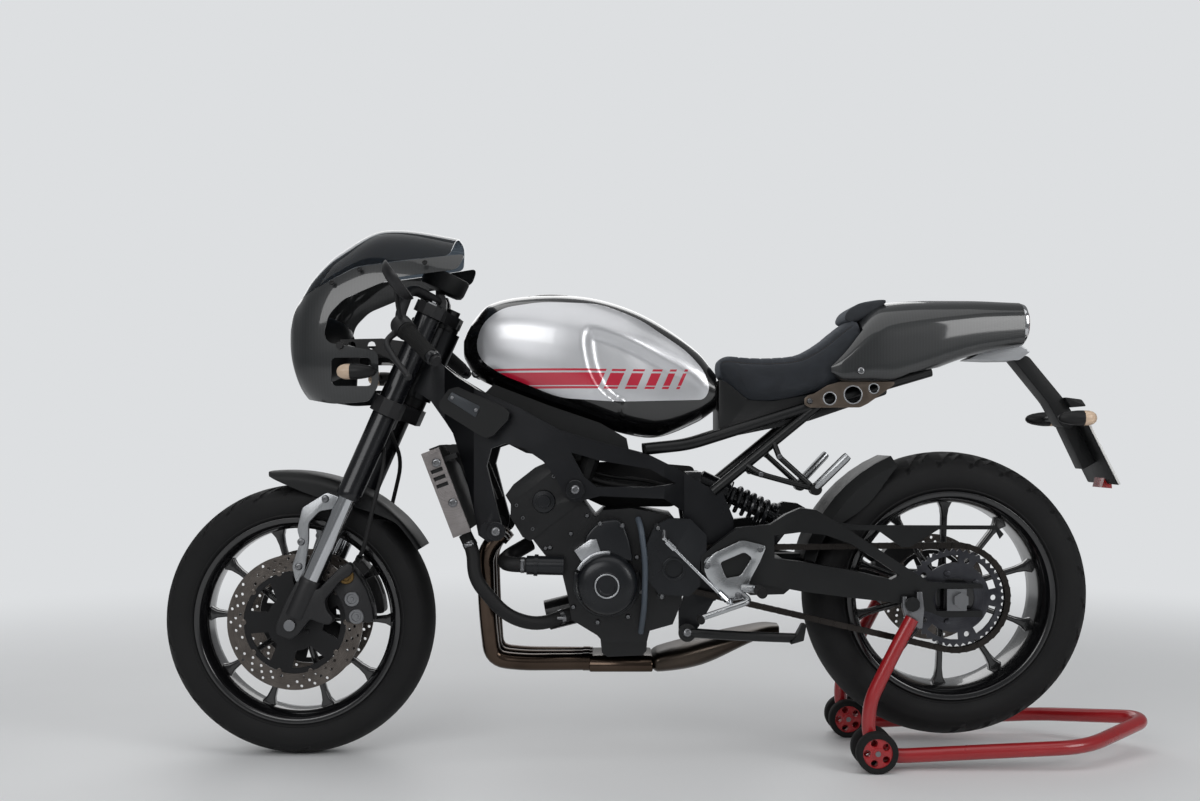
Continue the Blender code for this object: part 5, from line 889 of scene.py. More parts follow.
def stuffed(bm, voxel, pressure, reach, held_below):
    """Cover blown up over its foam: the shape remeshed evenly, then swelled as sewn cloth."""
    mesh = bpy.data.meshes.new("cover")
    bm.to_mesh(mesh)
    bm.free()
    cover = set_out("cover", mesh)
    even = cover.modifiers.new("even", "REMESH")
    even.mode = "VOXEL"
    even.voxel_size = voxel
    cover.data = settled(cover)
    cover.modifiers.clear()
    rest = [v.co.copy() for v in cover.data.vertices]
    held = cover.vertex_groups.new(name="base")
    held.add([i for i, at in enumerate(rest) if held_below(at)], 1.0, "REPLACE")
    cloth = cover.modifiers.new("cover", "CLOTH")
    cloth.settings.use_pressure = True
    cloth.settings.uniform_pressure_force = pressure
    cloth.settings.effector_weights.gravity = 0
    cloth.settings.vertex_group_mass = "base"
    cloth.settings.tension_stiffness = 30
    cloth.settings.bending_stiffness = 2
    for step in range(1, 21):
        scene.frame_set(step)
    swelled = cover.evaluated_get(bpy.context.evaluated_depsgraph_get()).to_mesh()
    for vert, here in zip(swelled.vertices, rest):
        move = vert.co - here
        here += move * min(1, reach / max(move.length, 1e-9))
    scene.frame_set(1)
    out = bmesh.new()
    out.from_mesh(cover.data)
    out.verts.ensure_lookup_table()
    for vert, here in zip(out.verts, rest):
        vert.co = here
    bpy.data.objects.remove(cover)
    bmesh.ops.smooth_vert(out, verts=out.verts, factor=0.5, use_axis_x=True, use_axis_y=True,
        use_axis_z=True)
    bmesh.ops.subdivide_edges(out, edges=out.edges, cuts=1, use_grid_fill=True, smooth=0.35)
    return out


def seam_line(tree, drop, side):
    """Points of a shoulder seam laid on the seat, at a depth below its top."""
    points = []
    x = -0.142
    while x > -0.425:
        high, low, half = flowing(SEAT_STATIONS, x)
        hit = tree.ray_cast(Vector((x, side * 0.3, high - drop)), Vector((0, -side, 0)))
        if hit[0]:
            points.append(hit[0])
        x -= STITCH / 2
    return points


def stitches(points, thick=0.0006):
    """Row of raised stitches, each a short rounded rod along the seam."""
    bm = bmesh.new()
    for a, b in list(zip(points, points[1:]))[::2]:
        rod = bmesh.ops.create_cone(bm, cap_ends=True, segments=6, radius1=thick, radius2=thick,
            depth=STITCH * 0.62)
        stood(bm, rod["verts"], (a + b) / 2, (0, 0, 1), (b - a).normalized())
    return bm


def napped(name, dark, light):
    """Suede-like microfibre: matt, with a soft sheen at grazing angles and a brushed, patchy nap."""
    made = bare_material(name)
    where = add(made, "TexCoord").outputs
    brushed = add(made, "TexNoise", {"Vector": where["Object"], "Scale": 26.0, "Detail": 6.0,
        "Distortion": 0.8})
    nap = add(made, "TexNoise", {"Vector": where["Object"], "Scale": 1100.0, "Detail": 2.0})
    colour = add(made, "Mix", {0: brushed, 6: linear(dark), 7: linear(light)}, data_type="RGBA")
    relief = add(made, "Bump", {"Height": nap, "Strength": 0.5, "Distance": 0.0004})
    shader = add(made, "BsdfPrincipled", {"Base Color": colour.outputs[2], "Roughness": 0.92,
        "Normal": relief, "Sheen Weight": 0.35, "Sheen Roughness": 0.45, "Sheen Tint": linear("#8A93A0")})
    add(made, "OutputMaterial", {"Surface": shader})
    return made


# microfibre suede over foam: matt, with a patchy nap, and a paler cloth on the back pad
seat_suede = napped("seat_microfibre", "#15171B", "#25292F")
pad_suede = napped("pad_microfibre", "#202226", "#34373B")
# waxed sewing thread: dull brown
thread = coat("waxed_thread", "#3A332F", "#4A423C", 0.7, 0.0, 0.5, 0.2)

seat = stuffed(oval_stack(seat_rings(0.0035), 96), 0.005, 4.0, 0.005,
    lambda at: at.z < flowing(SEAT_STATIONS, at.x)[1] + 0.014)
tree = BVHTree.FromBMesh(seat)
seams = [seam_line(tree, SEAM_DROP, side) for side in (1, -1)]
groove = kdtree.KDTree(sum(len(s) for s in seams))
for i, point in enumerate(point for seam in seams for point in seam):
    groove.insert(point, i)
groove.balance()
seat.normal_update()
for vert in seat.verts:
    away = groove.find(vert.co)[2]
    press = 0.0016 * exp(-((away / 0.0035) ** 2))
    high, low, half = flowing(SEAT_STATIONS, vert.co.x)
    if vert.co.z > high - 0.02 and -0.4 < vert.co.x < -0.16:
        wave = abs((vert.co.x / 0.024) % 1 - 0.5) * 2
        press += 0.0013 * (1 - ramp(wave / 0.35)) * ramp((0.095 - abs(vert.co.y)) / 0.02)
    vert.co -= vert.normal * press
finished("seat_cover", seat, "chassis", seat_suede, ("seat",), 60)
finished("seat_stitching", joined(*[stitches(seam) for seam in seams]), "chassis", thread)
pad = slab(softened(PAD_OUTLINE, 0.01, 4), -0.066, 0.066)
pad = stuffed(pad, 0.004, 4.0, 0.004, lambda at: at.z < 0.0 or (at.x < -0.47 and at.z < at.x * -0.76
    + 0.622))
finished("back_pad", pad, "chassis", pad_suede, ("seat_pad",), 60)

# -------------------- tail cowl and lamp
# Tail hump laid up in carbon twill under clear resin, open below, with a chromed lamp at its end. It
# is held by a button-head screw on each side.
# x, top, bottom, half width
TAIL_STATIONS = mm([(-372, 872, 842, 120), (-396, 904, 825, 127), (-462, 985, 821, 129),
    (-512, 1006, 821, 124), (-680, 1011, 882, 98), (-806, 1007, 909, 72)])
TAIL_UNDER = mm([(-340, 790), (-660, 790), (-660, 868), (-500, 838), (-340, 834)])
LAMP_RIM = [(-0.8064, 0.07, 0.9115, 1.0045, 2.6), (-0.811, 0.0702, 0.9112, 1.0048, 2.6),
    (-0.815, 0.069, 0.9125, 1.0035, 2.6), (-0.8164, 0.0665, 0.915, 1.001, 2.6), (-0.815, 0.0645, 0.917,
    0.999, 2.6), (-0.809, 0.064, 0.9175, 0.9985, 2.6)]
LAMP_LENS = [(-0.81, 0.0636, 0.918, 0.998, 2.6), (-0.8165, 0.0628, 0.9188, 0.9972, 2.6),
    (-0.8205, 0.059, 0.9225, 0.9935, 2.5), (-0.8225, 0.05, 0.93, 0.986, 2.4), (-0.8235, 0.03, 0.944, 0.972,
    2.3), (-0.8238, 0.01, 0.954, 0.962, 2.2)]
LAMP_CORE = [(-0.8066, 0.06, 0.9215, 0.9945, 2.6), (-0.811, 0.058, 0.9235, 0.9925, 2.6),
    (-0.812, 0.04, 0.94, 0.976, 2.4)]


def twill(name, dark, light, tow_mm):
    """Carbon cloth, two over and two under, its tows at 45 degrees, under polished clear resin."""
    made = bare_material(name)
    where = add(made, "TexCoord").outputs
    at = add(made, "SeparateXYZ", {0: where["Object"]}).outputs
    facing = add(made, "SeparateXYZ", {0: where["Normal"]}).outputs
    ahead = add(made, "Math", {0: facing[0]}, operation="ABSOLUTE")
    ahead = add(made, "Math", {0: ahead, 1: 0.72}, operation="GREATER_THAN")
    above = add(made, "Math", {0: facing[2]}, operation="ABSOLUTE")
    above = add(made, "Math", {0: above, 1: 0.8}, operation="GREATER_THAN")
    run = add(made, "Mix", {0: ahead, 2: at[0], 3: at[1]})
    rise = add(made, "Mix", {0: above, 2: at[2], 3: at[1]})
    ways = [add(made, "Math", {0: run, 1: rise}, operation=word) for word in ("ADD", "SUBTRACT")]
    ways = [add(made, "Math", {0: way, 1: 707.1 / tow_mm}, operation="MULTIPLY") for way in ways]
    floors = [add(made, "Math", {0: way}, operation="FLOOR") for way in ways]
    cell = add(made, "Math", {0: floors[0], 1: floors[1]}, operation="ADD")
    over = add(made, "Math", {0: cell, 1: 4}, operation="FLOORED_MODULO")
    over = add(made, "Math", {0: over, 1: 1.5}, operation="LESS_THAN")
    crown = add(made, "Mix", {0: over, 2: ways[0], 3: ways[1]})
    crown = add(made, "Math", {0: crown, 1: pi}, operation="MULTIPLY")
    for word in ("SINE", "ABSOLUTE"):
        crown = add(made, "Math", {0: crown}, operation=word)
    streak = add(made, "TexNoise", {"Vector": where["Object"], "Scale": 900.0, "Detail": 1.0})
    # colour lighter on each tow's crown and on the tows that lie over: a painted sheen of the light the
    # tows catch, with random streaks on top
    share = add(made, "Math", {0: over, 1: 0.55, 2: 0.25}, operation="MULTIPLY_ADD")
    share = add(made, "Math", {0: share, 1: crown}, operation="MULTIPLY")
    share = add(made, "Math", {0: streak, 1: 0.3, 2: share}, operation="MULTIPLY_ADD")
    colour = add(made, "Mix", {0: share, 6: linear(dark), 7: linear(light)}, data_type="RGBA")
    relief = add(made, "Bump", {"Height": crown, "Strength": 0.25, "Distance": 0.0001})
    shader = add(made, "BsdfPrincipled", {"Base Color": colour.outputs[2], "Roughness": 0.42,
        "Metallic": 0.15, "Normal": relief, "Coat Weight": 1.0, "Coat Roughness": 0.05})
    add(made, "OutputMaterial", {"Surface": shader})
    return made


def glazed(name, tint, roughness=0.03, see_through=0.97):
    """Clear or tinted moulding: polished polycarbonate with faint wipe marks."""
    made = bare_material(name)
    where = add(made, "TexCoord").outputs
    marks = add(made, "TexNoise", {"Vector": where["Object"], "Scale": 60.0, "Detail": 5.0})
    haze = add(made, "MapRange", {0: marks, 1: 0.4, 2: 0.8, 3: roughness, 4: roughness + 0.015})
    shader = add(made, "BsdfPrincipled", {"Base Color": linear(tint), "Roughness": haze,
        "Transmission Weight": see_through, "IOR": 1.3})
    add(made, "OutputMaterial", {"Surface": shader})
    return made


def along(points, centre, facing, steps=40):
    """Round shape about a line that leaves a centre: a section of (radius, distance) points."""
    bm = spun(points, (0, 0, 0), steps, closed=points[0][0] > 0)
    return stood(bm, bm.verts, centre, (0, 1, 0), facing)


def button_heads(name, places, body, material):
    """Button-head screws, each at a place and facing a way, with its radius and height."""
    heads = [along([(0, 0), (radius, 0), (radius, height * 0.35), (radius * 0.86, height * 0.75),
        (radius * 0.62, height), (radius * 0.44, height), (radius * 0.4, height * 0.4), (0, height * 0.4)],
        place, facing, 20) for place, facing, radius, height in places]
    return finished(name, joined(*heads), body, material)


def tail_place(u, v):
    """Place on the tail's skin: a round back over upright sides."""
    x = -0.372 - 0.434 * u
    high, low, half = flowing(TAIL_STATIONS, x)
    return Vector((x, *oval(v, half, low, high, 2.5 if sin(2 * pi * v) > 0 else 6.0)))


# carbon cloth in clear resin: glossy black, with tows 2.4 mm wide; the light they catch in turn is painted
# into the colour as a sheen
carbon = twill("lacquered_carbon_twill_painted_sheen", "#0C0E0F", "#1E2123", 2.4)
# bright chrome plate on the lamp rim
chrome = coat("chrome_plate", "#BDBEC0", "#CFD0D2", 0.1, 1.0, 0.8, 0.02)
tail = carved(wrapped(84, 96, tail_place), oval_stack(seat_rings(-0.0022, 0.012), 48))
tail = carved(tail, slab(TAIL_UNDER, -0.112, 0.112))
finished("tail_hump", tail, "chassis", carbon, ("tail_cowl",), 30)
finished("tail_lamp_rim", oval_stack(LAMP_RIM), "chassis", chrome, ("tail_lamp",))
# clear acrylic lens: glossy, with a faint pink tint
finished("tail_lamp_lens", oval_stack(LAMP_LENS), "chassis", glazed("clear_lamp_lens",
    "#F2DAD8"))
# moulded red acrylic: half gloss over dimples of about 2 mm
finished("tail_lamp_core", oval_stack(LAMP_CORE), "chassis", coat("red_reflector", "#8E0D10",
    "#A01216", 0.2, 0.2, 2.0, 0.6, 0.6))
# stainless screws: turned, lightly tarnished
stainless = coat("stainless_screws", "#8F9092", "#A3A4A6", 0.24, 1.0, 0.7, 0.08)
button_heads("tail_screws", [((-0.434, side * 0.1296, 0.849), (0, side, 0), 0.0085, 0.005) for side in (1,
    -1)], "chassis", stainless)

# -------------------- nose cowl, screen and headlamp
# Round nose laid up in the same carbon twill, cut away at the sides, with a thin smoked screen
# riveted over it. A black two-hole plate on each fork leg carries the cowl and an indicator.
# x, top, bottom, half width
NOSE_STATIONS = mm([(814, 926, 914, 18), (812, 940, 900, 50), (799, 990, 845, 102), (781, 1020, 800, 126),
    (752, 1065, 770, 145), (700, 1115, 740, 158), (600, 1165, 735, 166), (400, 1140, 735, 170)])
NOSE_SIDE = mm([(830, 1004), (840, 970), (840, 905), (812, 891), (793, 812), (776, 790), (704, 778),
    (624, 783), (600, 820), (600, 889), (707, 908), (718, 926), (707, 968), (675, 1001), (600, 1033),
    (557, 1048), (432, 1065), (417, 1101), (557, 1082), (650, 1070), (694, 1048), (781, 1005)])
NOSE_NOTCH = mm([(702, 816), (702, 876), (615, 876), (615, 816)])
SCREEN_SIDE = mm([(815, 1005.5), (815, 1060), (758, 1120), (700, 1160), (628, 1180), (610, 1175),
    (439, 1150), (450, 1097.5), (563, 1082.5), (650, 1071.5), (694, 1049.5), (781, 1006.5)])
NOSE_WALL = 0.0032
LAMP_AT = Vector((0.745, 0, 0.902))


def nose_skin(grow):
    """Whole form of the nose, drawn in or out by a distance."""
    def place(u, v):
        x = 0.814 - 0.414 * u**1.7
        high, low, half = flowing(NOSE_STATIONS, x)
        return Vector((x + grow, *oval(v, half + grow, low - grow, high + grow, 2.9)))
    return wrapped(84, 88, place)


def rod(start, end, radius, segments=20):
    """Round bar between two places."""
    start, end = Vector(start), Vector(end)
    bm = bmesh.new()
    bmesh.ops.create_cone(bm, cap_ends=True, segments=segments, radius1=radius, radius2=radius,
        depth=(end - start).length)
    return stood(bm, bm.verts, (start + end) / 2, (0, 0, 1), end - start)


def edge_distance(at, outline):
    """Distance in side view from a place to an outline."""
    near = 1.0
    here = Vector((at.x, at.z))
    for a, b in zip(outline, outline[1:] + outline[:1]):
        a, b = Vector(a), Vector(b)
        t = min(max((here - a).dot(b - a) / (b - a).length_squared, 0), 1)
        near = min(near, (a + (b - a) * t - here).length)
    return near


nose_shell = carved(nose_skin(0), nose_skin(-NOSE_WALL))
trimmed = softened(NOSE_SIDE, 0.014, 5)
nose = carved(nose_shell.copy(), slab(trimmed, -0.25, 0.25), "INTERSECT")
nose = carved(nose, slab(softened(NOSE_NOTCH, 0.012, 4), -0.25, 0.25))
nose = carved(nose, rod(LAMP_AT, LAMP_AT + Vector((0.12, 0, 0)), 0.078, 64))
finished("nose_shell", nose, "steering", carbon, ("nose_cowl",), 30)
screen_edge = softened(SCREEN_SIDE, 0.012, 4)
screen = carved(nose_shell, slab(screen_edge, -0.25, 0.25), "INTERSECT")
screen.normal_update()
for face in screen.faces:
    on_edge = abs(face.normal.y) < 0.05 and edge_distance(face.calc_center_median(), screen_edge) < 0.0005
    face.material_index = int(on_edge)
# smoked polycarbonate, and its edge, which is cut and flamed, painted pale grey for the light it lets out:
# a painted highlight
smoked = glazed("smoked_polycarbonate", "#3B4249", 0.03, 0.9)
screen_edge_highlight = coat("screen_edge_painted_highlight", "#9AA2A8", "#AEB5BA", 0.2, 0.1, 0.6, 0.05, 0.6)
finished("smoked_screen", screen, "steering", [smoked, screen_edge_highlight], ("windscreen",), 30)
rivets = [((x, side * flowing(NOSE_STATIONS, x)[2] * 0.985, z), (0, side, 0.25), 0.0055, 0.003)
    for side in (1, -1) for x, z in ((0.7, 1.036), (0.64, 1.064), (0.5, 1.078))]
# black nylon screws that hold the screen: dull and even
nylon = coat("black_nylon_screws", "#101011", "#1A1A1B", 0.45, 0.0, 0.6, 0.1)
button_heads("screen_screws", rivets, "steering", nylon)
# headlamp: a chromed bowl behind a clear domed lens, in a black shell
bowl_chrome = coat("lamp_bowl_chrome", "#C4C6C8", "#D2D4D6", 0.08, 1.0, 6.0, 0.02)
finished("lamp_shell", along(mm([(30, -62), (45, -56), (60, -40), (70, -18), (74.5, 4), (75, 30),
    (74.5, 36), (69, 36.5), (68.5, 30), (30, -50)]), LAMP_AT, (1, 0, 0), 64), "steering", nylon,
    ("headlamp",))
finished("lamp_bowl", along(mm([(0, -48), (22, -45), (46, -28), (62, -2), (68.4, 29), (67.5, 29), (61, -1),
    (45, -26), (21, -43), (0, -46)]), LAMP_AT, (1, 0, 0), 64), "steering", bowl_chrome)
# clear polycarbonate headlamp lens: nearly colourless, glossy
finished("lamp_lens", along(mm([(0, 56), (28, 53.5), (50, 45.5), (64, 35.5), (68.3, 30), (67, 30),
    (62, 34.5), (49, 43.2), (28, 51), (0, 53.5)]), LAMP_AT, (1, 0, 0), 64), "steering",
    glazed("clear_headlamp_lens", "#F6F8F8"))
dressed("cowl_bracket", "cowl_plates", nylon, 0.0008, 2)


def bullet(place, facing):
    """Body and lens of one indicator."""
    body = along(mm([(0, -41), (4, -40.2), (8.5, -36), (12.5, -26), (15.5, -10), (16.6, 2), (16.6, 14),
        (15.2, 15), (0, 15)]), place, facing)
    lens = along(mm([(0, 14.5), (16.2, 14.5), (16.6, 17), (16.2, 26), (14, 34), (9.5, 40), (4.5, 42.5),
        (0, 43)]), place, facing)
    return body, lens


# amber polycarbonate: pale and milky, less than half see-through
lens_amber = glazed("clear_amber_lens", "#F4D9BE", 0.08, 0.4)
for spot, facing, body in (((0.64, 0.188, 0.845), (1, 0, 0), "steering"), ((-0.905, 0.112, 0.748),
        (-1, 0, 0), "chassis")):
    sides = [bullet((spot[0], side * spot[1], spot[2]), facing) for side in (1, -1)]
    word = "front" if body == "steering" else "rear"
    finished(word + "_indicator_bodies", joined(*[s[0] for s in sides]), body, nylon)
    finished(word + "_indicator_lenses", joined(*[s[1] for s in sides]), body, lens_amber)

# -------------------- fork and yokes
# Upside-down fork: black anodised outer tubes in two cast yokes, chromed inner tubes below, and cast
# feet that hold the axle. The yokes are clamped with pinch bolts.
STEER = next(j for j in frame["record"]["behaviour"]["joints"] if j["name"] == "steering")
RAKE = atan2(-STEER["axis"][0], STEER["axis"][2])
FRONT = middle_of("front_tyre")
LEG_Y = 0.105
FOOT_OUTLINE = mm([(20, -30), (29, -12), (30, 50), (26, 94), (-24, 94), (-44, 150), (-60, 176), (-74, 170),
    (-76, 152), (-60, 130), (-46, 80), (-60, 60), (-80, 52), (-80, 36), (-64, 30), (-34, 30), (-24, -14),
    (-14, -30)])


def in_leg(bm, y=0.0):
    """Shape drawn in the fork's own axes (ahead, left, up from the wheel's centre), put in place."""
    place = Matrix.Translation(FRONT + Vector((0, y, 0))) @ Matrix.Rotation(-RAKE, 4, "Y")
    bmesh.ops.transform(bm, verts=bm.verts, matrix=place)
    return bm


def block(low, high, ease=0.002, segments=3):
    """Box between two corners with its edges eased."""
    bm = bmesh.new()
    bmesh.ops.create_cube(bm, size=1)
    low, high = Vector(low), Vector(high)
    bmesh.ops.scale(bm, verts=bm.verts, vec=high - low)
    bmesh.ops.translate(bm, verts=bm.verts, vec=(low + high) / 2)
    bmesh.ops.bevel(bm, geom=bm.edges[:], offset=ease, affect="EDGES", segments=segments, profile=0.5,
        material=-1)
    return bm


def pipe(points, radius, bend=0.03, fineness=4):
    """Round tube along a route with bent corners; the radius may change from point to point."""
    points = [Vector(p) for p in points]
    sizes = list(radius) if isinstance(radius, (list, tuple)) else [radius] * len(points)
    route = [(points[0], sizes[0])]
    for i in range(1, len(points) - 1):
        route += [(place, sizes[i]) for place in bent(*points[i - 1:i + 2], bend, 6)]
    route.append((points[-1], sizes[-1]))
    curve = bpy.data.curves.new("route", "CURVE")
    curve.dimensions = "3D"
    curve.bevel_depth = 1.0
    curve.bevel_resolution = fineness
    curve.use_fill_caps = True
    spline = curve.splines.new("POLY")
    spline.points.add(len(route) - 1)
    for point, (place, size) in zip(spline.points, route):
        point.co = (*place, 1)
        point.radius = size
    holder = set_out("route", curve)
    mesh = settled(holder)
    bpy.data.objects.remove(holder)
    bpy.data.curves.remove(curve)
    bm = bmesh.new()
    bm.from_mesh(mesh)
    bpy.data.meshes.remove(mesh)
    closed_up(bm)
    for face in bm.faces:
        face.material_index = 0
    return bm


def mirrored(bm):
    """Shape of the left side turned into its mirror image."""
    bmesh.ops.scale(bm, verts=bm.verts, vec=(1, -1, 1))
    bmesh.ops.reverse_faces(bm, faces=bm.faces)
    return bm


def pair(make, *values):
    """Shape of the left side joined with its mirror image."""
    return joined(make(*values), mirrored(make(*values)))


# hard black anodising: even, satin, slightly metallic
anodised = coat("black_anodised_tube", "#101114", "#17181C", 0.26, 0.35, 0.5, 0.04, 0.2)
# hard chrome on ground steel: bright, almost a mirror
hard_chrome = coat("hard_chrome_tube", "#B4B6B9", "#C6C8CB", 0.12, 1.0, 0.7, 0.02)
# sand-cast aluminium under satin black paint
black_casting = coat("black_painted_casting", "#121214", "#1B1B1D", 0.46, 0.15, 1.4, 0.5)
# zinc-plated bolts and nuts: mid grey, half gloss
zinc = coat("zinc_plated_bolts", "#76777A", "#8E8F91", 0.3, 1.0, 0.8, 0.1)
# clear-anodised machined aluminium: pale and satin, with fine circles from the tool
machined = turned_metal("machined_aluminium", FRONT, "#9A9C9F", "#B4B6B8", 0.3, 1.0, 0.6)
for word, side in (("left", 1), ("right", -1)):
    outer = along(mm([(0, 300), (22.5, 300), (26.2, 301.2), (27.6, 304), (27.8, 318.5), (26.8, 320.5),
        (26.8, 752.5), (25.5, 756.8), (22.8, 758), (0, 758)]), (0, 0, 0), (0, 0, 1), 56)
    finished("fork_outer_" + word, in_leg(outer, side * LEG_Y), "steering", anodised,
        ("fork_tube_" + word,))
    top = along(mm([(0, 757.5), (19, 757.5), (19, 761.5), (15, 763), (8.5, 763), (8, 766), (0, 766)]),
        (0, 0, 0), (0, 0, 1), 6)
    finished("fork_cap_" + word, in_leg(top, side * LEG_Y), "steering", zinc)
    inner = along(mm([(0, 90), (20.5, 90), (20.5, 300.8), (0, 300.8)]), (0, 0, 0), (0, 0, 1), 48)
    finished("fork_inner_" + word, in_leg(inner, side * LEG_Y), "steering", hard_chrome,
        ("fork_slider_" + word,))
    foot = slab(softened(FOOT_OUTLINE, 0.008, 3), 0.0905, 0.1195, ease=0.0035, segments=3)
    bmesh.ops.scale(foot, verts=foot.verts, vec=(1, side, 1))
    bmesh.ops.recalc_face_normals(foot, faces=foot.faces)
    boss = along(mm([(0, 20), (23.6, 20), (24, 100), (22.6, 106.5), (21.4, 108), (0, 108)]),
        (0, side * LEG_Y, 0), (0, 0, 1), 40)
    finished("fork_foot_" + word, in_leg(joined(foot, boss)), "steering", black_casting)
dressed("front_axle", "front_spindle", zinc, 0.0008, 2)
dressed("lower_yoke", "lower_yoke_casting", black_casting, 0.0028, 3)
dressed("upper_yoke", "upper_yoke_casting", black_casting, 0.0022, 3)

# -------------------- front brakes and mudguard
# Two four-piston calipers bolted to the feet, their caps anodised, and hoses that come down from a
# splitter on the lower yoke. The moulded mudguard hangs on two pressed aluminium brackets.
DISC_Y = abs(middle_of("front_disc_left").y)
DISC_R = (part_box("front_disc_left")[1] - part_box("front_disc_left")[0])[0] / 2
CALIPER = (radians(131), radians(179))
STAY_OUTLINE = mm([(694, 575), (724, 586), (778, 552), (789, 505), (782, 479), (800, 425), (792, 390),
    (776, 392), (770, 430), (764, 480), (764, 520), (740, 545), (700, 552)])
GUARD_R = (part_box("front_tyre")[1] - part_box("front_tyre")[0])[0] / 2 + 0.022


def arc(centre, inner, outer, start, end, count=20):
    """Outline of part of a ring about a centre; angles from ahead, upwards."""
    angles = [start + (end - start) * k / (count - 1) for k in range(count)]
    points = [(inner, a) for a in angles] + [(outer, a) for a in reversed(angles)]
    return polar(centre, points)


def caliper():
    """Left caliper: two halves either side of the disc, joined over its rim."""
    outline = softened(arc(FRONT, 0.116, 0.178, *CALIPER, 5), 0.01, 3)
    rim = DISC_R + 0.003
    bridge = [softened(arc(FRONT, rim, 0.1775, a, b, 4), 0.004, 2) for a, b in ((CALIPER[0] + 0.03,
        radians(145)), (radians(165), CALIPER[1] - 0.03))]
    return joined(slab(outline, 0.047, DISC_Y - 0.0058, ease=0.003), slab(outline, DISC_Y + 0.0058, 0.099,
        ease=0.004), *[slab(b, 0.05, 0.095, ease=0.001) for b in bridge])


def caliper_caps(radius, angle, out=0.141, reach=0.004):
    """Round cap screwed into the caliper over one piston."""
    place = Vector((FRONT.x + out * cos(angle), 0.0985, FRONT.z + out * sin(angle)))
    return along([(0, 0), (radius, 0), (radius, reach * 0.6), (radius * 0.92, reach),
        (radius * 0.62, reach), (radius * 0.56, reach * 0.5), (radius * 0.3, reach * 0.5),
        (radius * 0.26, reach), (0, reach)], place, (0, 1, 0), 32)


def mudguard_place(u, v):
    """Place on the mudguard's outer skin: u from its beak to its tail, v across it."""
    angle = radians(79.4 + 70.2 * u)
    half = 0.0745 - 0.014 * (1 - u) ** 2
    drop = 0.01 + 0.038 * sin(pi * min(u * 1.25, 1) ** 0.8)
    corner = min(0.02, drop * 0.9)
    way = abs(v * 2 - 1) * (half + drop - 0.43 * corner)
    if way < half - corner:
        y, fall = way, 0.002 * (way / half) ** 2
    elif way < half - corner + corner * pi / 2:
        turn = (way - half + corner) / corner
        y, fall = half - corner + corner * sin(turn), 0.002 + corner * (1 - cos(turn))
    else:
        y, fall = half, 0.002 + corner + way - (half - corner + corner * pi / 2)
    reach = GUARD_R + 0.0145 * (1 - u) ** 3 + 0.001 - fall
    return Vector((FRONT.x + reach * cos(angle), y if v > 0.5 else -y, FRONT.z + reach * sin(angle)))


guard = bmesh.new()
bmesh.ops.create_grid(guard, x_segments=44, y_segments=44, size=0.5)
for vert in guard.verts:
    vert.co = mudguard_place(vert.co.x + 0.5, vert.co.y + 0.5)
bmesh.ops.recalc_face_normals(guard, faces=guard.faces)
top = max(guard.faces, key=lambda f: f.calc_center_median().z)
if top.normal.z < 0:
    bmesh.ops.reverse_faces(guard, faces=guard.faces)
guard.normal_update()
bmesh.ops.solidify(guard, geom=guard.faces[:], thickness=0.003)
# injection-moulded mudguard: fine leather grain, satin
moulded = coat("grained_black_moulding", "#0D0E0F", "#151617", 0.52, 0.0, 1.1, 0.35)
finished("front_guard", guard, "steering", moulded, ("front_mudguard",))
stays = pair(lambda: joined(slab(softened(STAY_OUTLINE, 0.006, 3), 0.0805, 0.0915, ease=0.0015),
    slab(softened(STAY_OUTLINE[:3] + STAY_OUTLINE[-2:], 0.005, 3), 0.066, 0.0815, ease=0.0015)))
# brushed aluminium: satin, with fine curved scratches
brushed = turned_metal("brushed_aluminium_plate", FRONT + Vector((0.3, 0, 0.3)), "#8F9194", "#AEB0B2",
    0.34, 1.0, 0.8)
finished("guard_brackets", stays, "steering", brushed)
button_heads("guard_screws", [((x, side * 0.0913, z), (0, side, 0), 0.0082, 0.005) for side in (1, -1)
    for x, z in ((0.727, 0.572), (0.78, 0.478), (0.785, 0.424))], "steering", zinc)
# bronze anodised aluminium cap: warm, satin metal
gold = coat("bronze_anodised_cap", "#6E5836", "#8A7048", 0.3, 1.0, 0.6, 0.05)
finished("caliper_bodies", pair(caliper), "steering", black_casting, ("front_caliper_left",
    "front_caliper_right"))
finished("caliper_caps", pair(lambda: joined(caliper_caps(0.0168, radians(157.4)), caliper_caps(0.0168,
    radians(173.4)))), "steering", zinc)
finished("caliper_gold_caps", pair(lambda: caliper_caps(0.0175, radians(138.5), 0.157)), "steering",
    gold)
route = mm([(-3, 10, 477.5), (0, 60, 462), (-46, 122, 403.5), (-60, 136, 322), (-79, 128, 221),
    (-74, 95, 186)])
hoses = pair(lambda: in_leg(joined(pipe(route, 0.0047, 0.05),
    along(mm([(5.2, 0), (7.4, 0), (7.4, 16), (5.2, 16)]), Vector(route[-1]) + Vector((-0.001, 0.002,
    -0.002)), (-0.1, 0.6, 0.6), 6))))
splitter = in_leg(block((-0.015, -0.019, 0.468), (0.007, 0.019, 0.499), 0.003))
# braid-reinforced brake hose in a smooth rubber skin: dull black
hose_rubber = coat("brake_hose_rubber", "#0E0E0F", "#161617", 0.55, 0.0, 0.8, 0.25)
finished("front_brake_hoses", joined(hoses, splitter), "steering", hose_rubber, ("brake_hoses",))

# -------------------- handlebar and instrument
# Tubular bar, ribbed rubber grips with turned end weights, forged levers, round mirrors on bent
# stalks, and one round instrument above the yoke.
BAR_ROUTE = mm([(487, 0, 1006), (487, 45, 1006), (540, 105, 1032), (552, 175, 964), (540, 215, 938),
    (457, 310, 859)])
GRIP_FROM, GRIP_TO = Vector(BAR_ROUTE[4]), Vector(BAR_ROUTE[5])
GRIP_WAY = (GRIP_TO - GRIP_FROM).normalized()


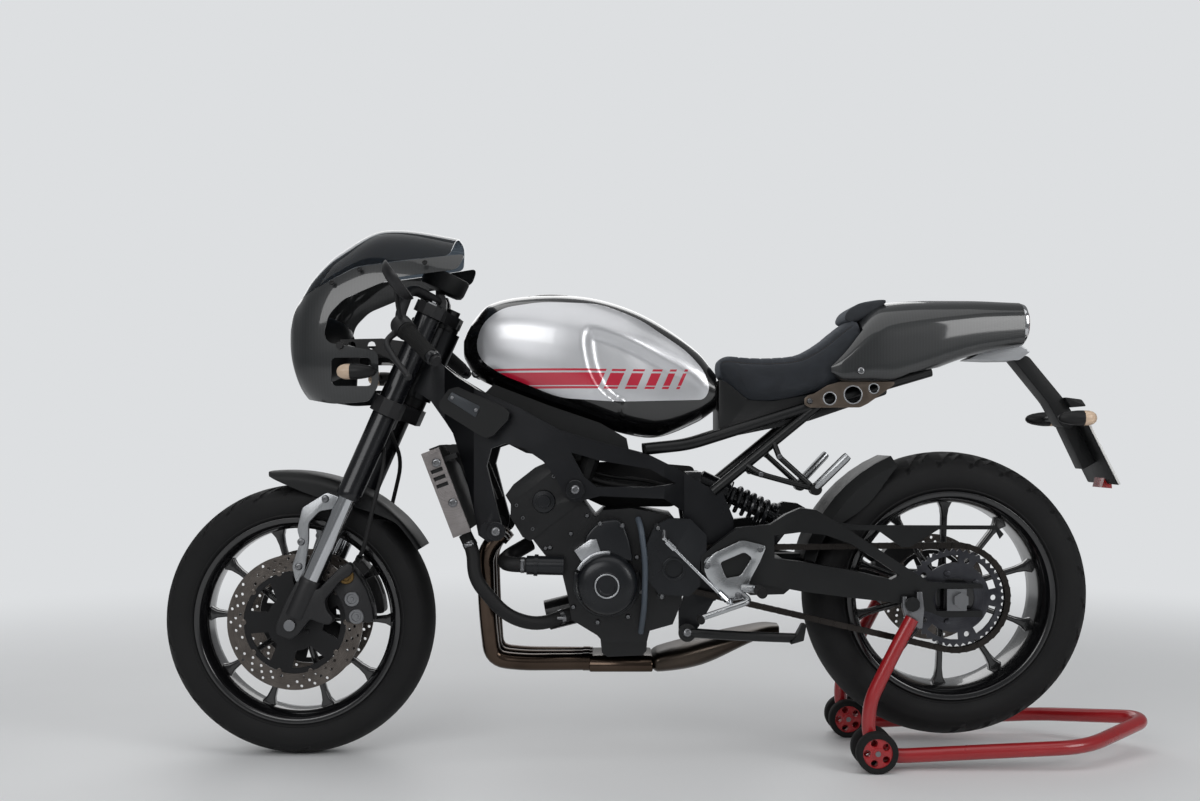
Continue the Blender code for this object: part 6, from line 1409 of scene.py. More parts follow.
def grip():
    """Ribbed grip with a flange at its inner end."""
    points = mm([(11.8, 20), (20.5, 20), (21.2, 22.5), (20.5, 25), (16.8, 27)])
    for k in range(22):
        start = 0.0285 + k * 0.0043
        points += [(0.0166, start), (0.017, start + 0.001), (0.017, start + 0.0022),
            (0.0162, start + 0.003)]
    return along(points + [(0.016, 0.1255), (0.0118, 0.1265)], GRIP_FROM, GRIP_WAY, 36)


def bar_fittings():
    """Switch block, lever with its clamp, mirror stalk and mirror shell of the left hand."""
    switch = along(mm([(11.7, -16), (20.5, -15), (22.5, -10), (22.5, 12), (20.5, 17.5), (11.7, 18.5)]),
        GRIP_FROM, GRIP_WAY, 28)
    lever = pipe(mm([(545, 218, 932), (574, 236, 905), (548, 272, 868), (512, 322, 828)]),
        [0.0088, 0.007, 0.0062, 0.0058], 0.03)
    knob = along(mm([(0, -6), (5.5, -5), (7.8, 0), (5.5, 5), (0, 6)]), (0.512, 0.322, 0.828),
        (-0.5, 0.7, -0.55), 20)
    perch = block((0.536, 0.206, 0.92), (0.56, 0.228, 0.944), 0.004)
    stalk = pipe(mm([(540, 216, 938), (545, 240, 975), (542, 285, 1005), (540, 298, 1014)]), 0.0052, 0.02)
    shell = along(mm([(0, -12.5), (18, -11.8), (34, -9), (44, -1), (47.8, 7.5), (47.8, 10.5), (45.5, 11.2),
        (44, 9.5), (0, 9.5)]), (0.5415, 0.3, 1.0205), (-0.81, -0.05, 0.59), 48)
    return joined(switch, lever, knob, perch, stalk, shell)


def bar_weight():
    """Turned weight at the bar's end."""
    return along(mm([(0, 126.2), (15, 126.2), (15.8, 127.5), (15.8, 138.5), (13.5, 140.5), (7, 141),
        (6, 138.5), (0, 138.5)]), GRIP_FROM, GRIP_WAY, 32)


reservoir = joined(along(mm([(0, 0), (20.5, 0), (22, 1.5), (22, 24.5), (0, 24.5)]), (0.56, -0.215, 0.962),
    (0, 0, 1), 36), along(mm([(0, 25), (22.6, 25), (22.6, 30), (20.5, 32.5), (0, 32.5)]),
    (0.56, -0.215, 0.962), (0, 0, 1), 36), pipe([(0.56, -0.215, 0.967), (0.552, -0.222, 0.922)], 0.009))
finished("bar_tube", joined(pair(pipe, BAR_ROUTE, 0.0115, 0.034, 5), pair(bar_fittings), reservoir),
    "steering", black_casting, ("handlebar",))
# moulded grip rubber: matt, nearly black
grip_rubber = coat("moulded_grip_rubber", "#101011", "#191919", 0.78, 0.0, 0.9, 0.3)
finished("bar_grips", pair(grip), "steering", grip_rubber)
finished("bar_weights", pair(bar_weight), "steering", anodised)
# silvered mirror glass: a clear, sharp reflection
mirror_glass = coat("silvered_mirror_glass", "#C9CCCE", "#D2D5D7", 0.03, 1.0, 9.0, 0.0)
finished("mirror_glasses", pair(lambda: along(mm([(0, 9.4), (43.8, 9.4), (43.8, 10.4), (0, 10.4)]),
    (0.5415, 0.3, 1.0205), (-0.81, -0.05, 0.59), 48)), "steering", mirror_glass)
DIAL = ((0.487, 0, 1.032), (-0.42, 0, 0.91))
finished("dial_case", joined(along(mm([(0, 0), (40, 0), (48.5, 4), (51.5, 12), (52, 38), (50.5, 43.5),
    (47, 45), (45.5, 42.5), (0, 40.5)]), *DIAL, 64), block((0.479, -0.011, 1.009), (0.497, 0.011, 1.036),
    0.002)), "steering", moulded, ("instrument",))
# smoked dial glass: glossy and half see-through
finished("dial_glass", along(mm([(0, 41.2), (45.4, 43), (45.4, 43.6), (0, 43.2)]), *DIAL, 64), "steering",
    glazed("dial_glass", "#59616A", 0.05, 0.5))

# -------------------- engine
# Three leaning cylinders on a cast crankcase, painted black. The generator cover on the left has
# faced aluminium accents; the clutch cover is on the right. Zinc-plated screws hold the covers.
CRANK = Vector((0.113, 0, 0.392))
CLUTCH = Vector((0.018, 0, 0.405))
GEARBOX = Vector((-0.03, 0, 0.42497))
SHIELD = mm([(56, 440), (64, 482.8), (77.2, 519.9), (90.5, 530.5), (125, 527.9), (143.6, 514.6),
    (159.5, 493.4), (170, 440)])
FACET = mm([(183.4, 464.2), (148.9, 488.1), (135.6, 489.1), (123.4, 453.6), (164.8, 437.6)])


def ring(centre, inner, outer, low, high, ease=0.0006):
    """Flat ring about a line along Y."""
    return slab(circle(centre.x, centre.z, outer, 64), low, high, [circle(centre.x, centre.z, inner, 64)],
        ease)


def screws_at(places, y, radius=0.006, height=0.006, sides=(1,)):
    """Button heads on a side face of one or both sides, at (x, z) places."""
    return [((x, side * y, z), (0, side, 0), radius, height) for side in sides for x, z in places]


# baked black paint on cast aluminium: satin, with the grain of the casting under it
engine_paint = coat("baked_engine_paint", "#0A0A0C", "#131416", 0.34, 0.2, 1.3, 0.45)
# paint on the machined covers: satin, smoother and a shade lighter than the block's
cover_paint = coat("satin_cover_paint", "#101215", "#1A1C20", 0.28, 0.3, 1.0, 0.15)
# aluminium faced in a lathe, its cuts running round the crankshaft
faced = turned_metal("faced_aluminium", CRANK, "#A2A4A7", "#C6C8CB", 0.3, 1.0, 0.5)
dressed("engine_block", "crankcase_and_cylinders", [engine_paint, cover_paint], 0.003, 3,
    pick=lambda at: 1 if at.y > 0.125 and at.x < 0.05 else 0)
generator = along(mm([(0, 183.5), (16.5, 183.5), (18.5, 185), (22, 185), (23.2, 186.5), (27.5, 186.5),
    (29, 185), (40, 184), (52, 181.5), (59, 176.5), (64, 168), (66.2, 156), (66.5, 106), (0, 106)]), CRANK,
    (0, 1, 0), 96)
shield = slab(softened(SHIELD, 0.012), 0.1058, 0.15, ease=0.005, segments=4)
flange = slab(arc(CRANK, 0.06, 0.0735, radians(-200), radians(20), 40), 0.1058, 0.128, ease=0.003)
finished("generator_casting", joined(generator, shield, flange), "chassis", cover_paint,
    ("generator_cover",))
finished("generator_accents", joined(slab(FACET, 0.106, 0.1535, ease=0.002),
    slab(arc(CRANK, 0.0655, 0.0722, radians(27), radians(96)), 0.14, 0.159, ease=0.0012),
    ring(CRANK, 0.0232, 0.0262, 0.185, 0.1882)), "chassis", faced)
clutch = along(mm([(0, 176), (20, 176), (22.5, 178), (40, 178), (56, 175.5), (67, 170.5), (74.5, 163),
    (79, 154), (80, 106), (0, 106)]), CLUTCH, (0, -1, 0), 96)
crank_end = along(mm([(0, 149), (30, 149), (44.5, 146.5), (51.5, 138), (54, 106), (0, 106)]), CRANK,
    (0, -1, 0), 72)
finished("clutch_casting", joined(clutch, crank_end), "chassis", cover_paint,
    ("clutch_cover",))
finished("sprocket_cover_ring", ring(GEARBOX, 0.0196, 0.025, 0.149, 0.153), "chassis",
    cover_paint)
rim_of_clutch = polar(CLUTCH, [(0.0715, radians(a)) for a in range(20, 380, 45)])
button_heads("engine_screws", screws_at(mm([(191.5, 497), (236.5, 467), (174, 382), (186, 338), (133, 305),
    (67, 317), (38.5, 371), (48, 446)]), 0.104) + screws_at(mm([(30, 448), (4, 512), (-4, 366), (80, 517),
    (128, 521.5)]), 0.1495) + screws_at(rim_of_clutch, 0.166, 0.0055, 0.005, (-1,)), "chassis",
    zinc)
lean = Vector((sin(radians(38)), 0, cos(radians(38))))
ahead = Vector((lean.z, 0, -lean.x))
head_screws = [CRANK + lean * a + ahead * b for a, b in ((0.19, -0.052), (0.19, 0.056), (0.252, -0.05),
    (0.252, 0.052), (0.222, -0.056), (0.222, 0.058), (0.14, 0.06), (0.14, -0.055))]
button_heads("head_screws", [((p.x, s * 0.1036, p.z), (0, s, 0), 0.0055, 0.005) for p in head_screws
    for s in (1, -1)], "chassis", zinc)
cap_at = CRANK + lean * 0.222 + Vector((0, 0.1, 0))
pump = joined(along(mm([(0, 0), (25, 0), (25, 12), (23.5, 15), (15, 16), (14, 24), (0, 25)]), cap_at,
    (0, 1, 0), 48), rod((0.206, 0.118, 0.4285), (0.286, 0.118, 0.43), 0.0205, 40),
    rod((0.262, 0.118, 0.4295), (0.27, 0.118, 0.43), 0.0235, 40))
finished("water_pump_body", pump, "chassis", cover_paint)
finished("water_pump_hose", pipe(mm([(284, 118, 430), (332, 118, 432), (338, 62, 440), (283, 30, 470)]),
    0.0165, 0.03, 6), "chassis", hose_rubber)
finished("water_pump_clips", joined(rod((0.291, 0.118, 0.43), (0.299, 0.118, 0.4302), 0.0175, 40),
    rod((0.295, 0.134, 0.424), (0.295, 0.134, 0.44), 0.0038)), "chassis", zinc)
dressed("intake", "airbox_and_throttles", moulded, 0.002, 2)

# -------------------- shade sheet and cables
# A dark rubber sheet hanging under the air box above the gearbox, standing for the shade seen between the
# frame spars there: painted shade. The wiring and breather runs cross inside the frame spars and are
# clipped in place.
# dark sheet that stands for the shade seen through the frame here: painted shade
shade_sheet = slab(softened(mm([(185, 648), (60, 652), (-85, 640), (-90, 600), (-40, 548), (120, 548),
    (178, 575)]), 0.012), -0.04, -0.035, ease=0.001)
finished("painted_shade_sheet", shade_sheet, "chassis", hose_rubber)
looms = [pipe([(0.215, y, 0.64 + d), (0.12, y + 0.004, 0.606 + d), (0.02, y, 0.594 + d), (-0.07, y - 0.006,
    0.566 + d), (-0.088, y - 0.01, 0.53 + d)], r, 0.03, 4) for y, d, r in ((0.072, 0.0, 0.006),
    (0.062, 0.016, 0.0042), (0.08, -0.012, 0.0036), (-0.064, 0.004, 0.0058))]
finished("cable_runs", joined(*looms), "chassis", hose_rubber)
straps = [rod((x - 0.003, 0.071, z), (x + 0.003, 0.071, z - 0.001), 0.0085, 24) for x, z in ((0.1, 0.6055),
    (0.03, 0.595))]
finished("cable_straps", joined(*straps), "chassis", moulded)

# -------------------- cooling
# Brazed aluminium radiator, black, under a pressed aluminium cover each side with three slots; a rubber
# hose with worm-drive clips runs to the water pump and a thin drain hose down the left of the engine.

# black paint on brazed fins, which are too fine to show: a matt grain of 1.5 mm stands in for them
fins = coat("black_radiator_fins", "#0E0E0F", "#19191A", 0.6, 0.2, 1.5, 0.8)
# pressed aluminium cover: satin, a slightly warm grey
pressed = turned_metal("pressed_aluminium_cover", Vector((0.45, 0, 0.6)), "#807B7A", "#A09B9A", 0.34, 1.0,
    0.9)
dressed("radiator", "radiator_and_covers", [fins, pressed], 0.0012, 2, pick=lambda at: 1
    if abs(at.y) > 0.1485 and abs(abs(at.y) - 0.156) > 0.0004 else 0)
button_heads("radiator_cover_screws", screws_at([(0.476, 0.652), (0.441, 0.567)], 0.1618, 0.0098, 0.005,
    (1, -1)), "chassis", zinc)
HOSE = mm([(420, 112, 496.5), (402, 118, 460), (398, 130, 400), (330, 132, 322), (262, 122, 300),
    (190, 85, 322)])
finished("coolant_hose_moulding", pipe(HOSE, 0.0148, 0.05, 7), "chassis", hose_rubber,
    ("coolant_hose",))
clips = []
for a, b, far in ((HOSE[0], HOSE[1], 0.02), (HOSE[5], HOSE[4], 0.022)):
    run = (Vector(b) - Vector(a)).normalized()
    clips.append(rod(Vector(a) + run * far, Vector(a) + run * (far + 0.009), 0.0158, 40))
    clips.append(rod(Vector(a) + run * (far + 0.0045) + Vector((-0.006, 0.017, 0)),
        Vector(a) + run * (far + 0.0045) + Vector((0.008, 0.017, 0)), 0.0038))
finished("hose_clips", joined(*clips), "chassis", zinc)
drain = pipe(mm([(46, 125, 530), (40, 152, 512), (31, 160, 440), (33, 156, 345), (39.5, 112, 283.5)]),
    0.0062, 0.03, 5)
# silicone tube: blue-grey, satin
finished("drain_hose", drain, "chassis", coat("grey_silicone_tube", "#3C434B", "#4B535C", 0.35,
    0.0, 2.0, 0.1))

# -------------------- exhaust
# Three stainless headers, heat-tinted bronze, run down in front of the engine into a collector and a
# low silencer that leaves to the right ahead of the rear wheel.

# heat-tinted stainless steel: dark grey-brown, half gloss
tinted = coat("heat_tinted_steel", "#3A312A", "#5E5046", 0.2, 1.0, 1.6, 0.03)
# bead-blasted steel: satin, dark grey-brown, with an even fine grain
blasted = coat("bead_blasted_steel", "#3E3833", "#564D45", 0.32, 1.0, 0.7, 0.12)
SILENCER = mm([(16, 55, 193, 221, 0), (0, 75, 184, 231, -5), (-100, 80, 194, 252, -40),
    (-210, 66, 234, 268, -85), (-255, 50, 247, 273, -105), (-285, 34, 249, 271, -112)])


def silencer_place(u, v):
    """Place on the silencer's skin, which swings out to the right as it runs back."""
    x = 0.016 - 0.301 * u
    half, low, high, middle = flowing(SILENCER, x)
    y, z = oval(v, half, low, high, 3)
    return Vector((x, middle + y, z))


pipes = []
for y, top_y in ((0.052, 0.078), (0.0, 0.0), (-0.052, -0.078)):
    pipes.append(pipe([(0.345, top_y, 0.497), (0.38, top_y, 0.455), (0.376, top_y, 0.33),
        (0.366, y, 0.217), (0.3, y, 0.209), (0.145, y * 0.85, 0.209)], 0.0188, 0.062, 7))
    pipes.append(rod((0.346, top_y, 0.4958), (0.3525, top_y, 0.488), 0.0245, 40))
    pipes.append(rod((0.151, y * 0.853, 0.209), (0.166, y * 0.862, 0.209), 0.0198, 40))
collector = slab(softened(mm([(75, 189), (-68, 189), (-72, 206), (-60, 224), (66, 224), (80, 206)]), 0.01),
    0.012, 0.152, ease=0.004)
bmesh.ops.rotate(collector, verts=collector.verts, cent=(0, 0, 0), matrix=Matrix.Rotation(radians(-90), 3,
    "Z"))
finished("exhaust_headers", joined(collector, *pipes), "chassis", tinted, ("exhaust",))
outlet = rod((-0.262, -0.1085, 0.2605), (-0.3, -0.1125, 0.2605), 0.0085, 32)
bmesh.ops.scale(outlet, verts=outlet.verts, vec=(1, 2.6, 1), space=Matrix.Translation((0, 0.111, 0)))
finished("exhaust_silencer", carved(wrapped(60, 64, silencer_place), outlet), "chassis", blasted)

# -------------------- chain
# Roller chain: inner and outer plate pairs in turn on pins and rollers, each link one pitch long, wrapped
# on the gearbox and wheel sprockets with straight runs between.
WHEEL_SPROCKET = Vector((-0.64095, 0, 0.35899))
SMALL_R, LARGE_R, CHAIN_Y = 0.04069, 0.11379, 0.109


def chain_route(fine=160):
    """Closed line of the chain round both sprockets, as (x, z) points."""
    span = WHEEL_SPROCKET - GEARBOX
    lean, base = asin((LARGE_R - SMALL_R) / span.length), atan2(span.z, span.x)
    quarter, points = pi / 2 + lean, []
    for centre, radius, start, sweep in ((WHEEL_SPROCKET, LARGE_R, base - quarter, 2 * quarter),
            (GEARBOX, SMALL_R, base + quarter, 2 * pi - 2 * quarter)):
        for k in range(fine + 1):
            angle = start + sweep * k / fine
            points.append(Vector((centre.x + radius * cos(angle), centre.z + radius * sin(angle))))
    return points + points[:1]


def evenly(points, count):
    """Places along a line at equal steps of its length."""
    steps = [(b - a).length for a, b in zip(points, points[1:])]
    out, gone, i = [], 0.0, 0
    for k in range(count):
        want = sum(steps) * k / count
        while gone + steps[i] < want:
            gone += steps[i]
            i += 1
        out.append(points[i].lerp(points[i + 1], (want - gone) / steps[i]))
    return out


def link_plate(a, b, low, high):
    """Waisted side plate round two pins."""
    turn, outline = atan2(b.y - a.y, b.x - a.x), []
    for pin, start in ((b, -115), (a, 65)):
        for k in range(7):
            angle = turn + radians(start + 230 * k / 6)
            outline.append((pin.x + 0.0068 * cos(angle), pin.y + 0.0068 * sin(angle)))
    return slab(outline, low, high)


route = chain_route()
links = 2 * round(sum((b - a).length for a, b in zip(route, route[1:])) / CHAIN_PITCH / 2)
pins = evenly(route, links)
plates, rollers = [], []
for k, (a, b) in enumerate(zip(pins, pins[1:] + pins[:1])):
    inside = 0.004 if k % 2 else 0.006
    for way in (1, -1):
        plates.append(link_plate(a, b,
            *sorted((CHAIN_Y + way * inside, CHAIN_Y + way * (inside + 0.0018)))))
    rollers.append(rod((a.x, CHAIN_Y - 0.0038, a.y), (a.x, CHAIN_Y + 0.0038, a.y), 0.005, 14))
    rollers.append(rod((a.x, CHAIN_Y - 0.0084, a.y), (a.x, CHAIN_Y + 0.0084, a.y), 0.0025, 10))
# oiled chain steel: dark, glossier where the oil has gathered
oiled = coat("oiled_chain_steel", "#232120", "#3F3B38", 0.32, 0.9, 0.8, 0.15)
finished("chain_plates", joined(*plates), "chassis", oiled, ("chain",))
finished("chain_rollers", joined(*rollers), "chassis", oiled)

# -------------------- rear brake, shock and guard
# Cast caliper over the rear disc, a gas shock with its coil spring lying between swingarm and frame,
# and a moulded guard over the front of the rear tyre.
dressed("rear_axle", "rear_spindle", zinc, 0.0008, 2)
dressed("rear_caliper", "rear_caliper_casting", black_casting, 0.0022, 3)
dressed("rear_hugger", "rear_guard", moulded, 0.0008, 2)
SHOCK_LOW, SHOCK_HIGH = Vector((-0.292, 0, 0.512)), Vector((-0.075, 0, 0.618))
shock_run = (SHOCK_HIGH - SHOCK_LOW).normalized()
shock_long = (SHOCK_HIGH - SHOCK_LOW).length
damper = along([(0, 0), (0.0115, 0), (0.0115, 0.026), (0.02, 0.03), (0.0325, 0.0315), (0.0325, 0.0355),
    (0.0165, 0.037), (0.0165, 0.1465), (0.0325, 0.1475), (0.0325, 0.1505), (0.0255, 0.153),
    (0.0255, shock_long - 0.022), (0.02, shock_long - 0.018), (0.0115, shock_long - 0.018),
    (0.0115, shock_long), (0, shock_long)], SHOCK_LOW, shock_run, 48)
rocker = slab(softened(mm([(-296, 505), (-250, 444.5), (-215, 446.5), (-272, 522)]), 0.005), -0.022, 0.022,
    ease=0.002)
finished("shock_body", joined(damper, rocker, block((-0.095, -0.07, 0.606), (-0.06, 0.07, 0.63), 0.002)),
    "chassis", anodised, ("shock_absorber",))
across = shock_run.orthogonal().normalized()
coil = []
for k in range(12 * 6 + 1):
    turn = Matrix.Rotation(2 * pi * k / 12, 3, shock_run)
    coil.append(SHOCK_LOW + shock_run * (0.041 + 0.101 * k / 72) + turn @ across * 0.0268)
# enamelled spring steel: satin black paint
finished("shock_spring", pipe(coil, 0.0052, 0.03, 2), "chassis",
    coat("enamelled_spring_steel", "#1B1C1F", "#26272B", 0.3, 0.3, 1.4, 0.1, 0.4))

# -------------------- rear frame and frame bolts
# Bolted tube frame under the seat with a moulded tray, a pierced plate each side and the passenger's
# folded footrests. Large bolts with black washers hold the main frame to the engine.

# bronze anodised aluminium: grey-brown, satin
bronze = coat("bronze_anodised_plate", "#5A5048", "#71665C", 0.32, 0.8, 0.9, 0.15)
TRAY = mm([(-132, 702), (-330, 742), (-500, 800), (-500, 816), (-330, 800), (-250, 786), (-196, 788),
    (-150, 826), (-132, 834)])
SEAT_PLATE = mm([(-324, 798), (-314.5, 790), (-315.5, 777), (-326, 770.5), (-435.8, 770.8), (-452.5, 779),
    (-510, 820), (-510, 826.5), (-392, 826.5), (-366, 819.5), (-336, 800.5)])
PLATE_HOLES = mm([(-370, 790.5, 12.5), (-420.5, 798.5, 18), (-465.5, 812, 9.5)])
PEG_FRAME = mm([(-190, 96, 647), (-220, 112, 626), (-337, 112, 594), (-260, 112, 664), (-250, 96, 696)])


def rear_rails():
    """Upper rail and strut of one side."""
    return joined(pipe(mm([(30, 106, 680), (-67, 92, 690), (-326, 92, 772), (-600, 60, 852)]), 0.0124,
        0.03, 6), pipe([(-0.118, 0.092, 0.588), (-0.35, 0.092, 0.778)], 0.0112, 0.03, 5))


def peg_struts():
    """Bent struts and hinge of the folded passenger footrest."""
    return joined(pipe(PEG_FRAME[:4], 0.0064, 0.02, 4), pipe([PEG_FRAME[3], PEG_FRAME[4]], 0.0064, 0.02,
        4), rod((-0.337, 0.102, 0.594), (-0.337, 0.134, 0.594), 0.0128, 32))


def side_places(places, side, *nodes):
    """Outermost places on the side of CAD nodes at (x, z), looked at squarely from that side."""
    skins = [cad_skin(node) for node in nodes]
    trees = [BVHTree.FromBMesh(skin) for skin in skins]
    out = []
    for x, z in places:
        hits = [tree.ray_cast(Vector((x, side, z)), Vector((0, -side, 0)))[0] for tree in trees]
        out += sorted([hit for hit in hits if hit], key=lambda hit: hit.y * side)[-1:]
    for skin in skins:
        skin.free()
    return out


finished("rear_frame_tubes", joined(pair(rear_rails), pair(peg_struts),
    pipe([(-0.59, -0.062, 0.849), (-0.59, 0.062, 0.849)], 0.0112), slab(softened(TRAY, 0.006), -0.082,
    0.082, ease=0.002)), "chassis", arm_coat, ("subframe",))
finished("seat_plates", pair(lambda: slab(softened(SEAT_PLATE, 0.004), 0.106, 0.11,
    [circle(x, z, r, 40) for x, z, r in PLATE_HOLES], 0.0006)), "chassis", bronze)
finished("seat_plate_rims", pair(lambda: joined(*[ring(Vector((x, 0, z)), r, r + 0.0024, 0.1096, 0.1112,
    0.0004) for x, z, r in PLATE_HOLES])), "chassis", faced)
finished("passenger_pegs", pair(lambda: along(mm([(0, 0), (8.5, 0), (10, 4), (10, 94), (8.5, 100.5),
    (0, 100.5)]), (-0.335, 0.124, 0.596), (-0.07, 0.018, 0.072), 32)), "chassis", machined)
bolts, washers = [((-0.3266, s * 0.11, 0.7847), (0, s, 0), 0.0068, 0.0055) for s in (1, -1)], []
for side in (1, -1):
    bolts += [((x, side * 0.118, z), (0, side, 0), 0.0068, 0.005) for x, z in ((-0.22, 0.626),
        (-0.26, 0.664))]
    for spot in side_places([(0.181, 0.5945), (0.3505, 0.505)], side, "frame", "engine_block"):
        washers.append(along(mm([(8, 0), (20.5, 0), (20.5, 2.8), (19.2, 4), (8, 4)]), spot, (0, side, 0),
            48))
        bolts.append((spot + Vector((0, side * 0.0035, 0)), (0, side, 0), 0.0105, 0.006))
    for spot in side_places([(0.352, 0.802), (0.403, 0.847)], side, "frame", "fuel_tank",
            "tank_panel_left", "tank_panel_right", "side_duct_left", "side_duct_right"):
        bolts.append((spot, (0, side, 0), 0.0098, 0.005))
button_heads("frame_bolts", bolts, "chassis", zinc)
finished("frame_bolt_washers", joined(*washers), "chassis", anodised)

# -------------------- air ducts
# Duct cover on each side of the steering head, injection moulded in black plastic, with a pressed steel
# plate held on its face by two small screws.
DUCT_PLATE = mm([(452, 786.6), (442.8, 802.8), (381.8, 771.8), (392.4, 748.2)])
for word, side in (("left", 1), ("right", -1)):
    dressed("side_duct_" + word, "duct_cover_" + word, moulded, 0.0025, 3)
# pressed steel under dark grey paint: satin, a little metallic
finished("duct_plates", pair(lambda: slab(softened(DUCT_PLATE, 0.003), 0.164, 0.1688, ease=0.001)),
    "chassis", coat("pressed_duct_plate", "#34373A", "#46494D", 0.4, 0.6, 0.9, 0.3))
button_heads("duct_screws", [((x, s * 0.1686, z), (0, s, 0), 0.0042, 0.0022) for s in (1, -1)
    for x, z in ((0.442, 0.7905), (0.3915, 0.764))], "chassis", zinc)

# -------------------- footrests and pedals
# Polished aluminium hanger plates bolted to the frame by the swingarm pivot, rubber-sleeved footrests, the
# shift lever with its chromed rod on the left and the brake lever on the right.
ARM_PIVOT = Vector((-0.11, 0, 0.43597))
HANGER = mm([(-92, 430), (-112, 458), (-175, 488), (-227, 475), (-212, 440), (-190, 400), (-180, 362),
    (-150, 358), (-110, 382)])
HANGER_WINDOW = mm([(-128, 440), (-180, 462), (-196, 450), (-172, 412), (-140, 406)])
# polished aluminium plate: bright, with faint polishing lines
polished = turned_metal("polished_aluminium_plate", ARM_PIVOT, "#A4A6A8", "#C4C6C8", 0.2, 1.0, 1.2)


def hanger(lever):
    """Hanger plate with its bosses, the bent footrest arm and the lever."""
    return joined(slab(softened(HANGER, 0.01), 0.157, 0.164, [softened(HANGER_WINDOW, 0.006)], 0.0012),
        rod((ARM_PIVOT.x, 0.1544, ARM_PIVOT.z), (ARM_PIVOT.x, 0.158, ARM_PIVOT.z), 0.016, 40),
        rod((-0.127, 0.08, 0.387), (-0.127, 0.158, 0.387), 0.008, 24),
        pipe(mm([(-176, 160, 385), (-205, 176, 385), (-207, 196, 385)]), 0.009, 0.012, 6),
        pipe(lever, 0.0064, 0.016, 6))


def sleeve(toe_x, toe_z):
    """Ribbed rubber of the footrest and the plain one on the lever's toe."""
    ribs = [(0, 0.192), (0.0098, 0.192)]
    for k in range(9):
        y = 0.196 + 0.007 * k
        ribs += [(0.011, y), (0.011, y + 0.0045), (0.0097, y + 0.0052), (0.0097, y + 0.0064)]
    ribs += mm([(10.5, 259.5), (8.8, 262), (0, 262)])
    return joined(along(ribs, (-0.2068, 0, 0.385), (0, 1, 0), 32),
        along(mm([(0, 188), (7, 188), (8, 190), (8, 230), (7, 232), (0, 232)]), (toe_x, 0, toe_z),
        (0, 1, 0), 24))


SHIFT = mm([(-176, 160, 372), (-190, 184, 360), (-150, 194, 348), (-83, 194, 325)])
BRAKE = mm([(-176, 160, 372), (-190, 184, 360), (-150, 198, 348), (-62, 200, 330)])
shift_rod = joined(pipe([(-0.15, 0.168, 0.358), (-0.15, 0.19, 0.352)], 0.0045),
    pipe([(-0.146, 0.174, 0.354), (-0.009, 0.164, 0.49)], 0.0038, 0.01, 5), rod((-0.1408, 0.1736, 0.3592),
    (-0.124, 0.1724, 0.3758), 0.006, 6), rod((-0.031, 0.1656, 0.4682), (-0.0142, 0.1644, 0.4848), 0.006,
    6), pipe([(-0.009, 0.168, 0.49), (-0.009, 0.148, 0.505)], 0.0045))
finished("left_hanger", hanger(SHIFT), "chassis", polished, ("footrest_left",))
finished("right_hanger", mirrored(hanger(BRAKE)), "chassis", polished, ("footrest_right",))
finished("foot_rubbers", joined(sleeve(-0.083, 0.325), mirrored(sleeve(-0.062, 0.331))), "chassis",
    grip_rubber)
finished("pedal_rods", joined(shift_rod, mirrored(pipe([(-0.15, 0.161, 0.44), (-0.15, 0.19, 0.348)],
    0.004))), "chassis", hard_chrome)
button_heads("hanger_screws", screws_at(mm([(-100, 433), (-213, 468), (-166, 370)]), 0.1638, 0.0066, 0.005,
    (1, -1)), "chassis", zinc)

# -------------------- side stand
# Forged steel leg, powder coated black, on a bolt under the left of the frame. It is drawn folded up,
# and its foot is a flat pad welded to its end.
PROP = Vector((-0.06, 0.1275, 0.285))
prop_line = Vector((0, -cos(radians(15)), -sin(radians(15))))
prop_foot = slab([(PROP.x + x, PROP.z + z) for x, z in softened(mm([(-218, -20), (-246, -12), (-252, 22),
    (-244, 22), (-232, 0)]), 0.002)], PROP.y + 0.002, PROP.y + 0.036, ease=0.001)
finished("prop_leg", joined(rod(PROP - prop_line * 0.005, PROP + prop_line * 0.005, 0.019, 48), prop_foot,
    pipe([PROP + Vector((-0.008, 0, 0)), PROP + Vector((-0.11, 0.006, -0.006)),
    PROP + Vector((-0.235, 0.016, -0.009))], 0.0104, 0.05, 6)), "side_stand", arm_coat,
    ("side_stand",))
button_heads("prop_bolt", [(PROP - prop_line * 0.0045, -prop_line, 0.01, 0.006)], "side_stand",
    zinc)

# -------------------- plate holder
# Cast bracket under the tail, a moulded arm with the lamp hood and indicator stalk, and a blank plate
# with a red reflector under it.
ARM = mm([(-785, 888), (-826, 888), (-905, 792), (-935, 745), (-925, 722), (-900, 730), (-870, 783)])
BRACKET = mm([(-689, 879), (-742, 905), (-795, 918), (-828, 896.6), (-803, 877.5), (-745, 876.5)])
finished("plate_arm", joined(slab(softened(ARM, 0.008), -0.03, 0.03, ease=0.003, segments=3),
    slab(softened(mm([(-902, 795), (-940, 790), (-950, 775), (-915, 772)]), 0.004), -0.045, 0.045,
    ease=0.002), slab(softened(mm([(-905, 728), (-950, 634), (-978, 650), (-932, 744)]), 0.003), -0.026,
    0.026, ease=0.002), rod((-0.905, -0.105, 0.748), (-0.905, 0.105, 0.748), 0.006, 24)), "chassis",
    moulded, ("plate_holder",))
# silver paint on the cast bracket: half gloss, a little metallic
finished("plate_bracket", slab(softened(BRACKET, 0.005), -0.04, 0.04, ease=0.003, segments=3), "chassis",
    coat("silver_painted_bracket", "#A9ABAE", "#B9BBBE", 0.3, 0.5, 1.2, 0.1, 0.4))
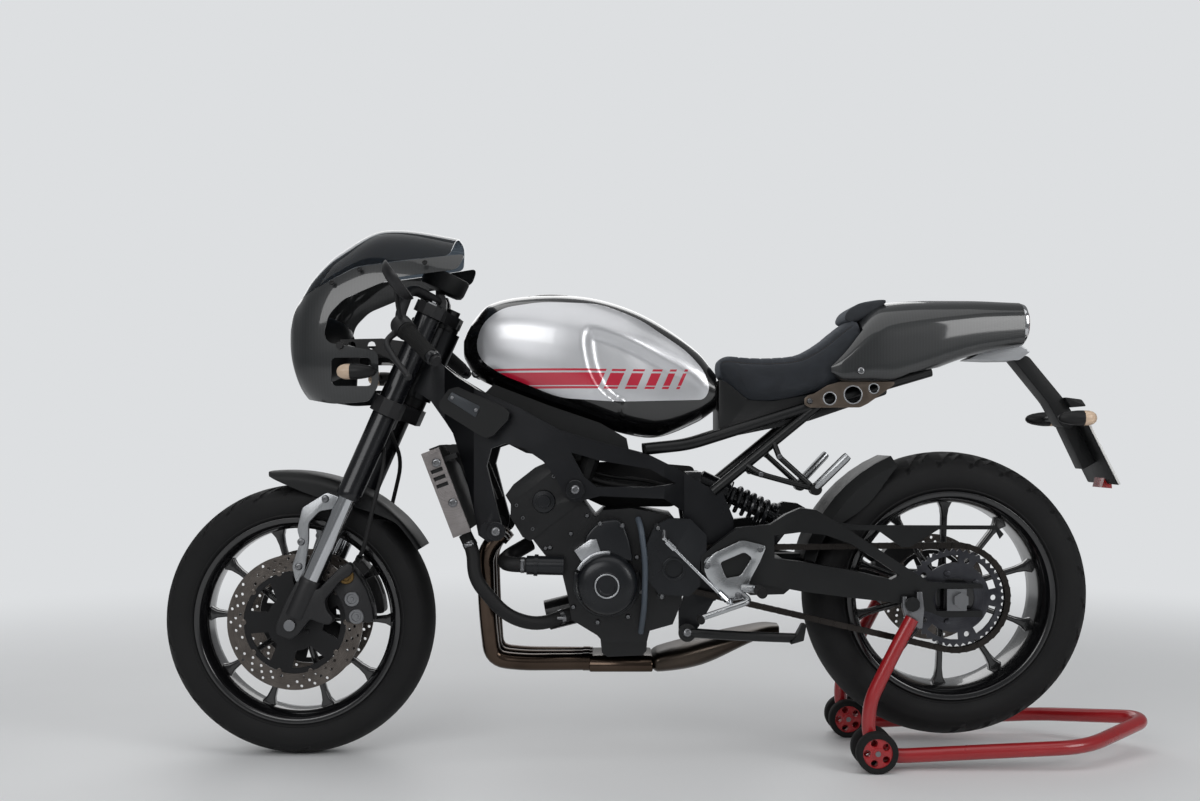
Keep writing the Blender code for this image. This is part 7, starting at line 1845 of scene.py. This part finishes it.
# white enamelled plate: plain, smooth, a little off white
finished("blank_plate", slab(mm([(-935.5, 738), (-1004, 602), (-1008, 604), (-940, 740)]), -0.092, 0.092,
    ease=0.0006), "chassis", coat("blank_plate_enamel", "#D4D4D2", "#DCDCDA", 0.35, 0.0, 1.6,
    0.05, 0.3), ("number_plate",))
finished("plate_backing", slab(mm([(-932.8, 739.4), (-1001.3, 603.4), (-1004.2, 602), (-935.7, 738)]),
    -0.09, 0.09, ease=0.0006), "chassis", moulded)
# moulded red reflector: glossy, over a relief of about 2 mm
finished("rear_reflector", slab(mm([(-996, 618), (-1011, 610.5), (-1013, 592), (-990, 594)]), -0.03, 0.03,
    ease=0.0012), "chassis", coat("moulded_red_reflector", "#7A0A0A", "#961414", 0.15, 0.0,
    2.4, 0.5, 0.6))
button_heads("plate_screws", [((-0.964 - 0.0016, y, 0.6905), (-0.893, 0, 0.449), 0.005, 0.0024)
    for y in (-0.07, 0.07)], "chassis", zinc)

# -------------------- paddock stand
# Bent steel tube, powder coated red, with a zinc-plated hook under each swingarm spool and a leg down to
# a pair of small rubber-tyred wheels on each side.
SPOOL = Vector((-0.535, 0, 0.35197))
STAND_AXLE = Vector((-0.454, 0, 0.044))
STAND_R, STAND_TRACK, STAND_TUBE = 0.044, 0.17, 0.0155
RAIL = [(-1.08257, 0.024, 0.072), (-0.905, STAND_TRACK, 0.049), (-0.509, STAND_TRACK, 0.03),
    (-0.47, STAND_TRACK, 0.034), (STAND_AXLE.x + 0.003, STAND_TRACK, STAND_R - 0.004)]
HOOK = mm([(-22, -52), (-14, -52), (14, -30), (20, -8), (20, 16), (11, 16), (9, -2), (5, -9), (-5, -9),
    (-9, -2), (-11, 26), (-22, 26), (-26, -10)])


def stand_leg():
    """Leg of one side from the wheels to the hook."""
    return pipe([(-0.452, STAND_TRACK, 0.044), (-0.441, STAND_TRACK, 0.089), (-0.446, STAND_TRACK, 0.148),
        (SPOOL.x + 0.036, STAND_TRACK, SPOOL.z - 0.097), (SPOOL.x, STAND_TRACK, SPOOL.z - 0.03)],
        STAND_TUBE * 0.96, 0.04, 6)


# red powder coat: smooth and glossy, with a faint orange peel
red_coat = coat("red_powder_coat", "#8E1218", "#A3181F", 0.3, 0.0, 1.8, 0.12, 0.5)
rails = pipe([(x, -y, z) for x, y, z in reversed(RAIL)] + RAIL, STAND_TUBE, 0.06, 7)
finished("stand_tubes", joined(rails, pair(stand_leg)), "chassis", red_coat,
    ("paddock_stand",))
finished("stand_hooks", pair(lambda: slab([(SPOOL.x + x, SPOOL.z + z) for x, z in softened(HOOK, 0.002)],
    0.154, 0.1685, ease=0.0012)), "chassis", zinc)
for word, side in (("left", 1), ("right", -1)):
    body = "stand_wheels_" + word
    tyres, hubs, web = [], [], STAND_R - 0.0118
    for y in (side * STAND_TRACK - 0.03, side * STAND_TRACK + 0.03):
        tyres.append(spun([(web - 0.001, -0.012), (STAND_R - 0.006, -0.013), (STAND_R - 0.0015, -0.0112),
            (STAND_R, -0.0085), (STAND_R, 0.0085), (STAND_R - 0.0015, 0.0112), (STAND_R - 0.006, 0.013),
            (web - 0.001, 0.012)], STAND_AXLE + Vector((0, y, 0)), 48))
        mid, gap = (web + 0.012) / 2, (web - 0.012) * 0.37
        holes = [circle(x, z, gap, 16) for x, z in polar(STAND_AXLE,
            [(mid, 2 * pi * k / 5) for k in range(5)])]
        hubs.append(slab(circle(STAND_AXLE.x, STAND_AXLE.z, web, 48), y - 0.0095, y + 0.0095, holes,
            0.0008))
        hubs.append(rod((STAND_AXLE.x, y - 0.0122, STAND_AXLE.z), (STAND_AXLE.x, y + 0.0122, STAND_AXLE.z),
            0.0105, 32))
    finished("stand_tyres_" + word, joined(*tyres), body, grip_rubber, ("stand_wheels_" + word,))
    finished("stand_hubs_" + word, joined(*hubs), body, red_coat)
    y = side * STAND_TRACK
    finished("stand_axle_" + word, joined(rod((STAND_AXLE.x, y - 0.044, STAND_AXLE.z),
        (STAND_AXLE.x, y + 0.044, STAND_AXLE.z), 0.0058, 24)), body, zinc)
